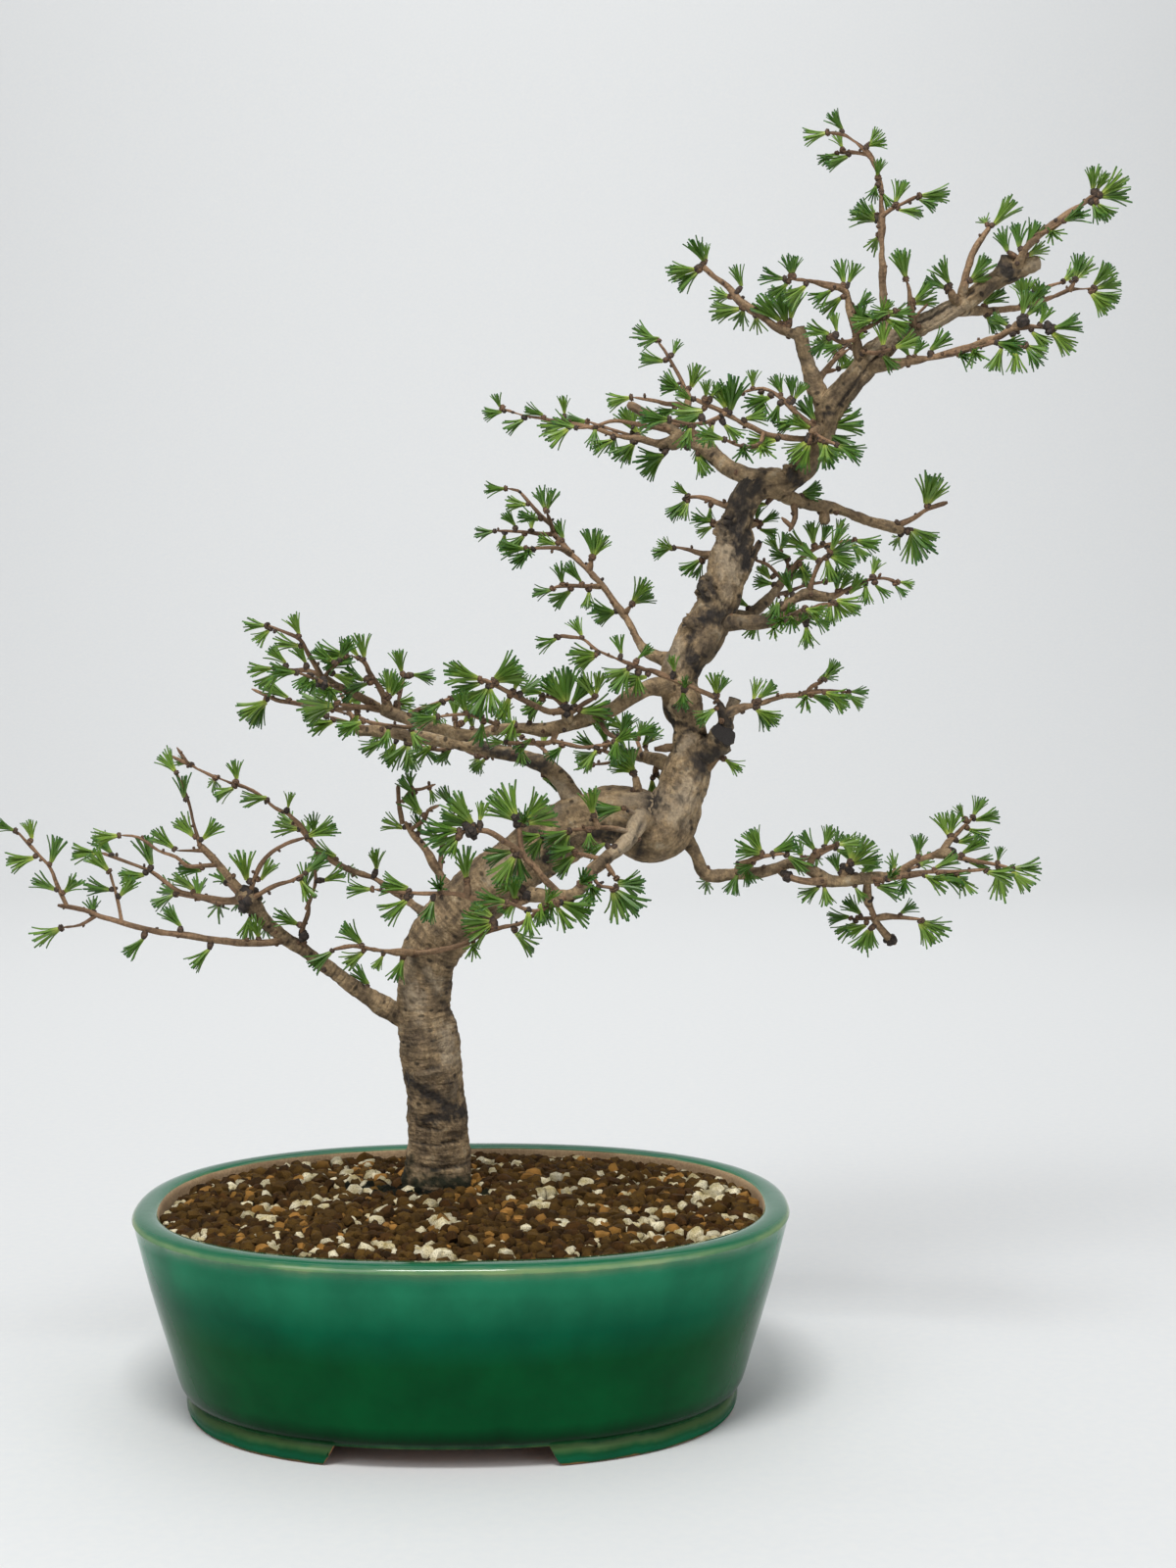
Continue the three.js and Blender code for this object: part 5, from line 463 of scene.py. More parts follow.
        [148, 359.8, -11, 3.1], [157, 361, -14, 3]],
      [[139, 359, -7, 2.4], [145, 363.5, -8, 2.1], [152, 368, -9, 2.4], [158, 370.5, -10, 2.7],
        [166, 369, -11, 2.5], [172, 370.7, -12, 1.5], [178, 374, -13], [185, 377, -14], [192, 377.6, -15],
        [198, 375.8, -16, 0.9]],
      [[158, 371, -10, 1.9], [160, 378, -14, 1.3], [163, 385, -18], [167, 389, -22, 0.9]],
      [[157, 361, -14, 2.2], [163, 365, -22, 1.5], [171, 366, -32, 0.9]],
      [[148, 359.8, -11, 1.6], [147, 359, -26], [150, 361, -40], [156, 364, -52, 0.9]],
    ],
    "tufts": [
      [157, 356, 270, 12], [160, 361, 320, 10], [142, 358, 250, 10, -0.93], [144, 359, 40, 10, -0.7],
      [152, 358, 60, 11, -0.5], [171, 372, 95, 11], [172, 371, 55, 10], [175, 371, 50, 12],
      [187, 379, 70, 10], [188, 375, 320, 10], [184, 375, 270, 10], [198, 376, 350, 8],
      [197, 375, 320, 8], [170, 367, 340, 14], [169, 367, 300, 12], [168, 368, 260, 12],
      [167, 389, 20, 14], [167, 388, 340, 14], [168, 390, 70, 12], [166, 387, 285, 12],
      [162, 386, 150, 12], [156, 364, 340, 13, -0.8], [150, 361, 260, 12, -0.9],
      [147, 359, 200, 12, -0.92], [150, 371, 110, 12, -0.4], [146, 366, 250, 12, -0.4],
    ],
  },
  "branch_mid_right_back": {
    "wood": [
      [[116, 361, 8, 5], [126, 360.5, 16, 3], [132, 362, 20, 2.6], [137, 366, 23, 2.7],
        [141, 370, 25, 2.5], [144.5, 374.5, 27, 2.3], [147, 378, 28, 1.7]],
      [[146.5, 377, 28, 1.4], [143, 380, 24], [139, 384, 20], [133, 386, 16, 0.9]],
      [[146.5, 377, 28, 1.6], [152, 384, 25], [157, 388.5, 22], [163, 392, 19], [172, 394, 16],
        [178, 395, 13, 0.9]],
      [[146.5, 377, 28, 1.5], [148.5, 384, 35], [145, 389, 40, 0.9]],
      [[141, 370, 25, 1.5], [147, 371, 40], [155, 374, 52], [165, 376, 62, 0.9]],
      [[133, 363, 20, 1.5], [136, 360, 36], [143, 358, 50], [151, 361, 62, 0.9]],
    ],
    "tufts": [
      [142, 375, 175, 11], [141, 377, 130, 10], [134, 387, 160, 9], [148, 376, 50, 12],
      [150, 378, 20, 11], [131, 364, 150, 10], [178, 395, 350, 13], [177, 394, 315, 12],
      [170, 396, 60, 11], [166, 392, 320, 13], [160, 393, 100, 12], [157, 391, 150, 13],
      [164, 394, 70, 10], [144, 390, 130, 10], [145, 390, 70, 10], [150, 387, 170, 12],
      [154, 384, 300, 12], [165, 376, 20, 14, 0.5], [156, 375, 90, 12, 0.5], [148, 370, 270, 12, 0.5],
      [151, 361, 350, 14, 0.5], [143, 359, 90, 12, 0.6], [135, 359, 250, 12, 0.6],
    ],
  },
  "branch_bare": {
    "wood": [
      [[140, 420, 4, 5], [148, 414.5, 9, 3.4], [156, 411.5, 13, 2.9], [164, 410.3, 17, 2.8],
        [172, 408.5, 20, 2.6], [180, 405.5, 23, 2.4], [188, 403, 26, 2.4], [196, 401, 29, 2.9],
        [201, 399.3, 31, 2.4]],
      [[165, 410, 17, 2.3], [165, 402, 16, 2.5]],
      [[167, 409, 18, 1.8], [170, 411.5, 18, 1.5]],
      [[199, 402, 30, 1.7], [206, 405, 27], [212, 409, 24], [221, 412, 20, 1.2]],
      [[151, 412, 10, 1.9], [151.5, 405, 7], [149, 399, 4, 1.4]],
      [[150, 401, 5, 1.4], [145.5, 405, 1, 1.3]],
    ],
    "tufts": [
      [211, 411, 85, 17], [212, 411, 55, 15], [204, 399, 300, 18], [205, 399, 270, 17],
      [205, 400, 330, 15], [200, 398, 250, 11, 0.93], [139, 411, 180, 10], [154, 415, 20, 11],
      [153, 414, 345, 10],
    ],
  },
  "branch_upper_left": {
    "wood": [
      [[135, 420, 5, 7], [127, 424.5, 9, 4.3], [120, 428, 13, 3.8], [115, 432.5, 16, 3.7],
        [110.5, 437, 19, 4], [104, 439.3, 22, 3.9], [97.5, 439.5, 24, 3.6], [94, 436.5, 25, 3.2]],
      [[102, 440, 23, 3], [95, 444.5, 25, 2.6], [88.5, 449.5, 27, 2.6], [82, 452.7, 29, 2.3],
        [75.5, 456, 31, 2]],
      [[97, 439.5, 24, 2.8], [89, 438, 27, 2.2], [82, 440, 30, 1.9], [72, 441.5, 33, 1.6], [61, 445, 36],
        [50, 447, 38], [38, 449, 40], [28, 451, 42], [20, 453.5, 44, 0.8]],
      [[96, 444, 25, 1.5], [84, 446, 18], [70, 448.5, 14], [61, 446, 12], [53, 445, 10, 0.9]],
      [[106, 440, 21, 2.2], [103, 448, 16, 1.7], [100, 455, 12, 1.5], [93, 456, 7], [87, 457.5, 3],
        [78, 459, -2, 0.9]],
      [[102, 450, 15, 1.8], [103, 459, 19, 1.9], [101, 464, 22, 1.2], [98, 470, 24], [95, 475, 26],
        [92, 480, 28], [89, 484, 30, 0.9]],
      [[82, 440, 30, 1.4], [80, 441, 46], [70, 444, 60], [58, 448, 70, 0.9]],
      [[110, 437, 19, 1.5], [108, 442, 36], [101, 446, 50], [91, 448, 62, 0.9]],
    ],
    "tufts": [
      [92, 433, 195, 16], [91, 432, 225, 14], [107, 433, 295, 12], [108, 434, 320, 11],
      [20, 453, 190, 11], [18, 454, 110, 8], [29, 449, 205, 12], [38, 450, 160, 11], [50, 447, 185, 16],
      [49, 445, 215, 14], [47, 451, 95, 10], [53, 445, 160, 13], [69, 440, 205, 13], [78, 438, 215, 14],
      [79, 439, 240, 12], [80, 443, 130, 16], [78, 444, 95, 12], [78, 459, 190, 12], [97, 454, 200, 10],
      [89, 484, 150, 13], [90, 484, 190, 12], [96, 478, 70, 9], [92, 475, 170, 13], [104, 463, 70, 13],
      [101, 462, 140, 13], [100, 463, 180, 11], [61, 446, 260, 11], [58, 448, 175, 14, 0.5],
      [70, 444, 260, 13, 0.5], [80, 442, 60, 12, 0.93], [91, 448, 170, 14, 0.5], [101, 447, 90, 13, 0.6],
      [108, 441, 280, 12, 0.6],
    ],
  },
  "branch_upper_front": {
    "wood": [
      [[162, 441, 0, 3], [157, 440.5, -7, 2], [151, 440.7, -11, 1.6], [145, 441.3, -14], [137, 443, -17],
        [130, 446.5, -19], [125, 449, -20], [120, 452, -21], [113, 455, -22], [106, 458.5, -23, 1.3]],
      [[120, 452, -21, 1.4], [112, 448, -32], [104, 447, -41], [95, 449, -49, 0.9]],
      [[137, 443, -17, 1.3], [135, 438, -32], [128, 437, -44], [120, 440, -54, 0.9]],
    ],
    "tufts": [
      [122, 453, 85, 18], [120, 453, 115, 13], [144, 441, 190, 15], [110, 453, 185, 16],
      [109, 452, 210, 13], [111, 459, 90, 9], [113, 459, 55, 9], [114, 448, 250, 12], [119, 447, 320, 12],
      [128, 449, 10, 12], [95, 449, 180, 14, -0.3], [104, 446, 250, 12, -0.5], [120, 440, 170, 14, -0.4],
      [128, 437, 260, 12, -0.92], [135, 438, 300, 12, -0.92], [106, 458, 150, 9],
    ],
  },
  "cluster_upper_front": {
    "wood": [
      [[163, 446, 0, 4], [161, 444, -9, 2.4], [158, 443, -14, 1.6]],
      [[161, 445, -7, 1.9], [157, 448, -11], [152, 452, -13], [148, 456, -13], [144, 459.5, -12],
        [137, 463, -10], [128, 461.5, -7, 0.9]],
      [[160, 443, -11, 1.5], [165, 440, -24], [170, 438, -34, 0.9]],
    ],
    "tufts": [
      [160, 444, 165, 14], [160, 447, 120, 14], [163, 446, 5, 17], [163, 445, 330, 16],
      [164, 447, 35, 14], [162, 440, 310, 15], [163, 440, 290, 15], [158, 438, 245, 14],
      [157, 439, 215, 13], [154, 450, 200, 12], [150, 459, 95, 11], [145, 460, 110, 10],
      [151, 458, 60, 10], [140, 459, 200, 15], [144, 456, 250, 10], [132, 463, 90, 9],
      [128, 461, 190, 10], [136, 461, 270, 12], [170, 438, 330, 14, -0.5], [165, 439, 270, 12, -0.5],
    ],
  },
  "twig_left_low": {
    "wood": [
      [[121, 389, 6, 3], [113, 388.5, 12, 1.7], [108, 389, 16], [103, 390.5, 20], [96, 391.7, 24, 0.9]],
      [[113, 388, 12, 1.4], [110, 386, 17, 1.2]],
    ],
    "tufts": [[97, 391, 150, 9], [95, 391, 200, 10], [109, 386, 215, 12], [110, 386, 250, 9]],
  },
  "twig_left_high": {
    "wood": [[[127, 409, 6, 3], [119, 411, 11, 1.8], [113, 413, 15], [107, 414.5, 19], [102, 414, 22, 0.9]]],
    "tufts": [[103, 415, 150, 9], [102, 413, 225, 13], [103, 412, 250, 10], [113, 410, 270, 8]],
  },
  "spur_left": {
    "wood": [[[125, 400, 6, 4], [117.5, 402, 8, 2.4], [115, 403, 8, 1.6]]],
    "tufts": [[115, 403, 170, 11], [115, 402, 205, 9]],
  },
  "spur_right": {
    "wood": [[[124, 400, 6, 3], [132, 402, 12, 2], [135, 402, 14, 1.4]]],
    "tufts": [[135, 402, 30, 10], [135, 400, 345, 10], [134, 404, 80, 9, 0.4]],
  },
  "twig_crown_left": {
    "wood": [
      [[153, 487, 4, 3], [147, 488.5, 7, 2.3], [143, 490, 9, 2.1], [135, 496, 12], [128, 501, 15],
        [122, 507, 18], [116, 512, 20], [109, 517.5, 23, 1.5]],
      [[135, 496, 12, 1.4], [133, 496, 26], [128, 499, 38], [122, 504, 47, 0.9]],
    ],
    "tufts": [
      [147, 493, 110, 19], [145, 493, 140, 18], [149, 494, 85, 15], [127, 499, 185, 16],
      [127, 508, 110, 12], [110, 519, 125, 14], [111, 520, 95, 9], [106, 516, 185, 15],
      [107, 515, 215, 14], [122, 504, 160, 13, 0.85], [128, 499, 260, 13, 0.9], [133, 496, 300, 12, 0.92],
    ],
  },
  "twig_crown_mid": {
    "wood": [
      [[183, 471, -4, 4], [180, 478, -8, 2.4], [178.5, 488, -10, 1.9], [176, 498, -11],
        [173.5, 507, -12, 1.9], [165, 509.5, -15, 1.5], [156, 511.3, -18], [147, 512, -21, 0.9]],
      [[178.5, 488, -10, 1.5], [187, 492, -17], [192, 496, -22, 0.9]],
      [[180, 480, -8, 1.6], [188, 479, -18], [195, 481, -26, 0.9]],
      [[178.5, 485, -10, 1.5], [172, 484, -20], [167, 486, -28, 0.9]],
    ],
    "tufts": [
      [149, 514, 110, 10], [150, 514, 80, 9], [146, 512, 175, 12], [148, 510, 215, 12],
      [156, 509, 220, 14], [168, 508, 215, 12], [173, 510, 100, 12], [175, 510, 65, 11],
      [172, 504, 220, 13], [179, 499, 45, 10], [179, 498, 330, 10], [192, 496, 10, 13],
      [191, 495, 330, 13], [189, 494, 60, 10], [187, 494, 190, 12], [195, 481, 20, 13],
      [190, 479, 320, 11], [191, 482, 90, 12], [167, 487, 170, 13], [167, 486, 220, 11],
      [170, 488, 100, 10], [174, 484, 200, 11], [182, 490, 100, 11],
    ],
  },
  "twig_crown_cross": {
    "wood": [
      [[160, 466, 1, 3], [164, 470, 7, 1.9], [169, 476, 12, 1.5], [176, 481, 17, 1]],
      [[164, 470.5, 7, 1.5], [170, 471.5, 10, 1.1]],
      [[169, 476, 12, 1.3], [172, 480, 28], [178, 486, 40, 0.9]],
    ],
    "tufts": [
      [168, 480, 150, 12], [168, 480, 110, 10], [171, 472, 20, 10], [177, 482, 60, 12],
      [178, 486, 60, 14, 0.4], [172, 481, 300, 12, 0.6],
    ],
  },
  "twig_crown_tall": {
    "wood": [
      [[195, 484, -5, 3], [192, 493, -1, 2], [191, 505, 1, 1.9], [190.3, 515, 2], [190, 525, 3],
        [190, 535, 4], [189.5, 545, 5], [189, 553, 6], [187.5, 560, 7], [184, 567, 8], [178, 572.5, 9],
        [172, 576, 10], [166, 577, 11, 1]],
      [[190, 540, 4, 1.5], [194, 543, 1], [200, 546, -3], [206, 549, -7, 0.9]],
      [[184, 567, 8, 1.5], [178, 568, 14], [170, 568, 20, 0.9]],
      [[190, 528, 3, 1.3], [189, 532, 16], [188, 540, 26, 0.9]],
    ],
    "tufts": [
      [187, 538, 170, 15], [187, 539, 145, 13], [188, 554, 250, 10, -0.6], [188, 556, 80, 9, -0.5],
      [189, 552, 300, 10, -0.3], [183, 571, 15, 10], [184, 572, 60, 9], [170, 568, 205, 10],
      [172, 570, 110, 9], [175, 567, 200, 13], [172, 578, 135, 11], [166, 577, 190, 12],
      [196, 545, 70, 12], [197, 543, 350, 13], [206, 549, 5, 15], [206, 548, 335, 10],
      [188, 540, 130, 13, 0.9], [189, 532, 250, 12, 0.93],
    ],
  },
  "twig_crown_up": {
    "wood": [
      [[206, 488, -7, 3], [204, 494, -12, 2], [203, 500, -15, 1.7], [202.5, 507, -17], [201, 511, -18, 1.2]],
      [[204, 494, -12, 1.2], [211, 501, -16, 0.8]],
      [[203, 498, -14, 1.4], [197, 498, -22, 0.9]],
    ],
    "tufts": [
      [201, 512, 115, 15], [201, 513, 95, 14], [204, 502, 45, 13], [205, 501, 15, 12],
      [197, 498, 190, 12],
    ],
  },
  "twig_crown_spurs": {
    "wood": [
      [[226, 500, -9, 3], [222.5, 504.5, -14, 2.2], [221, 508, -16, 1.8]],
      [[226, 501, -9, 2.8], [227.5, 508, -13, 2.3], [229, 511.5, -15, 1.4]],
      [[226, 502, -9, 2.4], [228, 513, -7, 1.9], [231, 523, -5], [235, 530, -3], [238.5, 535.5, -1, 1.7]],
    ],
    "tufts": [
      [221, 509, 125, 13], [220, 508, 155, 11], [229, 511, 50, 14], [230, 511, 20, 10],
      [240, 536, 50, 17], [238, 536, 90, 9, 0.93],
    ],
  },
  "twig_crown_end": {
    "wood": [
      [[250, 515, -12, 3.4], [252.5, 521, -17, 2.4], [255, 526, -20, 2], [262, 532.5, -22],
        [270, 538.5, -23], [278, 544, -24], [286, 549.5, -25, 1.6]],
      [[262, 532.5, -22, 1.3], [266, 534, -36], [272, 538, -46, 0.9]],
    ],
    "tufts": [
      [285, 552, 90, 12], [287, 552, 60, 10], [289, 550, 40, 15], [289, 549, 10, 15], [287, 546, 320, 11],
      [285, 546, 290, 10], [253, 525, 90, 13], [254, 524, 60, 14], [254, 523, 25, 12],
      [272, 538, 20, 13, -0.85], [266, 534, 270, 12, -0.93], [247, 524, 105, 13],
    ],
  },
  "branch_crown_right": {
    "wood": [
      [[226, 499.5, -9, 4], [232, 498, -4, 2.6], [238, 498, 1, 2], [245, 498.5, 5], [252, 499.5, 8],
        [260, 502, 11], [268, 504.5, 14], [276, 507.5, 17], [286, 508, 20, 1]],
      [[275, 507, 17, 1.7], [277.5, 511.5, 15, 1.2]],
      [[252, 499.5, 8, 1.4], [256, 503, 24], [263, 508, 36], [272, 511, 46, 0.9]],
    ],
    "tufts": [
      [236, 501, 30, 13], [237, 501, 60, 10], [237, 496, 335, 12], [238, 495, 310, 9], [254, 500, 85, 13],
      [255, 500, 55, 14], [256, 501, 110, 12], [263, 503, 120, 9], [278, 512, 50, 14], [278, 513, 75, 12],
      [286, 509, 50, 14], [287, 508, 20, 14], [286, 507, 340, 14], [285, 506, 310, 15],
      [272, 511, 40, 14, 0.5], [263, 507, 270, 12, 0.5], [256, 503, 100, 12, 0.6],
    ],
  },
  "branch_crown_low": {
    "wood": [
      [[184, 473, -4.5, 4.5], [191, 474, -9, 3], [197, 474, -12, 2.6], [203, 475.3, -15, 2],
        [211, 476.6, -18, 1.7], [220, 478.5, -21], [230, 481.5, -24], [238, 484.7, -27],
        [244, 486.5, -29], [249, 489.5, -31, 1.9], [258, 491, -33, 1.3], [267, 490, -35, 0.9]],
      [[238, 484.3, -27, 1.5], [245, 483.5, -33], [255, 483, -39, 0.9]],
      [[250, 490, -31, 2], [254, 494, -33, 2]],
      [[220, 478.5, -21, 1.3], [225, 479, -36], [232, 481, -50], [242, 484, -60, 0.9]],
    ],
    "tufts": [
      [203, 477, 130, 9], [205, 478, 60, 9, -0.4], [212, 480, 40, 13], [245, 482, 250, 13],
      [251, 481, 275, 12], [256, 482, 300, 12], [255, 483, 345, 11], [254, 496, 80, 12],
      [256, 496, 40, 12], [262, 492, 60, 10], [267, 490, 10, 14], [267, 489, 325, 15],
      [258, 489, 320, 12], [250, 487, 260, 10], [242, 484, 340, 14, -0.7], [232, 481, 260, 13, -0.9],
      [225, 479, 300, 12, -0.93], [248, 491, 150, 10],
    ],
  },
}


# ---- settings that a user would change
def linear(code):
    """An sRGB hex colour as linear red, green and blue."""
    parts = [int(code[i:i + 2], 16) / 255 for i in (1, 3, 5)]
    return tuple(c / 12.92 if c <= 0.04045 else ((c + 0.055) / 1.055) ** 2.4 for c in parts)


def colour(name, description, code):
    """A colour that a user can change, from its sRGB hex value."""
    return bpy.props.FloatVectorProperty(
        name=name, description=description, subtype="COLOR", size=3, min=0, max=1, default=linear(code))


def size(name, description, millimetres):
    """A length that a user can change, held in metres."""
    return bpy.props.FloatProperty(
        name=name, description=description, unit="LENGTH", min=0, default=millimetres * MM, precision=5)


class PotSettings(bpy.types.PropertyGroup):
    """The pot's glaze, clay and rim"""
    glaze_low: colour("Glaze, low", "Where the glaze is thick above the feet", "#004a23")
    glaze_middle: colour("Glaze, middle", "The green of the wall", "#005638")
    # A blue-green of the glaze, lightened as a painted reflection of the sky
    glaze_high_painted_reflection: colour("Glaze, high", "The blue-green under the rim", "#207553")
    glaze_rim: colour("Glaze, rim", "The glaze on top of the rim", "#04603f")
    glaze_break: colour("Glaze, break", "Where the glaze thins over the rim's edge", "#8b9b66")
    clay: colour("Clay", "The bare stoneware inside the pot", "#b89c78")
    fired_foot: colour("Fired foot", "The bare clay under the feet, flashed by the kiln", "#9a6a44")
    rim_round: size("Rim rounding", "How far the rim is rounded over from its outer edge", 7.5)


class SoilSettings(bpy.types.PropertyGroup):
    """The granules, their number and their colours"""
    grains: bpy.props.IntProperty(
        name="Granules", description="How many granules lie on the soil", default=3400, min=0)
    grain: size("Granule", "Mean width of a granule", 5.2)
    akadama: colour("Akadama", "Fired brown clay granules", "#5f451a")
    pumice: colour("Pumice", "Cream pumice granules", "#e9dfc0")
    lava: colour("Lava", "Red-brown lava granules", "#4f3312")
    pebble: colour("Pebble", "Ochre pebbles", "#a5763a")
    bed: colour("Bed", "Moist soil between the granules", "#33260f")


class TreeSettings(bpy.types.PropertyGroup):
    """The tree's bark, short shoots and needles"""
    bark: colour("Bark", "Old bark on the trunk", "#a98f6b")
    fissure: colour("Fissure", "The dark hollows of the bark", "#56452f")
    young: colour("Young wood", "Bark of this year's and last year's twigs", "#98775a")
    scar: colour("Scar", "Old cuts and dark stains", "#2a2624")
    moss: colour("Moss", "Moss and algae at the foot of the trunk", "#1c1f0c")
    scale: colour("Bud scale", "Scales of the short shoots", "#3f2c1f")
    needle_base: colour("Needle base", "Yellow-green at the foot of a needle", "#a0b250")
    needle: colour("Needle", "The green of a needle", "#60852f")
    needle_tip: colour("Needle tip", "The darker tip of a needle", "#37662b")
    needles: bpy.props.IntProperty(
        name="Needles", description="Needles in a tuft", default=15, min=3, max=60)
    needle_width: size("Needle width", "Width of a needle", 1.5)
    relief: size("Bark relief", "Depth of the trunk's bark", 0.45)


class StageSettings(bpy.types.PropertyGroup):
    """The paper, the camera and the lights"""
    floor: colour("Floor", "The seamless paper that the pot stands on", "#dddfe0")
    lens: bpy.props.FloatProperty(
        name="Lens", description="Focal length of the camera", unit="CAMERA", default=51.75, min=1)
    light: bpy.props.FloatProperty(
        name="Light", description="Strength of the studio lights", default=1.0, min=0)


# ---- materials: their coordinates are in metres, so a scale of 100 gives a pattern of about 10 mm
# The inputs of a mix of two colours, and its two kinds
SHARE, FIRST, SECOND = 0, 6, 7
MIXED = {"data_type": "RGBA"}
MULTIPLIED = {"data_type": "RGBA", "blend_type": "MULTIPLY"}
# The glaze in metres: how far its bands run up and down, the height that its bands are shares of, and where
# the rim begins
GLAZE_RUN = 0.004
GLAZE_SPAN = 0.1
RIM_BAND = 0.088


def fill(tree, node, inputs):
    """Gives a node its inputs: numbers and colours as they are, sockets and other nodes' results as links."""
    for name, value in inputs.items():
        socket = node.inputs[name]
        if isinstance(value, bpy.types.Node):
            value = next(output for output in value.outputs if output.enabled)
        if isinstance(value, bpy.types.NodeSocket):
            tree.links.new(value, socket)
        else:
            socket.default_value = (*value, 1) if socket.type == "RGBA" else value


def add(tree, kind, inputs=None, stops=None, **settings):
    """Adds a shader node with its settings, its inputs and its colour stops."""
    node = tree.nodes.new("ShaderNode" + kind)
    for name, value in settings.items():
        setattr(node, name, value)
    fill(tree, node, inputs or {})
    for i, (place, tone) in enumerate(stops or []):
        elements = node.color_ramp.elements
        stop = elements[i] if i < 2 else elements.new(place)
        stop.position = place
        stop.color = (*tone, 1)
    return node


def new_material(name):
    """An empty material with its output, its shader and its Object coordinates."""
    material = bpy.data.materials.new(name)
    material.use_nodes = True
    tree = material.node_tree
    tree.nodes.clear()
    shader = add(tree, "BsdfPrincipled")
    add(tree, "OutputMaterial", {"Surface": shader})
    place = add(tree, "TexCoord").outputs["Object"]
    return material, tree, shader, place


def greys(*stops):
    """Stops of a place and an even grey."""
    return [(place, (value, value, value)) for place, value in stops]


def glaze_material(pot):
    """Copper-green glaze dipped and run on stoneware: pooled dark low down, with painted shade where the wall
    meets the feet and a painted reflection of the sky lightening it under the rim; thin and pale where it
    breaks over the rim's edge, with a glassy coat that shows soft vertical runs."""
    material, tree, shader, place = new_material("Green ash glaze on stoneware, dipped and fired")
    rise = add(tree, "SeparateXYZ", {0: place}).outputs["Z"]
    runs_at = add(tree, "Mapping", {"Vector": place, "Scale": (85, 85, 9)})
    runs = add(tree, "TexNoise", {"Vector": runs_at, "Scale": 1.0, "Detail": 4.0})
    pools = add(tree, "TexNoise", {"Vector": place, "Scale": 38.0, "Detail": 5.0})
    shift = add(tree, "Math", {0: runs, 1: -0.5}, operation="ADD")
    height = add(tree, "Math", {0: shift, 1: GLAZE_RUN, 2: rise}, operation="MULTIPLY_ADD")
    share = add(tree, "MapRange", {"Value": height, "From Min": 0.0, "From Max": GLAZE_SPAN})
    wall = add(tree, "ValToRGB", {0: share}, stops=[
        (0.0, pot.fired_foot), (0.004, pot.fired_foot), (0.011, linear("#1d5535")),
        (0.025, linear("#0f5f3f")), (0.05, linear("#0f4c2b")), (0.074, linear("#445f38")),
        # Painted shade: near black at about 12 mm up, where the wall meets the feet
        (0.085, linear("#445f38")), (0.096, linear("#1c4a2a")), (0.118, linear("#01260f")),
        # Towards the rim the glaze turns blue-green, and is lightened as a painted reflection of the sky
        (0.2, pot.glaze_low), (0.47, pot.glaze_low), (0.62, pot.glaze_middle), (0.8, pot.glaze_high_painted_reflection)])
    mottle = add(tree, "MapRange", {
        "Value": pools, "From Min": 0.3, "From Max": 0.7, "To Min": 0.82, "To Max": 1.18})
    body = add(tree, "Mix", {SHARE: 1.0, FIRST: wall, SECOND: mottle}, **MULTIPLIED)
    edge = add(tree, "ValToRGB", {0: share}, stops=greys(
        (0.0, 0), (0.86, 0), (0.885, 0.2), (0.9, 0.75), (0.912, 0.75), (0.925, 0.05)))
    uneven = add(tree, "MapRange", {
        "Value": pools, "From Min": 0.35, "From Max": 0.62, "To Min": 0.4, "To Max": 1.0})
    thin = add(tree, "Math", {0: edge, 1: uneven}, operation="MULTIPLY")
    broken = add(tree, "Mix", {SHARE: thin, FIRST: body, SECOND: pot.glaze_break}, **MIXED)
    slope = add(tree, "SeparateXYZ", {0: add(tree, "NewGeometry").outputs["Normal"]})
    upward = add(tree, "MapRange", {
        "Value": slope.outputs["Z"], "From Min": 0.6, "From Max": 0.95})
    high = add(tree, "Math", {0: rise, 1: RIM_BAND}, operation="GREATER_THAN")
    on_top = add(tree, "Math", {0: upward, 1: high}, operation="MULTIPLY")
    ripple = add(tree, "TexNoise", {"Vector": place, "Scale": 120.0, "Detail": 3.0})
    fill(tree, shader, {
        "Base Color": add(tree, "Mix", {
            SHARE: on_top, FIRST: broken, SECOND: pot.glaze_rim}, **MIXED),
        "Roughness": add(tree, "ValToRGB", {0: share}, stops=greys(
            (0.0, 0.8), (0.03, 0.7), (0.04, 0.18), (1.0, 0.1))),
        "Normal": add(tree, "Bump", {"Height": ripple, "Strength": 0.12, "Distance": 0.0008}),
        "Specular IOR Level": add(tree, "MapRange", {
            "Value": share, "From Min": 0.84, "From Max": 0.92, "To Min": 0.07, "To Max": 0.5}),
    })
    return material


def clay_material(pot):
    """Bare stoneware, thrown and left unglazed: dry and gritty, flashed orange-brown at the feet."""
    material, tree, shader, place = new_material("Bare stoneware clay, fired")
    rise = add(tree, "SeparateXYZ", {0: place}).outputs["Z"]
    low = add(tree, "MapRange", {"Value": rise, "From Min": 0.012, "From Max": 0.022})
    grit = add(tree, "TexNoise", {"Vector": place, "Scale": 900.0, "Detail": 2.0})
    clouds = add(tree, "TexNoise", {"Vector": place, "Scale": 45.0, "Detail": 4.0})
    dark = add(tree, "Mix", {
        SHARE: low, FIRST: linear("#6f431f"), SECOND: linear("#94795a")}, **MIXED)
    light = add(tree, "Mix", {SHARE: low, FIRST: pot.fired_foot, SECOND: pot.clay}, **MIXED)
    tone = add(tree, "Math", {0: grit, 1: clouds}, operation="MULTIPLY")
    share = add(tree, "MapRange", {"Value": tone, "From Min": 0.12, "From Max": 0.36})
    fill(tree, shader, {
        "Base Color": add(tree, "Mix", {SHARE: share, FIRST: dark, SECOND: light}, **MIXED),
        "Normal": add(tree, "Bump", {"Height": grit, "Strength": 0.5, "Distance": 0.0003}),
        "Roughness": 0.88,
    })
    return material


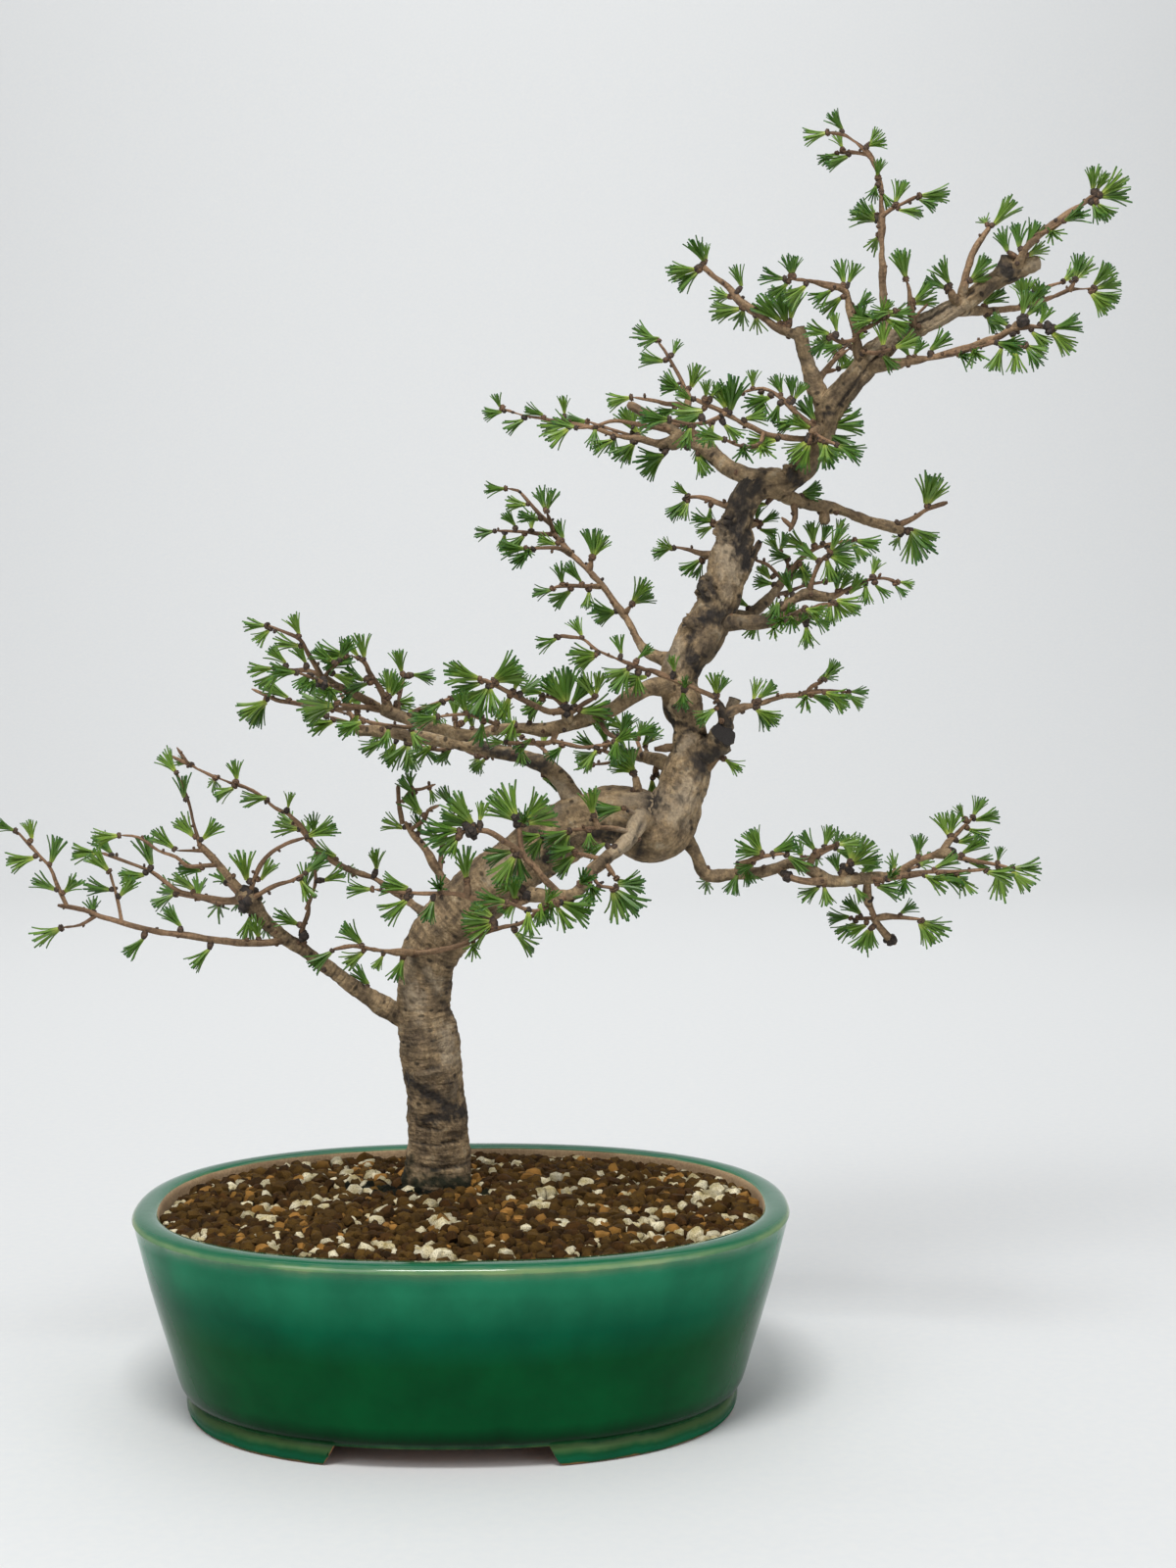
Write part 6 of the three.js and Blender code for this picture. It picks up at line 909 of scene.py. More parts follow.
def granule_material(name, light, dark, pit, loose=True):
    """Porous granules, crushed and sieved: their colour clouds over a few millimetres, and pits of under a
    millimetre hold shade. Loose ones also differ from each other, and their undersides are painted dark as
    shade."""
    material, tree, shader, place = new_material(name)
    clouds = add(tree, "TexNoise", {"Vector": place, "Scale": 170.0, "Detail": 3.0})
    share = add(tree, "MapRange", {"Value": clouds, "From Min": 0.32, "From Max": 0.68})
    tone = add(tree, "Mix", {SHARE: share, FIRST: dark, SECOND: light}, **MIXED)
    pits = add(tree, "TexVoronoi", {"Vector": place, "Scale": 1500.0})
    shade = add(tree, "MapRange", {
        "Value": pits, "From Min": 0.1, "From Max": 0.45, "To Min": pit, "To Max": 1.0})
    tone = add(tree, "Mix", {SHARE: 1.0, FIRST: tone, SECOND: shade}, **MULTIPLIED)
    if loose:
        # Each loose granule's own tone, times the painted shade on its underside
        value = add(tree, "Attribute", attribute_name="tone").outputs["Fac"]
        tone = add(tree, "Mix", {SHARE: 1.0, FIRST: tone, SECOND: value}, **MULTIPLIED)
    fill(tree, shader, {
        "Base Color": tone,
        "Normal": add(tree, "Bump", {"Height": pits, "Strength": 0.5, "Distance": 0.0004}),
        "Roughness": 0.95,
        "Specular IOR Level": 0.2,
    })
    return material


def bark_material(tree_settings):
    """Larch bark as it grew: tan-brown and lengthwise streaked on young twigs; on old wood mottled tan with
    pale plates of about 10 mm, painted shade in the cracks between them, dark pits of 1 mm and cross wrinkles
    low down, and painted shade over the upper trunk; near black in old cuts, pale where the bark has rubbed,
    and dark green with moss at the foot."""
    material, tree, shader, place = new_material("Larch bark, living")
    straight = add(tree, "Attribute", attribute_name="straight").outputs["Vector"]
    age, scar, damp, pale, painted_hollow_shade = (
        add(tree, "Attribute", attribute_name=name).outputs["Fac"]
        for name in ("age", "scar", "damp", "pale", "painted_hollow_shade"))
    along = add(tree, "Mapping", {"Vector": straight, "Scale": (420, 420, 60)})
    streaks = add(tree, "TexNoise", {"Vector": along, "Scale": 1.0, "Detail": 5.0})
    across = add(tree, "Mapping", {"Vector": straight, "Scale": (60, 60, 640)})
    wrinkles = add(tree, "TexNoise", {
        "Vector": across, "Scale": 1.0, "Detail": 4.0, "Distortion": 0.4})
    clouds = add(tree, "TexNoise", {
        "Vector": place, "Scale": 120.0, "Detail": 7.0, "Roughness": 0.68})
    specks = add(tree, "TexNoise", {"Vector": place, "Scale": 800.0, "Detail": 3.0})
    flattened = add(tree, "Mapping", {"Vector": straight, "Scale": (130, 130, 210)})
    pits = add(tree, "TexVoronoi", {"Vector": flattened, "Scale": 1.0})
    rise = add(tree, "SeparateXYZ", {0: place}).outputs["Z"]

    old = add(tree, "ValToRGB", {0: clouds}, stops=[
        (0.26, tree_settings.fissure), (0.42, linear("#7b6850")), (0.56, tree_settings.bark),
        (0.7, linear("#b8a689"))])
    streak = add(tree, "MapRange", {"Value": streaks, "From Min": 0.34, "From Max": 0.64})
    lengthwise = add(tree, "MapRange", {"Value": streak, "To Min": 0.8, "To Max": 1.1})
    old = add(tree, "Mix", {SHARE: 1.0, FIRST: old, SECOND: lengthwise}, **MULTIPLIED)
    low = add(tree, "MapRange", {
        "Value": rise, "From Min": 0.2, "From Max": 0.27, "To Min": 0.8, "To Max": 0.2})
    wrinkle = add(tree, "MapRange", {
        "Value": wrinkles, "From Min": 0.38, "From Max": 0.54, "To Min": 0.5, "To Max": 1.08})
    wrinkled = add(tree, "Mix", {SHARE: 1.0, FIRST: old, SECOND: wrinkle}, **MULTIPLIED)
    old = add(tree, "Mix", {SHARE: low, FIRST: old, SECOND: wrinkled}, **MIXED)
    # Painted shade: old bark is darkened by up to 14 % between 0.3 and 0.4 m up, where the light falls
    # stronger
    high = add(tree, "MapRange", {
        "Value": rise, "From Min": 0.3, "From Max": 0.4, "To Min": 1.0, "To Max": 0.86})
    pit = add(tree, "MapRange", {
        "Value": pits, "From Min": 0.14, "From Max": 0.25, "To Min": 0.25, "To Max": 1.0})
    for value in (high, pit):
        old = add(tree, "Mix", {SHARE: 1.0, FIRST: old, SECOND: value}, **MULTIPLIED)
    # Painted shade in the bark's cracks and hollows, up to half way to a dark brown
    shaded = add(tree, "Math", {0: painted_hollow_shade, 1: 0.5}, operation="MULTIPLY")
    old = add(tree, "Mix", {SHARE: shaded, FIRST: old, SECOND: linear("#3d3025")}, **MIXED)
    tone = add(tree, "Mix", {
        SHARE: streak, FIRST: linear("#5e4836"), SECOND: tree_settings.young}, **MIXED)
    for share, other in ((age, old), (pale, linear("#b7a58b"))):
        tone = add(tree, "Mix", {SHARE: share, FIRST: tone, SECOND: other}, **MIXED)
    speck = add(tree, "MapRange", {
        "Value": specks, "From Min": 0.3, "From Max": 0.7, "To Min": 0.76, "To Max": 1.18})
    tone = add(tree, "Mix", {SHARE: 1.0, FIRST: tone, SECOND: speck}, **MULTIPLIED)
    for share, other in ((scar, tree_settings.scar), (damp, tree_settings.moss)):
        tone = add(tree, "Mix", {SHARE: share, FIRST: tone, SECOND: other}, **MIXED)
    relief = add(tree, "Math", {0: streaks, 1: specks}, operation="ADD")
    bump = add(tree, "Bump", {"Height": relief, "Strength": 1.0, "Distance": 0.0008})
    fill(tree, shader, {
        "Base Color": tone,
        "Normal": add(tree, "Bump", {
            "Height": wrinkles, "Strength": low, "Distance": 0.0007, "Normal": bump}),
        "Roughness": 0.82,
        "Specular IOR Level": 0.35,
    })
    return material


def scale_material(tree_settings):
    """Short shoots, grown: dry overlapping bud scales with paler rims at about 0.6 mm, brown where they are
    young and near black where they are old."""
    material, tree, shader, _ = new_material("Larch bud scales, dry")
    old = add(tree, "Attribute", attribute_name="old").outputs["Fac"]
    straight = add(tree, "Attribute", attribute_name="straight").outputs["Vector"]
    rings = add(tree, "Mapping", {"Vector": straight, "Scale": (500, 500, 1500)})
    cells = add(tree, "TexNoise", {"Vector": rings, "Scale": 1.0, "Detail": 3.0})
    share = add(tree, "MapRange", {"Value": cells, "From Min": 0.38, "From Max": 0.66})
    rims = add(tree, "Mix", {
        SHARE: old, FIRST: linear("#8c6a4c"), SECOND: linear("#4a3d33")}, **MIXED)
    hollows = add(tree, "Mix", {
        SHARE: old, FIRST: tree_settings.scale, SECOND: linear("#1f1a18")}, **MIXED)
    fill(tree, shader, {
        "Base Color": add(tree, "Mix", {SHARE: share, FIRST: hollows, SECOND: rims}, **MIXED),
        "Normal": add(tree, "Bump", {"Height": cells, "Strength": 0.6, "Distance": 0.0004}),
        "Roughness": 0.8,
    })
    return material


def needle_material(tree_settings):
    """Soft larch needles, grown: fresh green with a yellow-green foot and a darker tip, a faint waxy sheen,
    and light that passes through their thin edges."""
    material, tree, shader, _ = new_material("Larch needles, living")
    reach = add(tree, "Attribute", attribute_name="reach").outputs["Fac"]
    tone = add(tree, "Attribute", attribute_name="tone").outputs["Fac"]
    along = add(tree, "ValToRGB", {0: reach}, stops=[
        (0.0, tree_settings.needle_base), (0.3, tree_settings.needle), (0.8, tree_settings.needle),
        (1.0, tree_settings.needle_tip)])
    value = add(tree, "MapRange", {"Value": tone, "To Min": 0.62, "To Max": 1.15})
    hue = add(tree, "MapRange", {"Value": tone, "To Min": 0.515, "To Max": 0.48})
    fill(tree, shader, {
        "Base Color": add(tree, "HueSaturation", {"Hue": hue, "Value": value, "Color": along}),
        "Roughness": 0.42,
        "Specular IOR Level": 0.4,
        "Subsurface Weight": 0.12,
        "Subsurface Radius": (0.0006, 0.001, 0.0003),
        "Subsurface Scale": 1.0,
    })
    return material


def screen_material():
    """Drainage screen, injection moulded in black polypropylene: even and slightly dull."""
    material, tree, shader, place = new_material("Black polypropylene, moulded")
    grain = add(tree, "TexNoise", {"Vector": place, "Scale": 2500.0, "Detail": 2.0})
    tone = add(tree, "Mix", {
        SHARE: grain, FIRST: linear("#1b1c1e"), SECOND: linear("#2a2b2e")}, **MIXED)
    fill(tree, shader, {"Base Color": tone, "Roughness": 0.5})
    return material


def floor_material(stage):
    """Seamless studio paper: matt, with a fibre too fine to show, so it is drawn as a 5 mm cloud."""
    material, tree, shader, place = new_material("Studio paper, matt")
    fibre = add(tree, "TexNoise", {"Vector": place, "Scale": 200.0, "Detail": 2.0})
    tone = add(tree, "Mix", {SHARE: fibre, FIRST: stage.floor, SECOND: linear("#e4e4e2")}, **MIXED)
    fill(tree, shader, {"Base Color": tone, "Roughness": 0.95})
    return material


# ---- shared modelling
def clamped(value, low=0, high=1):
    """A value held between two others."""
    return min(max(value, low), high)


def any_way(rng):
    """A random direction, of any length up to that of a cube's half diagonal."""
    return Vector((rng.uniform(-1, 1), rng.uniform(-1, 1), rng.uniform(-1, 1)))


def share_along(point, start, end):
    """How far along a line, from 0 to 1, its nearest place to a point lies, and the gap, all on one plane."""
    dx, dy = end[0] - start[0], end[1] - start[1]
    share = clamped(((point[0] - start[0]) * dx + (point[1] - start[1]) * dy) / (dx * dx + dy * dy))
    return share, math.hypot(start[0] + share * dx - point[0], start[1] + share * dy - point[1])


def gap_to_line(point, line):
    """The distance from a point to a line of points on one plane, or to its one point."""
    gaps = [share_along(point, start, end)[1] for start, end in zip(line, line[1:])]
    return min([math.hypot(point[0] - line[0][0], point[1] - line[0][1]), *gaps])


def as_mesh(bm, name):
    """Turns a finished bmesh into a mesh."""
    mesh = bpy.data.meshes.new(name)
    bm.to_mesh(mesh)
    bm.free()
    return mesh


def finish_piece(name, bm, materials, nodes=(), smooth_below=None):
    """Moves a mesh drawn in millimetres into the frame, gives it its materials and rides it on the part."""
    mesh = as_mesh(bm, name)
    mesh.transform(TO_ROW)
    for material in materials:
        mesh.materials.append(material)
    if smooth_below is not None:
        mesh.shade_smooth()
        mesh.set_sharp_from_angle(angle=math.radians(smooth_below))
    piece = bpy.data.objects.new(name, mesh)
    bpy.context.scene.collection.objects.link(piece)
    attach(piece, "root")
    if nodes:
        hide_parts(*nodes)
    return piece


def merge(bm, mesh):
    """Moves a small mesh into a larger one."""
    bm.from_mesh(mesh)
    bpy.data.meshes.remove(mesh)


def stamp(bm, mesh, matrix):
    """Adds a copy of a small mesh, placed by a matrix, and gives its vertices."""
    first = len(bm.verts)
    copy = mesh.copy()
    copy.transform(matrix)
    merge(bm, copy)
    bm.verts.ensure_lookup_table()
    return bm.verts[first:]


def tube(sides, rows, layers=(), vectors=()):
    """A closed unit tube along Z, from 0 to 1, cut into rows, with its layers of numbers and vectors."""
    bm = bmesh.new()
    bmesh.ops.create_cone(bm, cap_ends=True, cap_tris=False, segments=sides, radius1=1, radius2=1, depth=1,
                          matrix=Matrix.Translation((0, 0, 0.5)))
    lengthwise = [e for e in bm.edges if abs(e.verts[0].co.z - e.verts[1].co.z) > 0.5]
    if rows > 1:
        bmesh.ops.subdivide_edges(bm, edges=lengthwise, cuts=rows - 1, use_grid_fill=True)
    for name in layers:
        bm.verts.layers.float.new(name)
    for name in vectors:
        bm.verts.layers.float_vector.new(name)
    return bm


def oval_point(angle, half, inset):
    """A point of the pot's oval at a half length; an inset keeps a wall's thickness even all round."""
    across = max(half * OVAL_RATIO - inset * (1 - OVAL_RATIO), 0)
    c, s = math.cos(angle), math.sin(angle)
    return (math.copysign(half * abs(c) ** (2 / OVAL_POWER), c),
            math.copysign(across * abs(s) ** (2 / OVAL_POWER), s))


def turned(profile):
    """A profile of (half length, height, inset) spun round Z, with the layer that holds its insets."""
    bm = bmesh.new()
    inset = bm.verts.layers.float.new("inset")
    verts = []
    for half, height, depth in profile:
        vert = bm.verts.new((half, 0, height))
        vert[inset] = depth
        verts.append(vert)
    edges = [bm.edges.new(pair) for pair in zip(verts, verts[1:])]
    bmesh.ops.spin(bm, geom=verts + edges, cent=(0, 0, 0), axis=(0, 0, 1), angle=math.tau,
                   steps=POT_STEPS, use_merge=True)
    bmesh.ops.remove_doubles(bm, verts=bm.verts[:], dist=0.001)
    bmesh.ops.recalc_face_normals(bm, faces=bm.faces[:])
    return bm, inset


def squeeze(bm, inset):
    """Squeezes a spun shape to the pot's oval."""
    for vert in bm.verts:
        half = math.hypot(vert.co.x, vert.co.y)
        if half > 0.001:
            angle = math.atan2(vert.co.y, vert.co.x)
            vert.co.x, vert.co.y = oval_point(angle, half, vert[inset])


# ---- pot
def outside_profile(rounding):
    """The wall from the underside's edge to the rim's inner edge, with a rim rounded over like a bead."""
    flare = [(-1.5, 8.9), (-1.4, FOOT_HEIGHT), (-0.4, 10.4), (2, 12), (3.6, 15), (4.9, 19), (7.1, 27),
             (9.4, 35), (11.2, 41), (14, 51), (16.5, 60), (19, 70), (21.1, 79), (22.8, 86)]
    wall = [(FOOT_HALF + out, height, 0) for out, height in flare] + [(RIM_HALF - 0.5, 89.2, 0)]
    turn = [(RIM_HALF - rounding * (1 - math.cos(a)), RIM_TOP - RIM_RISE * (1 - math.sin(a)), 0)
            for a in (math.radians(d) for d in (0, 18, 36, 54, 72, 90))]
    top = [(RIM_HALF - LIP + 2.2, RIM_TOP - 0.4, LIP), (RIM_HALF - LIP + 0.8, RIM_TOP - 1.3, LIP),
           (RIM_HALF - LIP + 0.1, RIM_TOP - 2.6, LIP)]
    return wall + turn + top


def pot_body(rounding):
    """The wall, the rim and the floor: glazed outside and over the rim, bare clay inside and underneath."""
    inside = [(RIM_HALF - LIP, RIM_TOP - 3.8, LIP), (136.5, 74, LIP), (131, 45, LIP), (122, 22, LIP),
              (118, 19, LIP), (112, FLOOR_TOP, LIP), (0, FLOOR_TOP, LIP)]
    under = [(0, FOOT_HEIGHT, FOOT_RING), (FOOT_HALF - FOOT_RING - 2.6, FOOT_HEIGHT, FOOT_RING),
             (FOOT_HALF - FOOT_RING - 2, 8.9, FOOT_RING)]
    bm, inset = turned(under + outside_profile(rounding) + inside)
    for face in bm.faces:
        middle = face.calc_center_median()
        outward = face.normal.x * middle.x + face.normal.y * middle.y
        inner_wall = outward < 0 and middle.z < RIM_TOP - GLAZE_TURNS_IN
        floor = face.normal.z > 0.9 and middle.z < RIM_TOP / 2
        underside = face.normal.z < -0.5 and middle.z < FOOT_HEIGHT + 0.1
        face.material_index = CLAY if inner_wall or floor or underside else GLAZE
    squeeze(bm, inset)
    return bm


# The notches between the feet: half their width at NOTCH_BASE, which lies under the ground, their shift along
# X, which way their ends face, and how far their corners are rounded
NOTCH_HALF = 51.5
NOTCH_SHIFT = -6.5
NOTCH_BASE = -2
NOTCH_FACES = Vector((10.9, 0, 6))
NOTCH_ROUND = 1.1


def foot_ring(side):
    """One foot: a stretch of the ring between the notches at the front and the back, cut and eased."""
    outer, inner = FOOT_HALF, FOOT_HALF - FOOT_RING
    profile = [(inner, 0.6, FOOT_RING), (inner + 0.8, 0, FOOT_RING), (outer - 2.4, 0, 0), (outer - 1, 0.5, 0),
               (outer - 0.2, 1.6, 0), (outer + 0.4, 3.2, 0), (outer + 0.6, 5, 0), (outer + 0.1, 7, 0),
               (outer - 1.0, 8.6, 0), (outer - 1.6, 9.3, 0), (inner - 2, 9.3, FOOT_RING),
               (inner, 0.6, FOOT_RING)]
    bm, inset = turned(profile)
    squeeze(bm, inset)
    cut = bmesh.ops.bisect_plane(
        bm, geom=bm.verts[:] + bm.edges[:] + bm.faces[:], clear_inner=True,
        plane_co=(side * NOTCH_HALF + NOTCH_SHIFT, 0, NOTCH_BASE),
        plane_no=(NOTCH_FACES * Vector((side, 0, 1))).normalized())
    edges = [e for e in cut["geom_cut"] if isinstance(e, bmesh.types.BMEdge)]
    for face in bmesh.ops.edgenet_fill(bm, edges=edges)["faces"]:
        face.material_index = CLAY
    corners = [e for e in edges if (e.verts[0].co.z + e.verts[1].co.z) / 2 < FOOT_HEIGHT - 1]
    bmesh.ops.bevel(bm, geom=corners, offset=NOTCH_ROUND, segments=3, profile=0.5, affect="EDGES",
                    material=-1)
    for face in bm.faces:
        if face.calc_center_median().z < 0.3 or face.normal.z < -0.7:
            face.material_index = CLAY
    bmesh.ops.recalc_face_normals(bm, faces=bm.faces[:])
    return bm


class BONSAI_OT_pot(bpy.types.Operator):
    """Model the glazed oval pot with its two feet and drainage holes"""
    bl_idname = "bonsai.pot"
    bl_label = "Pot"

    def execute(self, context):
        settings = context.scene.bonsai_pot
        drills = bmesh.new()
        for side in (-1, 1):
            bmesh.ops.create_cone(
                drills, cap_ends=True, segments=48, radius1=HOLE_RADIUS, radius2=HOLE_RADIUS, depth=20,
                matrix=Matrix.Translation((side * HOLE_OFFSET, 0, FLOOR_TOP - 3)))
        coats = [glaze_material(settings), clay_material(settings)]
        piece = finish_piece("pot_glazed", pot_body(settings.rim_round / MM), coats, ["pot"])
        drill = finish_piece("drill", drills, coats)
        cut = piece.modifiers.new("Drainage holes", "BOOLEAN")
        cut.operation, cut.object, cut.solver = "DIFFERENCE", drill, "EXACT"
        evaluated = piece.evaluated_get(context.evaluated_depsgraph_get())
        drilled = bpy.data.meshes.new_from_object(evaluated)
        piece.modifiers.clear()
        bpy.data.objects.remove(drill)
        whole = bmesh.new()
        merge(whole, drilled)
        for side in (-1, 1):
            foot = as_mesh(foot_ring(side), "foot")
            foot.transform(TO_ROW)
            merge(whole, foot)
        whole.to_mesh(piece.data)
        whole.free()
        piece.data.shade_smooth()
        piece.data.set_sharp_from_angle(angle=math.radians(38))
        return {"FINISHED"}


# ---- drainage screens
SCREEN_SIZE = 30
SCREEN_CELLS = 10
SCREEN_BAR = 0.9


class BONSAI_OT_screens(bpy.types.Operator):
    """Model the plastic drainage screens over the pot's holes"""
    bl_idname = "bonsai.screens"
    bl_label = "Drainage screens"

    def execute(self, context):
        material = screen_material()
        for name in ("drainage_screen_left", "drainage_screen_right"):
            low, high = (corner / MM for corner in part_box(name))
            middle = (low + high) / 2 - Vector((POT_X / MM, 0, 0))
            bm = bmesh.new()
            bmesh.ops.create_grid(
                bm, x_segments=SCREEN_CELLS, y_segments=SCREEN_CELLS, size=SCREEN_SIZE / 2 - 0.6)
            bmesh.ops.wireframe(bm, faces=bm.faces[:], thickness=SCREEN_BAR, offset=0, use_replace=True,
                                use_boundary=True, use_even_offset=True)
            reach = max(v.co.z for v in bm.verts)
            bmesh.ops.scale(bm, vec=(1, 1, (high.z - low.z) / 2 / reach), verts=bm.verts[:])
            bmesh.ops.translate(bm, vec=middle, verts=bm.verts[:])
            finish_piece(name + "_mesh", bm, [material], [name], smooth_below=30)
        return {"FINISHED"}


# ---- soil
# How far inside the wall the soil ends, how far inside it the granules end, and how far from the trunk's
# middle they begin
SOIL_GAP = 1.6
WALL_CLEAR = 2.5
TRUNK_CLEAR = 17.5
GRANULE_SHAPES = 6
# Where moss covers the soil before the trunk's foot: a line (x, y), its half width, and its cover
MOSS_LINE = [(-50, 18), (-30, 12), (-14, 6), (4, 12)]
MOSS_REACH = 8.0
MOSS_COVER = 0.92
# A kind of granule: its two colours, how dark its pits are, its share of the soil, and how round it is
Granules = collections.namedtuple("Granules", "light dark pit share roundness")


def soil_height(x, y):
    """The height of the soil's mound at a point, and how far towards the wall the point lies, up to 1."""
    edge = RIM_HALF - LIP - SOIL_GAP
    across = edge * OVAL_RATIO - LIP * (1 - OVAL_RATIO)
    share = (abs(x / edge) ** OVAL_POWER + abs(y / across) ** OVAL_POWER) ** (1 / OVAL_POWER)
    return SOIL_EDGE + SOIL_MOUND * (1 - share ** 2), share


def granule(seed, roundness):
    """One crushed granule: a cut cube drawn towards a ball and knocked out of true, 1 mm across."""
    rng = random.Random(seed)
    bm = bmesh.new()
    bmesh.ops.create_cube(bm, size=1)
    bmesh.ops.subdivide_edges(bm, edges=bm.edges[:], cuts=1, use_grid_fill=True)
    drift = Vector((rng.uniform(0, 50), rng.uniform(0, 50), rng.uniform(0, 50)))
    for vert in bm.verts:
        vert.co = vert.co.lerp(vert.co.normalized() * 0.55, roundness)
        vert.co *= 1 + 0.38 * noise.noise(vert.co * 2.1 + drift)
    return as_mesh(bm, "granule")


def strew(meshes, shapes, kinds, count, mean_width):
    """Strews granules in a sunflower's spiral, with drifts of pumice, and with moss where it grows."""
    rng = random.Random(11)
    trunk = Vector((TRUNK[0][0], TRUNK[0][2]))
    edge = RIM_HALF - LIP - WALL_CLEAR
    for i in range(count):
        turn, half = math.tau * i * GOLDEN, edge * math.sqrt((i + 0.5) / count)
        half = min(half + rng.uniform(-2, 2), edge)
        x, y = oval_point(turn, half, LIP)
        if (Vector((x, y)) - trunk).length < TRUNK_CLEAR:
            continue
        drift = 1 + 1.9 * noise.noise(Vector((x * 0.04, y * 0.06, 4)))
        shares = [k.share * (drift ** 3 if name == "pumice" else 1) for name, k in kinds.items()]
        kind = rng.choices(list(kinds), shares)[0]
        width = mean_width * rng.triangular(0.55, 1.7, 0.9)
        ragged = 1 + 0.9 * noise.noise(Vector((x * 0.15, y * 0.15, 9)))
        if gap_to_line((x, y), MOSS_LINE) < MOSS_REACH * ragged and rng.random() < MOSS_COVER:
            kind, width = "moss", width * 0.8
        height, share = soil_height(x, y)
        turned_by = rng.uniform(0, math.tau)
        spin = Matrix.Rotation(turned_by, 4, Vector((rng.random(), rng.random(), rng.random())))
        spread = Matrix.Diagonal((width, width * rng.uniform(0.7, 1), width * rng.uniform(0.6, 0.95), 1))
        lift = height + rng.uniform(-0.1, 0.35 * min(1, (1 - share) * 8)) * width
        lift -= 0.15 * width if kind == "moss" else 0
        verts = stamp(meshes[kind], rng.choice(shapes[kind]),
                      Matrix.Translation((x, y, lift)) @ spin @ spread)
        tone = meshes[kind].verts.layers.float["tone"]
        # Each granule keeps a random tone of its own, and its lower half is painted darker as shade
        # underneath it
        value = 0.66 + 0.5 * rng.random()
        for vert in verts:
            painted_shade_height = clamped((vert.co.z - lift) / width + 0.4, 0, 0.5)
            vert[tone] = value * (0.22 + 1.56 * painted_shade_height)


class BONSAI_OT_soil(bpy.types.Operator):
    """Colour the soil and strew its granules by kind"""
    bl_idname = "bonsai.soil"
    bl_label = "Soil"

    def execute(self, context):
        settings = context.scene.bonsai_soil
        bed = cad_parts["soil"]
        bed.data.materials.clear()
        bed.data.materials.append(granule_material(
            "Moist potting soil, sieved", settings.bed, linear("#1a1206"), 0.5, loose=False))
        kinds = {
            "akadama": Granules(settings.akadama, linear("#3f2b0f"), 0.6, 0.54, 0.85),
            "pumice": Granules(settings.pumice, linear("#b3a270"), 0.3, 0.13, 0.88),
            "lava": Granules(settings.lava, linear("#33220b"), 0.45, 0.22, 0.8),
            "pebble": Granules(settings.pebble, linear("#7c5a27"), 0.85, 0.07, 0.9),
            "moss": Granules(linear("#1d1e0d"), linear("#0c0d05"), 0.4, 0, 0.7),
        }
        shapes = {name: [granule(i * 7 + n, kind.roundness) for i in range(GRANULE_SHAPES)]
                  for n, (name, kind) in enumerate(kinds.items())}
        meshes = {name: bmesh.new() for name in kinds}
        for bm in meshes.values():
            bm.verts.layers.float.new("tone")
        strew(meshes, shapes, kinds, settings.grains, settings.grain / MM)
        for name, kind in kinds.items():
            made = "Moss, living" if name == "moss" else f"{name.capitalize()} granules, crushed and sieved"
            material = granule_material(made, kind.light, kind.dark, kind.pit)
            finish_piece(f"granules_{name}", meshes[name], [material], smooth_below=50)
            for mesh in shapes[name]:
                bpy.data.meshes.remove(mesh)
        return {"FINISHED"}


# ---- wood
def seen(x, z, y):
    """A drawn point set back to its depth along the line of sight."""
    return EYE + (Vector((x, 0, z)) - EYE) * ((y - EYE.y) / -EYE.y)


def radii(points):
    """The radius at each drawn point, evenly between those that state one."""
    known = [(i, p[3]) for i, p in enumerate(points) if len(p) > 3]
    found = []
    for i in range(len(points)):
        before = max((k for k in known if k[0] <= i), default=known[0])
        after = min((k for k in known if k[0] >= i), default=known[-1])
        share = 0 if after[0] == before[0] else (i - before[0]) / (after[0] - before[0])
        found.append(before[1] + share * (after[1] - before[1]))
    return found


def smooth_path(points, step):
    """A rounded path through drawn points, as (place, radius) about a step apart."""
    places = [seen(*p[:3]) for p in points]
    widths = radii(points)
    last = len(places) - 1
    path = []
    for i in range(last):
        a, b, c, d = (places[max(i - 1, 0)], places[i], places[i + 1], places[min(i + 2, last)])
        count = max(1, round((c - b).length / step))
        for k in range(count):
            t = k / count
            place = 0.5 * (2 * b + (c - a) * t + (2 * a - 5 * b + 4 * c - d) * t ** 2
                           + (3 * b - a - 3 * c + d) * t ** 3)
            path.append((place, widths[i] + (widths[i + 1] - widths[i]) * (t * t * (3 - 2 * t))))
    path.append((places[last], widths[last]))
    return [(place, width * (TWIG_SHARE + (1 - TWIG_SHARE) * age_of(width))) for place, width in path]


def age_of(radius):
    """Bark turns from young to old as the wood grows from 1 to 2.6 mm in radius."""
    return clamped((radius - 1.0) / 1.6)


def stretched(place, across, along):
    """A place on a straightened limb, scaled by one number across it and another along it."""
    return Vector((place.x * across, place.y * across, place.z * along))


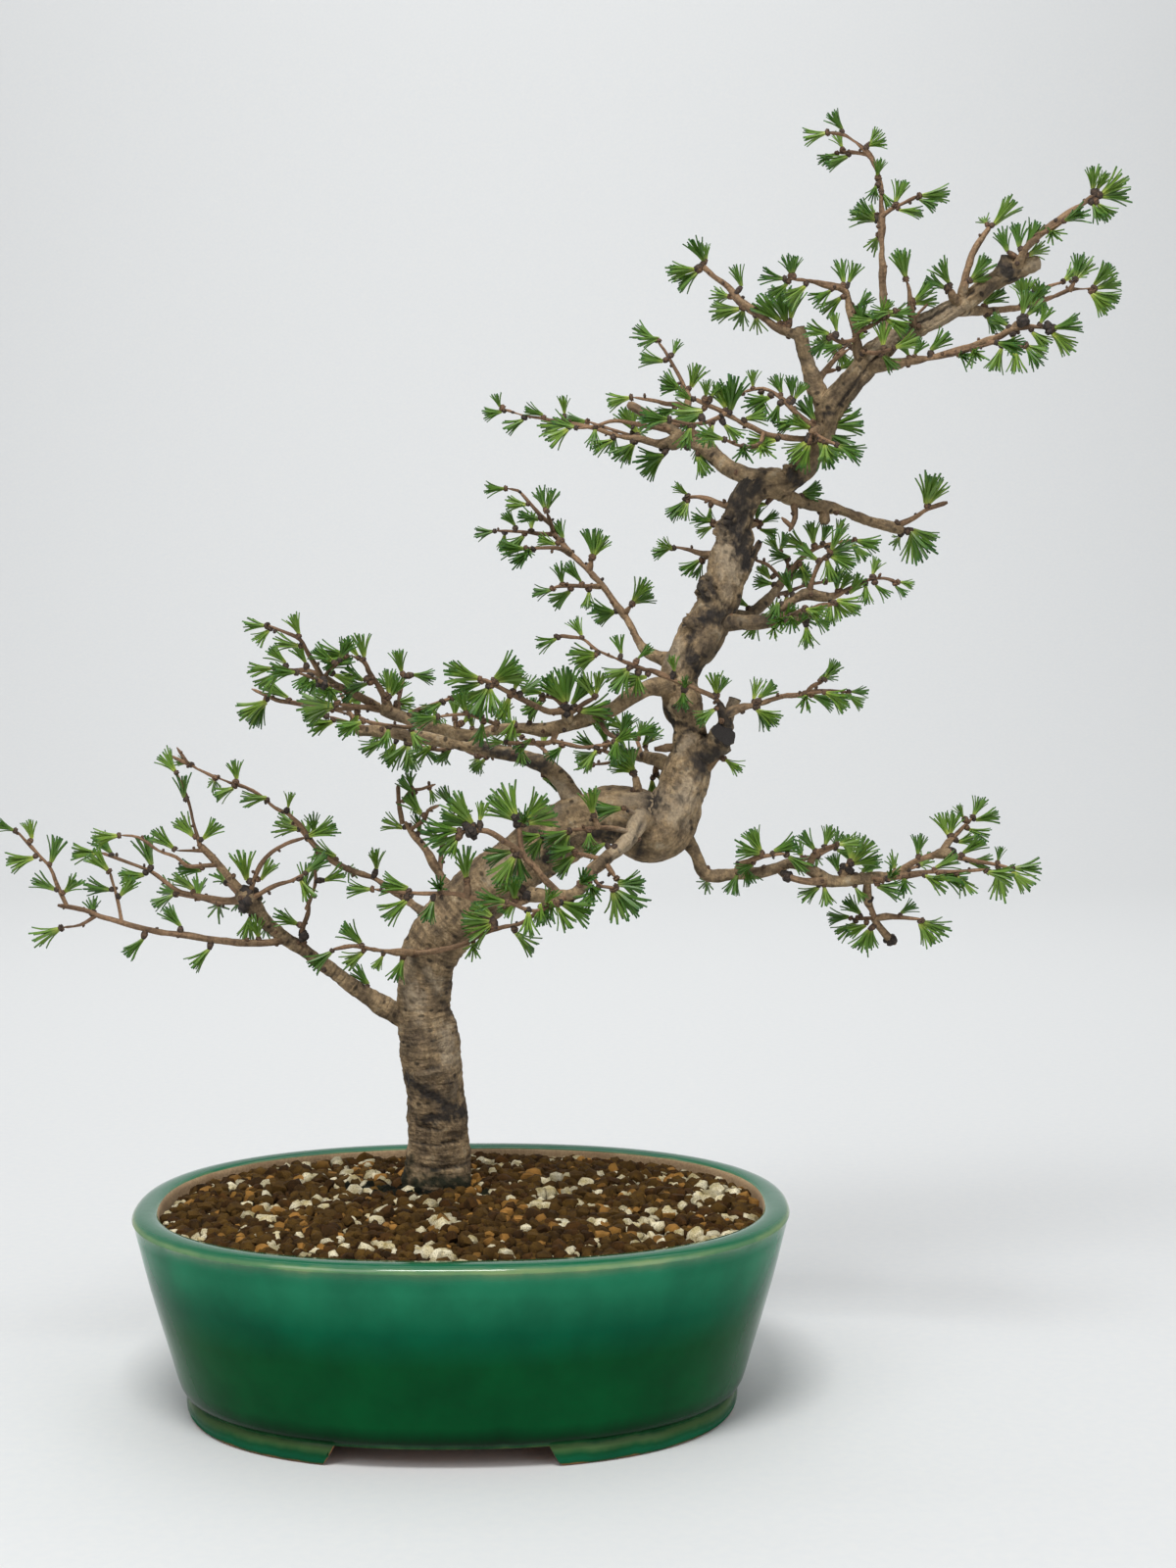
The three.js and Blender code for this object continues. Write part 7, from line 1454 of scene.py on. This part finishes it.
def limb(bm, points, sides, step, relief, cut_end=False, flute=0.0):
    """Grows one limb into a mesh: a tube carried along its path, with bark relief and a closed end."""
    path = smooth_path(points, step)
    rows = len(path) - 1
    wood = tube(sides, rows, BARK_LAYERS, ("straight",))
    age, scar, painted_hollow_shade = (wood.verts.layers.float[name] for name in ("age", "scar", "painted_hollow_shade"))
    straight = wood.verts.layers.float_vector["straight"]
    tangents = [(path[min(i + 1, rows)][0] - path[max(i - 1, 0)][0]).normalized() for i in range(rows + 1)]
    normal = Vector((0.2, 1, 0.1)).cross(tangents[0]).normalized()
    normals = []
    for tangent in tangents:
        normal = (normal - tangent * normal.dot(tangent)).normalized()
        normals.append(normal)
    length = [0.0]
    for i in range(rows):
        length.append(length[-1] + (path[i + 1][0] - path[i][0]).length)
    drift = points[0][0] * 3.7 + points[0][1]
    for vert in wood.verts:
        row = round(vert.co.z * rows)
        place, radius = path[row]
        angle = math.atan2(vert.co.y, vert.co.x)
        c, s = math.cos(angle), math.sin(angle)
        around = Vector((c * radius, s * radius, length[row] + drift))
        wave = flute * (math.sin(3 * angle + length[row] * 0.065)
                        + 0.6 * math.sin(5 * angle - length[row] * 0.1))
        lump = noise.noise(stretched(around, 0.16, 0.09))
        grain = noise.noise(stretched(around, 0.55, 0.16))
        ring = noise.noise(stretched(around, 0.12, 0.62))
        ringed = clamped((RINGED_BELOW - place.z) / 40, 0.15)
        gaps = noise.voronoi(stretched(around, 0.2, 0.11))[0]
        crack = max(1 - (gaps[1] - gaps[0]) * 5, 0) * (1 - ringed)
        rough = relief * (2.6 * lump + 1.5 * grain + 1.4 * ringed * ring - 1.3 * crack)
        if row == rows and not cut_end:
            radius *= 0.55
        reach = radius * (1 + wave) + min(rough, radius * 0.4)
        binormal = tangents[row].cross(normals[row])
        vert.co = place + normals[row] * (reach * c) + binormal * (reach * s)
        vert[straight] = around * MM
        vert[age] = age_of(path[row][1])
        vert[scar] = 1.0 if cut_end and row == rows else 0.0
        # Painted shade: strong in the cracks between the bark's plates and in the low parts of its grain and
        # rings
        vert[painted_hollow_shade] = clamped(0.7 * crack - 0.9 * grain - 1.3 * ringed * ring)
    merge(bm, as_mesh(wood, "limb"))


# What shows on the trunk's front, drawn in elevation: its kind, its half width, and the points (x, z) of
# its line, all in millimetres
MARKS = [
    ("stain", 3.2, (-25, 148), (-17, 142), (-6, 135), (1, 132)),
    ("stain", 3.4, (-17, 129), (-8, 131), (0, 133)),
    ("knot", 2.6, (-6, 146)), ("ridge", 1.4, (-19, 150), (-10, 152)), ("crack", 1.1, (-17, 153), (-10, 154)),
    ("shade", 1.6, (-22, 203), (-17, 196), (-12, 188), (-6, 180)), ("pale", 2.2, (-16, 198), (-11, 190)),
    ("shade", 2.6, (-24, 172), (-16, 170)), ("pale", 4.5, (-24, 190), (-21, 183)),
    ("pale", 4.0, (-8, 170), (-6, 157)),
    ("pit", 1.5, (-28, 189)), ("pit", 1.4, (-23, 184)), ("pit", 1.2, (-18, 189)), ("pit", 1.3, (-10, 161)),
    ("pit", 1.1, (-7, 160)), ("pit", 1.2, (-14, 165)), ("pit", 1.1, (-11, 171)), ("pit", 1.4, (-7, 175)),
    ("pit", 1.7, (-11, 217)), ("pit", 1.6, (-2, 121)), ("crack", 1.0, (-24, 119), (-12, 117), (-3, 119)),
    ("crack", 1.0, (-22, 108), (-12, 106), (0, 108)), ("crack", 0.9, (-20, 126), (-10, 124)),
    ("moss", 7.0, (-29, 107), (-28, 98)), ("moss", 5.0, (-20, 99), (-12, 101), (-6, 99), (2, 99)),
    ("shade", 9.0, (113, 352), (111, 343)), ("shade", 7.0, (124, 420), (124, 408)),
    ("stain", 7.5, (130, 421), (127, 411), (125, 403)), ("wound", 7.5, (124, 401), (128, 394), (131, 387)),
    ("lump", 4.5, (119, 401)), ("pale", 6.0, (120, 391), (123, 381)), ("lump", 5.0, (111, 373)),
    ("stain", 3.5, (110, 375), (112, 368)), ("crack", 1.5, (113, 378), (115, 371), (119, 366), (125, 362)),
    ("stain", 5.0, (112, 360), (119, 361), (126, 358)), ("crack", 1.3, (111, 358), (117, 357), (124, 358)),
    ("lump", 3.0, (105, 357)), ("crack", 1.6, (106, 354), (104, 350), (103, 344)),
    ("stain", 4.5, (105, 342), (108, 335)), ("pale", 4.0, (98, 347), (96, 340)),
    ("lump", 4.0, (99, 318)), ("crack", 1.6, (92, 318), (95, 313), (102, 311)),
    ("stain", 3.0, (94, 316), (96, 311)),
    ("crack", 1.2, (97, 299), (98, 303), (101, 308), (106, 309), (111, 306)),
    ("ridge", 2.2, (100, 301), (104, 306), (110, 303)), ("pale", 2.4, (99, 299), (104, 304)),
    ("stain", 7.0, (116, 299), (110, 293)), ("knot", 2.2, (100, 277)), ("knot", 2.8, (93, 273)),
    ("pit", 2.0, (101, 266)), ("pit", 1.6, (91, 266)), ("stain", 5.0, (88, 277), (85, 271)),
    ("stain", 2.4, (81, 263), (81, 252)), ("pale", 6.0, (104, 283), (99, 270)), ("pit", 1.4, (97, 290)),
    ("stain", 4.0, (60, 262), (70, 262)), ("pale", 5.0, (15, 244), (25, 252)),
    ("stain", 3.5, (38, 250), (48, 255)), ("stain", 5.0, (66, 250), (60, 244)),
    ("pit", 1.6, (20, 240)), ("pit", 1.5, (5, 232)), ("knot", 2.6, (33, 262)), ("lump", 3.5, (150, 424)),
    ("stain", 3.5, (150, 425), (154, 420)), ("crack", 1.0, (172, 456), (182, 470), (192, 481)),
    ("crack", 0.9, (200, 489), (216, 497), (232, 507)), ("pale", 2.6, (205, 492), (222, 501)),
    ("stain", 3.0, (166, 452)), ("knot", 2.4, (178, 466)), ("pale", 3.0, (186, 480), (196, 487)),
    ("stain", 4.5, (243, 519), (248, 515)), ("stain", 3.0, (118, 308), (119, 311)),
    ("pale", 3.0, (122, 316), (124, 322)), ("pale", 3.0, (258, 519), (263, 520)),
]
BRANCH_MARKS = {
    "branch_mid_lower": [("stain", 4.0, (10, 301), (22, 297), (36, 292)),
                         ("pale", 3.0, (44, 284), (50, 276))],
    "branch_front": [("pale", 7.0, (82, 274), (79, 262), (74, 254)), ("crack", 0.8, (84, 270), (79, 258)),
                     ("stain", 2.0, (84, 276), (88, 272))],
    "branch_cross_mid": [("stain", 5.0, (121, 309), (119, 318))],
    "branch_mid_right": [("shade", 6.0, (120, 357), (150, 360))],
    "branch_mid_right_back": [("shade", 6.0, (120, 360), (137, 366), (150, 375))],
    "branch_arch": [("stain", 3.5, (84, 281), (90, 280)), ("pale", 3.0, (55, 282), (68, 286))],
}
# How each kind of mark looks: how dark, how pale and how damp it turns the bark, and how far it rises
MARK_LOOKS = {
    "stain": (0.93, 0, 0, 0), "shade": (0.45, 0, 0, 0), "crack": (0.8, 0, 0, -0.9),
    "knot": (0.7, 0, 0, 0.7), "pit": (0.6, 0, 0, -0.6), "wound": (0.95, 0, 0, -1.4),
    "lump": (0.3, 0, 0, 3.0), "ridge": (0, 0.2, 0, 1.0), "pale": (0, 0.6, 0, 0), "moss": (0, 0, 0.98, 0.6),
}


def draw_marks(bm, marks):
    """Colours and lifts the bark where a mark is drawn on its front, with ragged edges."""
    bm.normal_update()
    layers = [bm.verts.layers.float[name] for name in ("scar", "pale", "damp")]
    for vert in bm.verts:
        if vert.normal.dot(EYE - vert.co) < 0:
            continue
        share = EYE.y / (EYE.y - vert.co.y)
        x, z = EYE.x + (vert.co.x - EYE.x) * share, EYE.z + (vert.co.z - EYE.z) * share
        for kind, reach, *line in marks:
            wide = reach * 1.5
            if not min(p[0] for p in line) - wide < x < max(p[0] for p in line) + wide:
                continue
            if not min(p[1] for p in line) - wide < z < max(p[1] for p in line) + wide:
                continue
            ragged = noise.fractal(vert.co * (1.0 / math.sqrt(reach)), 1.0, 2.0, 3) * 0.9
            weight = clamped(1.3 - gap_to_line((x, z), line) / reach + ragged)
            *tones, rise = MARK_LOOKS[kind]
            for layer, tone in zip(layers, tones):
                vert[layer] = max(vert[layer], tone * weight)
            vert.co += vert.normal * (rise * weight)


def weather(bm):
    """Darkens and bleaches old bark in broad patches on every side."""
    scar, pale = bm.verts.layers.float["scar"], bm.verts.layers.float["pale"]
    for vert in bm.verts:
        patch = noise.fractal(vert.co * 0.045, 1.0, 2.0, 3)
        vert[scar] = max(vert[scar], clamped((patch - 0.3) * 1.4, 0, 0.55))
        vert[pale] = clamped((-patch - 0.3) * 1.2, 0, 0.4)


class BONSAI_OT_trunk(bpy.types.Operator):
    """Model the trunk with its stubs, bark relief, old cuts and the moss at its foot"""
    bl_idname = "bonsai.trunk"
    bl_label = "Trunk"

    def execute(self, context):
        settings = context.scene.bonsai_tree
        relief = settings.relief / MM
        bm = bmesh.new()
        limb(bm, TRUNK, TRUNK_SIDES, TRUNK_STEP, relief, flute=0.04)
        for stub in STUBS:
            limb(bm, stub, LIMB_SIDES * 2, LIMB_STEP / 2, relief, cut_end=True)
        damp = bm.verts.layers.float["damp"]
        for vert in bm.verts:
            rise = (vert.co.z - MOSS_BELOW) / MOSS_FADE + 0.8 * noise.noise(vert.co * 0.22)
            vert[damp] = clamped(0.5 - rise, 0, 0.8)
        weather(bm)
        draw_marks(bm, MARKS)
        finish_piece("trunk_bark", bm, [bark_material(settings)], ["trunk"], smooth_below=60)
        return {"FINISHED"}


# ---- short shoots and needles
# Old knots where many short shoots have grown on one spot: x, z and radius in millimetres
GALLS = {
    "branch_low_left": [(-96, 232, 5.6), (-74, 215, 3.0)],
    "branch_right_low": [(176, 245, 2.8), (197, 213, 3.0), (186, 231, 2.6), (224, 251, 3.0), (149, 242, 2.6)],
    "branch_mid_upper": [(-63, 331, 2.8), (47, 318, 2.8)],
    "branch_front": [(25, 267, 3.0), (31, 234, 3.6), (4, 263, 3.4)],
    "branch_arch": [(80, 283, 3.0)],
    "branch_crown_right": [(249, 521, 3.4)],
    "branch_crown_low": [(253, 494, 3.2), (277, 511, 3.0)],
}
# How wide a short shoot is at each of its rings, and a needle at each of its thirds, as shares
KNOB_RINGS = (0.52, 0.44, 0.56, 0.46, 0.34)
NEEDLE_WIDTHS = (0.6, 0.9, 1.05, 0.85)


def knob(seed):
    """A short shoot, 1 mm across and 1 mm long along Z, ringed by old bud scales."""
    rng = random.Random(seed)
    rows = len(KNOB_RINGS) - 1
    bm = tube(7, rows, vectors=("straight",))
    straight = bm.verts.layers.float_vector["straight"]
    for vert in bm.verts:
        reach = KNOB_RINGS[round(vert.co.z * rows)] * rng.uniform(0.9, 1.1)
        vert.co.x *= reach
        vert.co.y *= reach
        vert[straight] = vert.co * 3 * MM
    return as_mesh(bm, "knob")


def needle(bm, rng, spread, turn, length, width):
    """One soft needle: it rises from a tight sheath, bends outwards and ends blunt."""
    rows = len(NEEDLE_WIDTHS) - 1
    blade = tube(3, rows, ("reach",))
    reach = blade.verts.layers.float["reach"]
    bend = math.tan(spread) * 0.62 + rng.uniform(-0.03, 0.05)
    lay = Matrix.Rotation(turn, 3, "Z") @ Matrix.Rotation(spread * 0.38, 3, "Y")
    twist = rng.uniform(0, math.tau)
    foot = Vector((math.cos(turn), math.sin(turn), 0)) * min(spread * 2.2, SHEATH_RADIUS)
    for vert in blade.verts:
        t = vert.co.z
        wide = width / 2 * NEEDLE_WIDTHS[round(t * rows)]
        angle = math.atan2(vert.co.y, vert.co.x) + twist
        bent = math.cos(angle) * wide * 0.75 + bend * length * t * t
        vert.co = foot + lay @ Vector((bent, math.sin(angle) * wide, t * length))
        vert[reach] = t
    merge(bm, as_mesh(blade, "needle"))


def tuft(seed, count, width):
    """A tuft of needles round Z, like a shaving brush: nearly even in length, and up to 30 degrees aslant."""
    rng = random.Random(seed)
    bm = bmesh.new()
    for k in range(count):
        share = (k + 0.5) / count
        spread = math.radians(1 + 24 * share ** 0.8 + rng.uniform(-3, 5))
        turn = math.tau * (k * GOLDEN) + rng.uniform(-0.3, 0.3)
        length = NEEDLE_LENGTH * rng.uniform(0.82, 1.0)
        needle(bm, rng, spread, turn, length, width)
    return as_mesh(bm, "tuft")


def nearest_on_wood(x, z, paths):
    """The point of a branch's drawn wood that lies nearest in elevation: x, z, depth and radius."""
    best = (math.inf, None)
    for points in paths:
        widths = radii(points)
        for i, (start, end) in enumerate(zip(points, points[1:])):
            share, gap = share_along((x, z), start, end)
            if gap < best[0]:
                place = [a + share * (b - a) for a, b in zip(start[:3], end[:3])]
                best = (gap, (*place, widths[i] + share * (widths[i + 1] - widths[i])))
    return best[1]


def drawn_direction(item, turn):
    """Which way a drawn tuft [x, z, degrees, length, lean] points."""
    lean = item[4] if len(item) > 4 else (turn * GOLDEN % 1 - 0.5) * LEAN_SPREAD
    flat = math.sqrt(1 - lean * lean)
    angle = math.radians(item[2])
    return Vector((flat * math.cos(angle), lean, flat * math.sin(angle)))


def facing(direction, spin=0.0):
    """The turn that takes Z to a direction."""
    return direction.to_track_quat("Z", "Y").to_matrix().to_4x4() @ Matrix.Rotation(spin, 4, "Z")


def plant(bm, mesh, foot, turn, widths, layer, value):
    """Stamps a small mesh on the wood, turned and scaled, and gives its vertices a number to hold."""
    verts = stamp(bm, mesh, Matrix.Translation(foot) @ turn @ Matrix.Diagonal((*widths, 1)))
    held = bm.verts.layers.float[layer]
    for vert in verts:
        vert[held] = value


def bare_knobs(bm, points, knobs, rng):
    """Sets short shoots without needles along a twig, spiralling round it."""
    path = smooth_path(points, LIMB_STEP)
    travelled, due = 0.0, rng.uniform(4, KNOB_SPACING)
    for (a, ra), (b, _) in zip(path, path[1:]):
        travelled += (b - a).length
        if travelled < due:
            continue
        due += KNOB_SPACING * rng.uniform(0.6, 1.5)
        along = (b - a).normalized()
        out = any_way(rng)
        out = (out - along * out.dot(along)).normalized() * 0.9 + along * 0.35
        width = clamped(ra * 1.1, 1.4, 2.6) * rng.uniform(0.75, 1.2)
        tall = rng.uniform(0.8, 2.2)
        plant(bm, rng.choice(knobs), a + out.normalized() * ra * 0.75, facing(out),
              (width, width, tall), "old", rng.random())


def dress_branch(name, branch, shapes, materials):
    """Models a branch's wood with its short shoots, and its tufts of needles."""
    rng = random.Random(name)
    knobs, tufts = shapes
    wood, scales, leaves = bmesh.new(), bmesh.new(), bmesh.new()
    leaves.verts.layers.float.new("tone")
    scales.verts.layers.float.new("old")
    for points in branch["wood"]:
        if radii(points)[0] >= LIMB_RADIUS:
            limb(wood, points, LIMB_SIDES, LIMB_STEP, LIMB_RELIEF)
        else:
            limb(wood, points, TWIG_SIDES, TWIG_STEP, TWIG_RELIEF)
        bare_knobs(scales, points, knobs, rng)
    for x, z, radius in GALLS.get(name, []):
        x, z, y, _ = nearest_on_wood(x, z, branch["wood"])
        for _ in range(GALL_LUMPS):
            out = any_way(rng).normalized()
            broad = radius * rng.uniform(0.8, 1.3)
            plant(scales, rng.choice(knobs), seen(x, z, y), facing(out),
                  (broad, broad, radius * rng.uniform(0.85, 1.4)), "old", 1.0)
    for i, item in enumerate(branch["tufts"]):
        direction = drawn_direction(item, i)
        x, z, y, width = nearest_on_wood(item[0], item[1], branch["wood"])
        foot = seen(x, z, y)
        root = seen(item[0], item[1], y) + direction * 0.6
        stem = root - foot
        reach = max(stem.length, width + 0.9)
        broad = rng.uniform(2.4, 3.4)
        plant(scales, rng.choice(knobs), foot, facing(stem), (broad, broad, reach), "old", rng.random())
        drawn = item[3] if len(item) > 3 else NEEDLE_LENGTH * rng.uniform(0.85, 1.0)
        length = drawn / NEEDLE_LENGTH * NEEDLE_SHARE
        narrow = length * rng.uniform(0.8, 1.0)
        head = foot + stem.normalized() * reach
        plant(leaves, rng.choice(tufts), head, facing(direction, rng.uniform(0, math.tau)),
              (length, narrow, length), "tone", rng.random())
    draw_marks(wood, BRANCH_MARKS.get(name, []))
    bark, scale, green = materials
    finish_piece(f"{name}_wood", wood, [bark], [name], smooth_below=60)
    finish_piece(f"{name}_shoots", scales, [scale], smooth_below=60)
    if len(leaves.verts):
        finish_piece(f"{name}_needles", leaves, [green], [name], smooth_below=80)


class BONSAI_OT_branches(bpy.types.Operator):
    """Model every branch with its short shoots and tufts of needles"""
    bl_idname = "bonsai.branches"
    bl_label = "Branches and needles"

    def execute(self, context):
        settings = context.scene.bonsai_tree
        knobs = [knob(seed) for seed in range(KNOB_SHAPES)]
        tufts = [tuft(seed, settings.needles, settings.needle_width / MM) for seed in range(TUFT_SHAPES)]
        materials = (bark_material(settings), scale_material(settings), needle_material(settings))
        for name, branch in BRANCHES.items():
            dress_branch(name, branch, (knobs, tufts), materials)
        for mesh in knobs + tufts:
            bpy.data.meshes.remove(mesh)
        return {"FINISHED"}


# ---- stage, in metres from the pot's centre
# The paper: half its width, its front edge, where it begins to bend, the bend's radius, and its wall
PAPER_HALF = 5
PAPER_FRONT = -4
PAPER_BEND = 2
PAPER_RADIUS = 1.5
PAPER_WALL = 4
SENSOR = 36  # the width of the camera's sensor in millimetres
# The lights: name, place, aim, width, height and power
SOFTBOXES = [
    ("key", (-1.1, -1.5, 1.9), (0, 0, 0.25), 1.3, 1.3, 14),
    ("fill", (1.6, -1.3, 1.1), (0, 0, 0.25), 1.4, 1.4, 7),
    ("top", (0.1, 0.3, 2.3), (0, 0, 0.2), 1.6, 1.6, 6),
    ("strip", (-0.1, -0.75, 1.5), (0, -0.1, 0.1), 0.5, 0.3, 13),
    ("backdrop", (0, 1.2, 2.6), (0, 3.2, 1.4), 2.4, 2.4, 47),
]


def draw_out(bm, edges, way):
    """Extrudes edges along a vector and gives the new ones."""
    drawn = bmesh.ops.extrude_edge_only(bm, edges=edges)["geom"]
    bmesh.ops.translate(bm, vec=way, verts=[v for v in drawn if isinstance(v, bmesh.types.BMVert)])
    return [e for e in drawn if isinstance(e, bmesh.types.BMEdge)]


def paper_sweep():
    """The paper: flat under the pot, bent upwards behind it, and on as a wall."""
    bm = bmesh.new()
    ends = [bm.verts.new((x, PAPER_FRONT, 0)) for x in (-PAPER_HALF, PAPER_HALF)]
    edge = draw_out(bm, [bm.edges.new(ends)], (0, PAPER_BEND - PAPER_FRONT, 0))
    bent = bmesh.ops.spin(bm, geom=edge + list(edge[0].verts), cent=(0, PAPER_BEND, PAPER_RADIUS),
                          axis=(1, 0, 0), angle=math.radians(90), steps=24)["geom_last"]
    draw_out(bm, [e for e in bent if isinstance(e, bmesh.types.BMEdge)], (0, 0, PAPER_WALL))
    bmesh.ops.recalc_face_normals(bm, faces=bm.faces[:])
    return as_mesh(bm, "paper_sweep")


def softbox(name, place, aim, width, height, power):
    """An oblong area light that points at a place."""
    data = bpy.data.lights.new(name, "AREA")
    data.shape = "RECTANGLE"
    data.size, data.size_y = width, height
    data.energy = power
    lamp = bpy.data.objects.new(name, data)
    lamp.location = Vector(place) + Vector((POT_X, 0, 0))
    lamp.rotation_euler = (Vector(aim) - Vector(place)).to_track_quat("-Z", "Y").to_euler()
    bpy.context.scene.collection.objects.link(lamp)


class BONSAI_OT_stage(bpy.types.Operator):
    """Set the paper sweep, the soft lights and the camera"""
    bl_idname = "bonsai.stage"
    bl_label = "Stage"

    def execute(self, context):
        settings = context.scene.bonsai_stage
        mesh = paper_sweep()
        mesh.materials.append(floor_material(settings))
        mesh.shade_smooth()
        sweep = bpy.data.objects.new("paper_sweep", mesh)
        context.scene.collection.objects.link(sweep)

        for *box, power in SOFTBOXES:
            softbox(*box, power * settings.light)
        world = bpy.data.worlds.new("Studio room")
        world.use_nodes = True
        background = world.node_tree.nodes["Background"]
        fill(world.node_tree, background, {"Color": linear("#f0f3f8"), "Strength": 0.4})
        context.scene.world = world
        context.scene.view_settings.view_transform = "Standard"

        data = bpy.data.cameras.new("camera")
        data.lens = settings.lens
        data.sensor_width = SENSOR
        data.clip_start, data.clip_end = 0.01, 60
        camera = bpy.data.objects.new("camera", data)
        camera.location = EYE * MM + Vector((POT_X, 0, 0))
        camera.rotation_euler = (math.pi / 2 - EYE_PITCH, 0, EYE_TURN)
        context.scene.collection.objects.link(camera)
        context.scene.camera = camera
        return {"FINISHED"}


class BONSAI_PT_panel(bpy.types.Panel):
    """The bonsai's pieces and their settings"""
    bl_idname = "BONSAI_PT_panel"
    bl_label = "Larch bonsai"
    bl_space_type = "VIEW_3D"
    bl_region_type = "UI"
    bl_category = "Bonsai"

    def draw(self, context):
        for operators, settings in (
                (["bonsai.pot", "bonsai.screens"], context.scene.bonsai_pot),
                (["bonsai.soil"], context.scene.bonsai_soil),
                (["bonsai.trunk", "bonsai.branches"], context.scene.bonsai_tree),
                (["bonsai.stage"], context.scene.bonsai_stage)):
            box = self.layout.box()
            for operator in operators:
                box.operator(operator)
            for name in settings.bl_rna.properties.keys():
                if name not in ("rna_type", "name"):
                    box.prop(settings, name)


SETTINGS = {
    "bonsai_pot": PotSettings,
    "bonsai_soil": SoilSettings,
    "bonsai_tree": TreeSettings,
    "bonsai_stage": StageSettings,
}
CLASSES = (
    *SETTINGS.values(), BONSAI_OT_pot, BONSAI_OT_screens, BONSAI_OT_soil, BONSAI_OT_trunk, BONSAI_OT_branches,
    BONSAI_OT_stage, BONSAI_PT_panel,
)


def register():
    """Makes the classes and their settings known to Blender."""
    for cls in CLASSES:
        bpy.utils.register_class(cls)
    for name, group in SETTINGS.items():
        setattr(bpy.types.Scene, name, bpy.props.PointerProperty(type=group))


def unregister():
    """Takes the classes and their settings away again."""
    for name in SETTINGS:
        delattr(bpy.types.Scene, name)
    for cls in reversed(CLASSES):
        bpy.utils.unregister_class(cls)


def main():
    """Builds the scene."""
    register()
    bpy.ops.bonsai.stage()
    bpy.ops.bonsai.pot()
    bpy.ops.bonsai.screens()
    bpy.ops.bonsai.soil()
    bpy.ops.bonsai.trunk()
    bpy.ops.bonsai.branches()


if __name__ == "__main__":
    main()
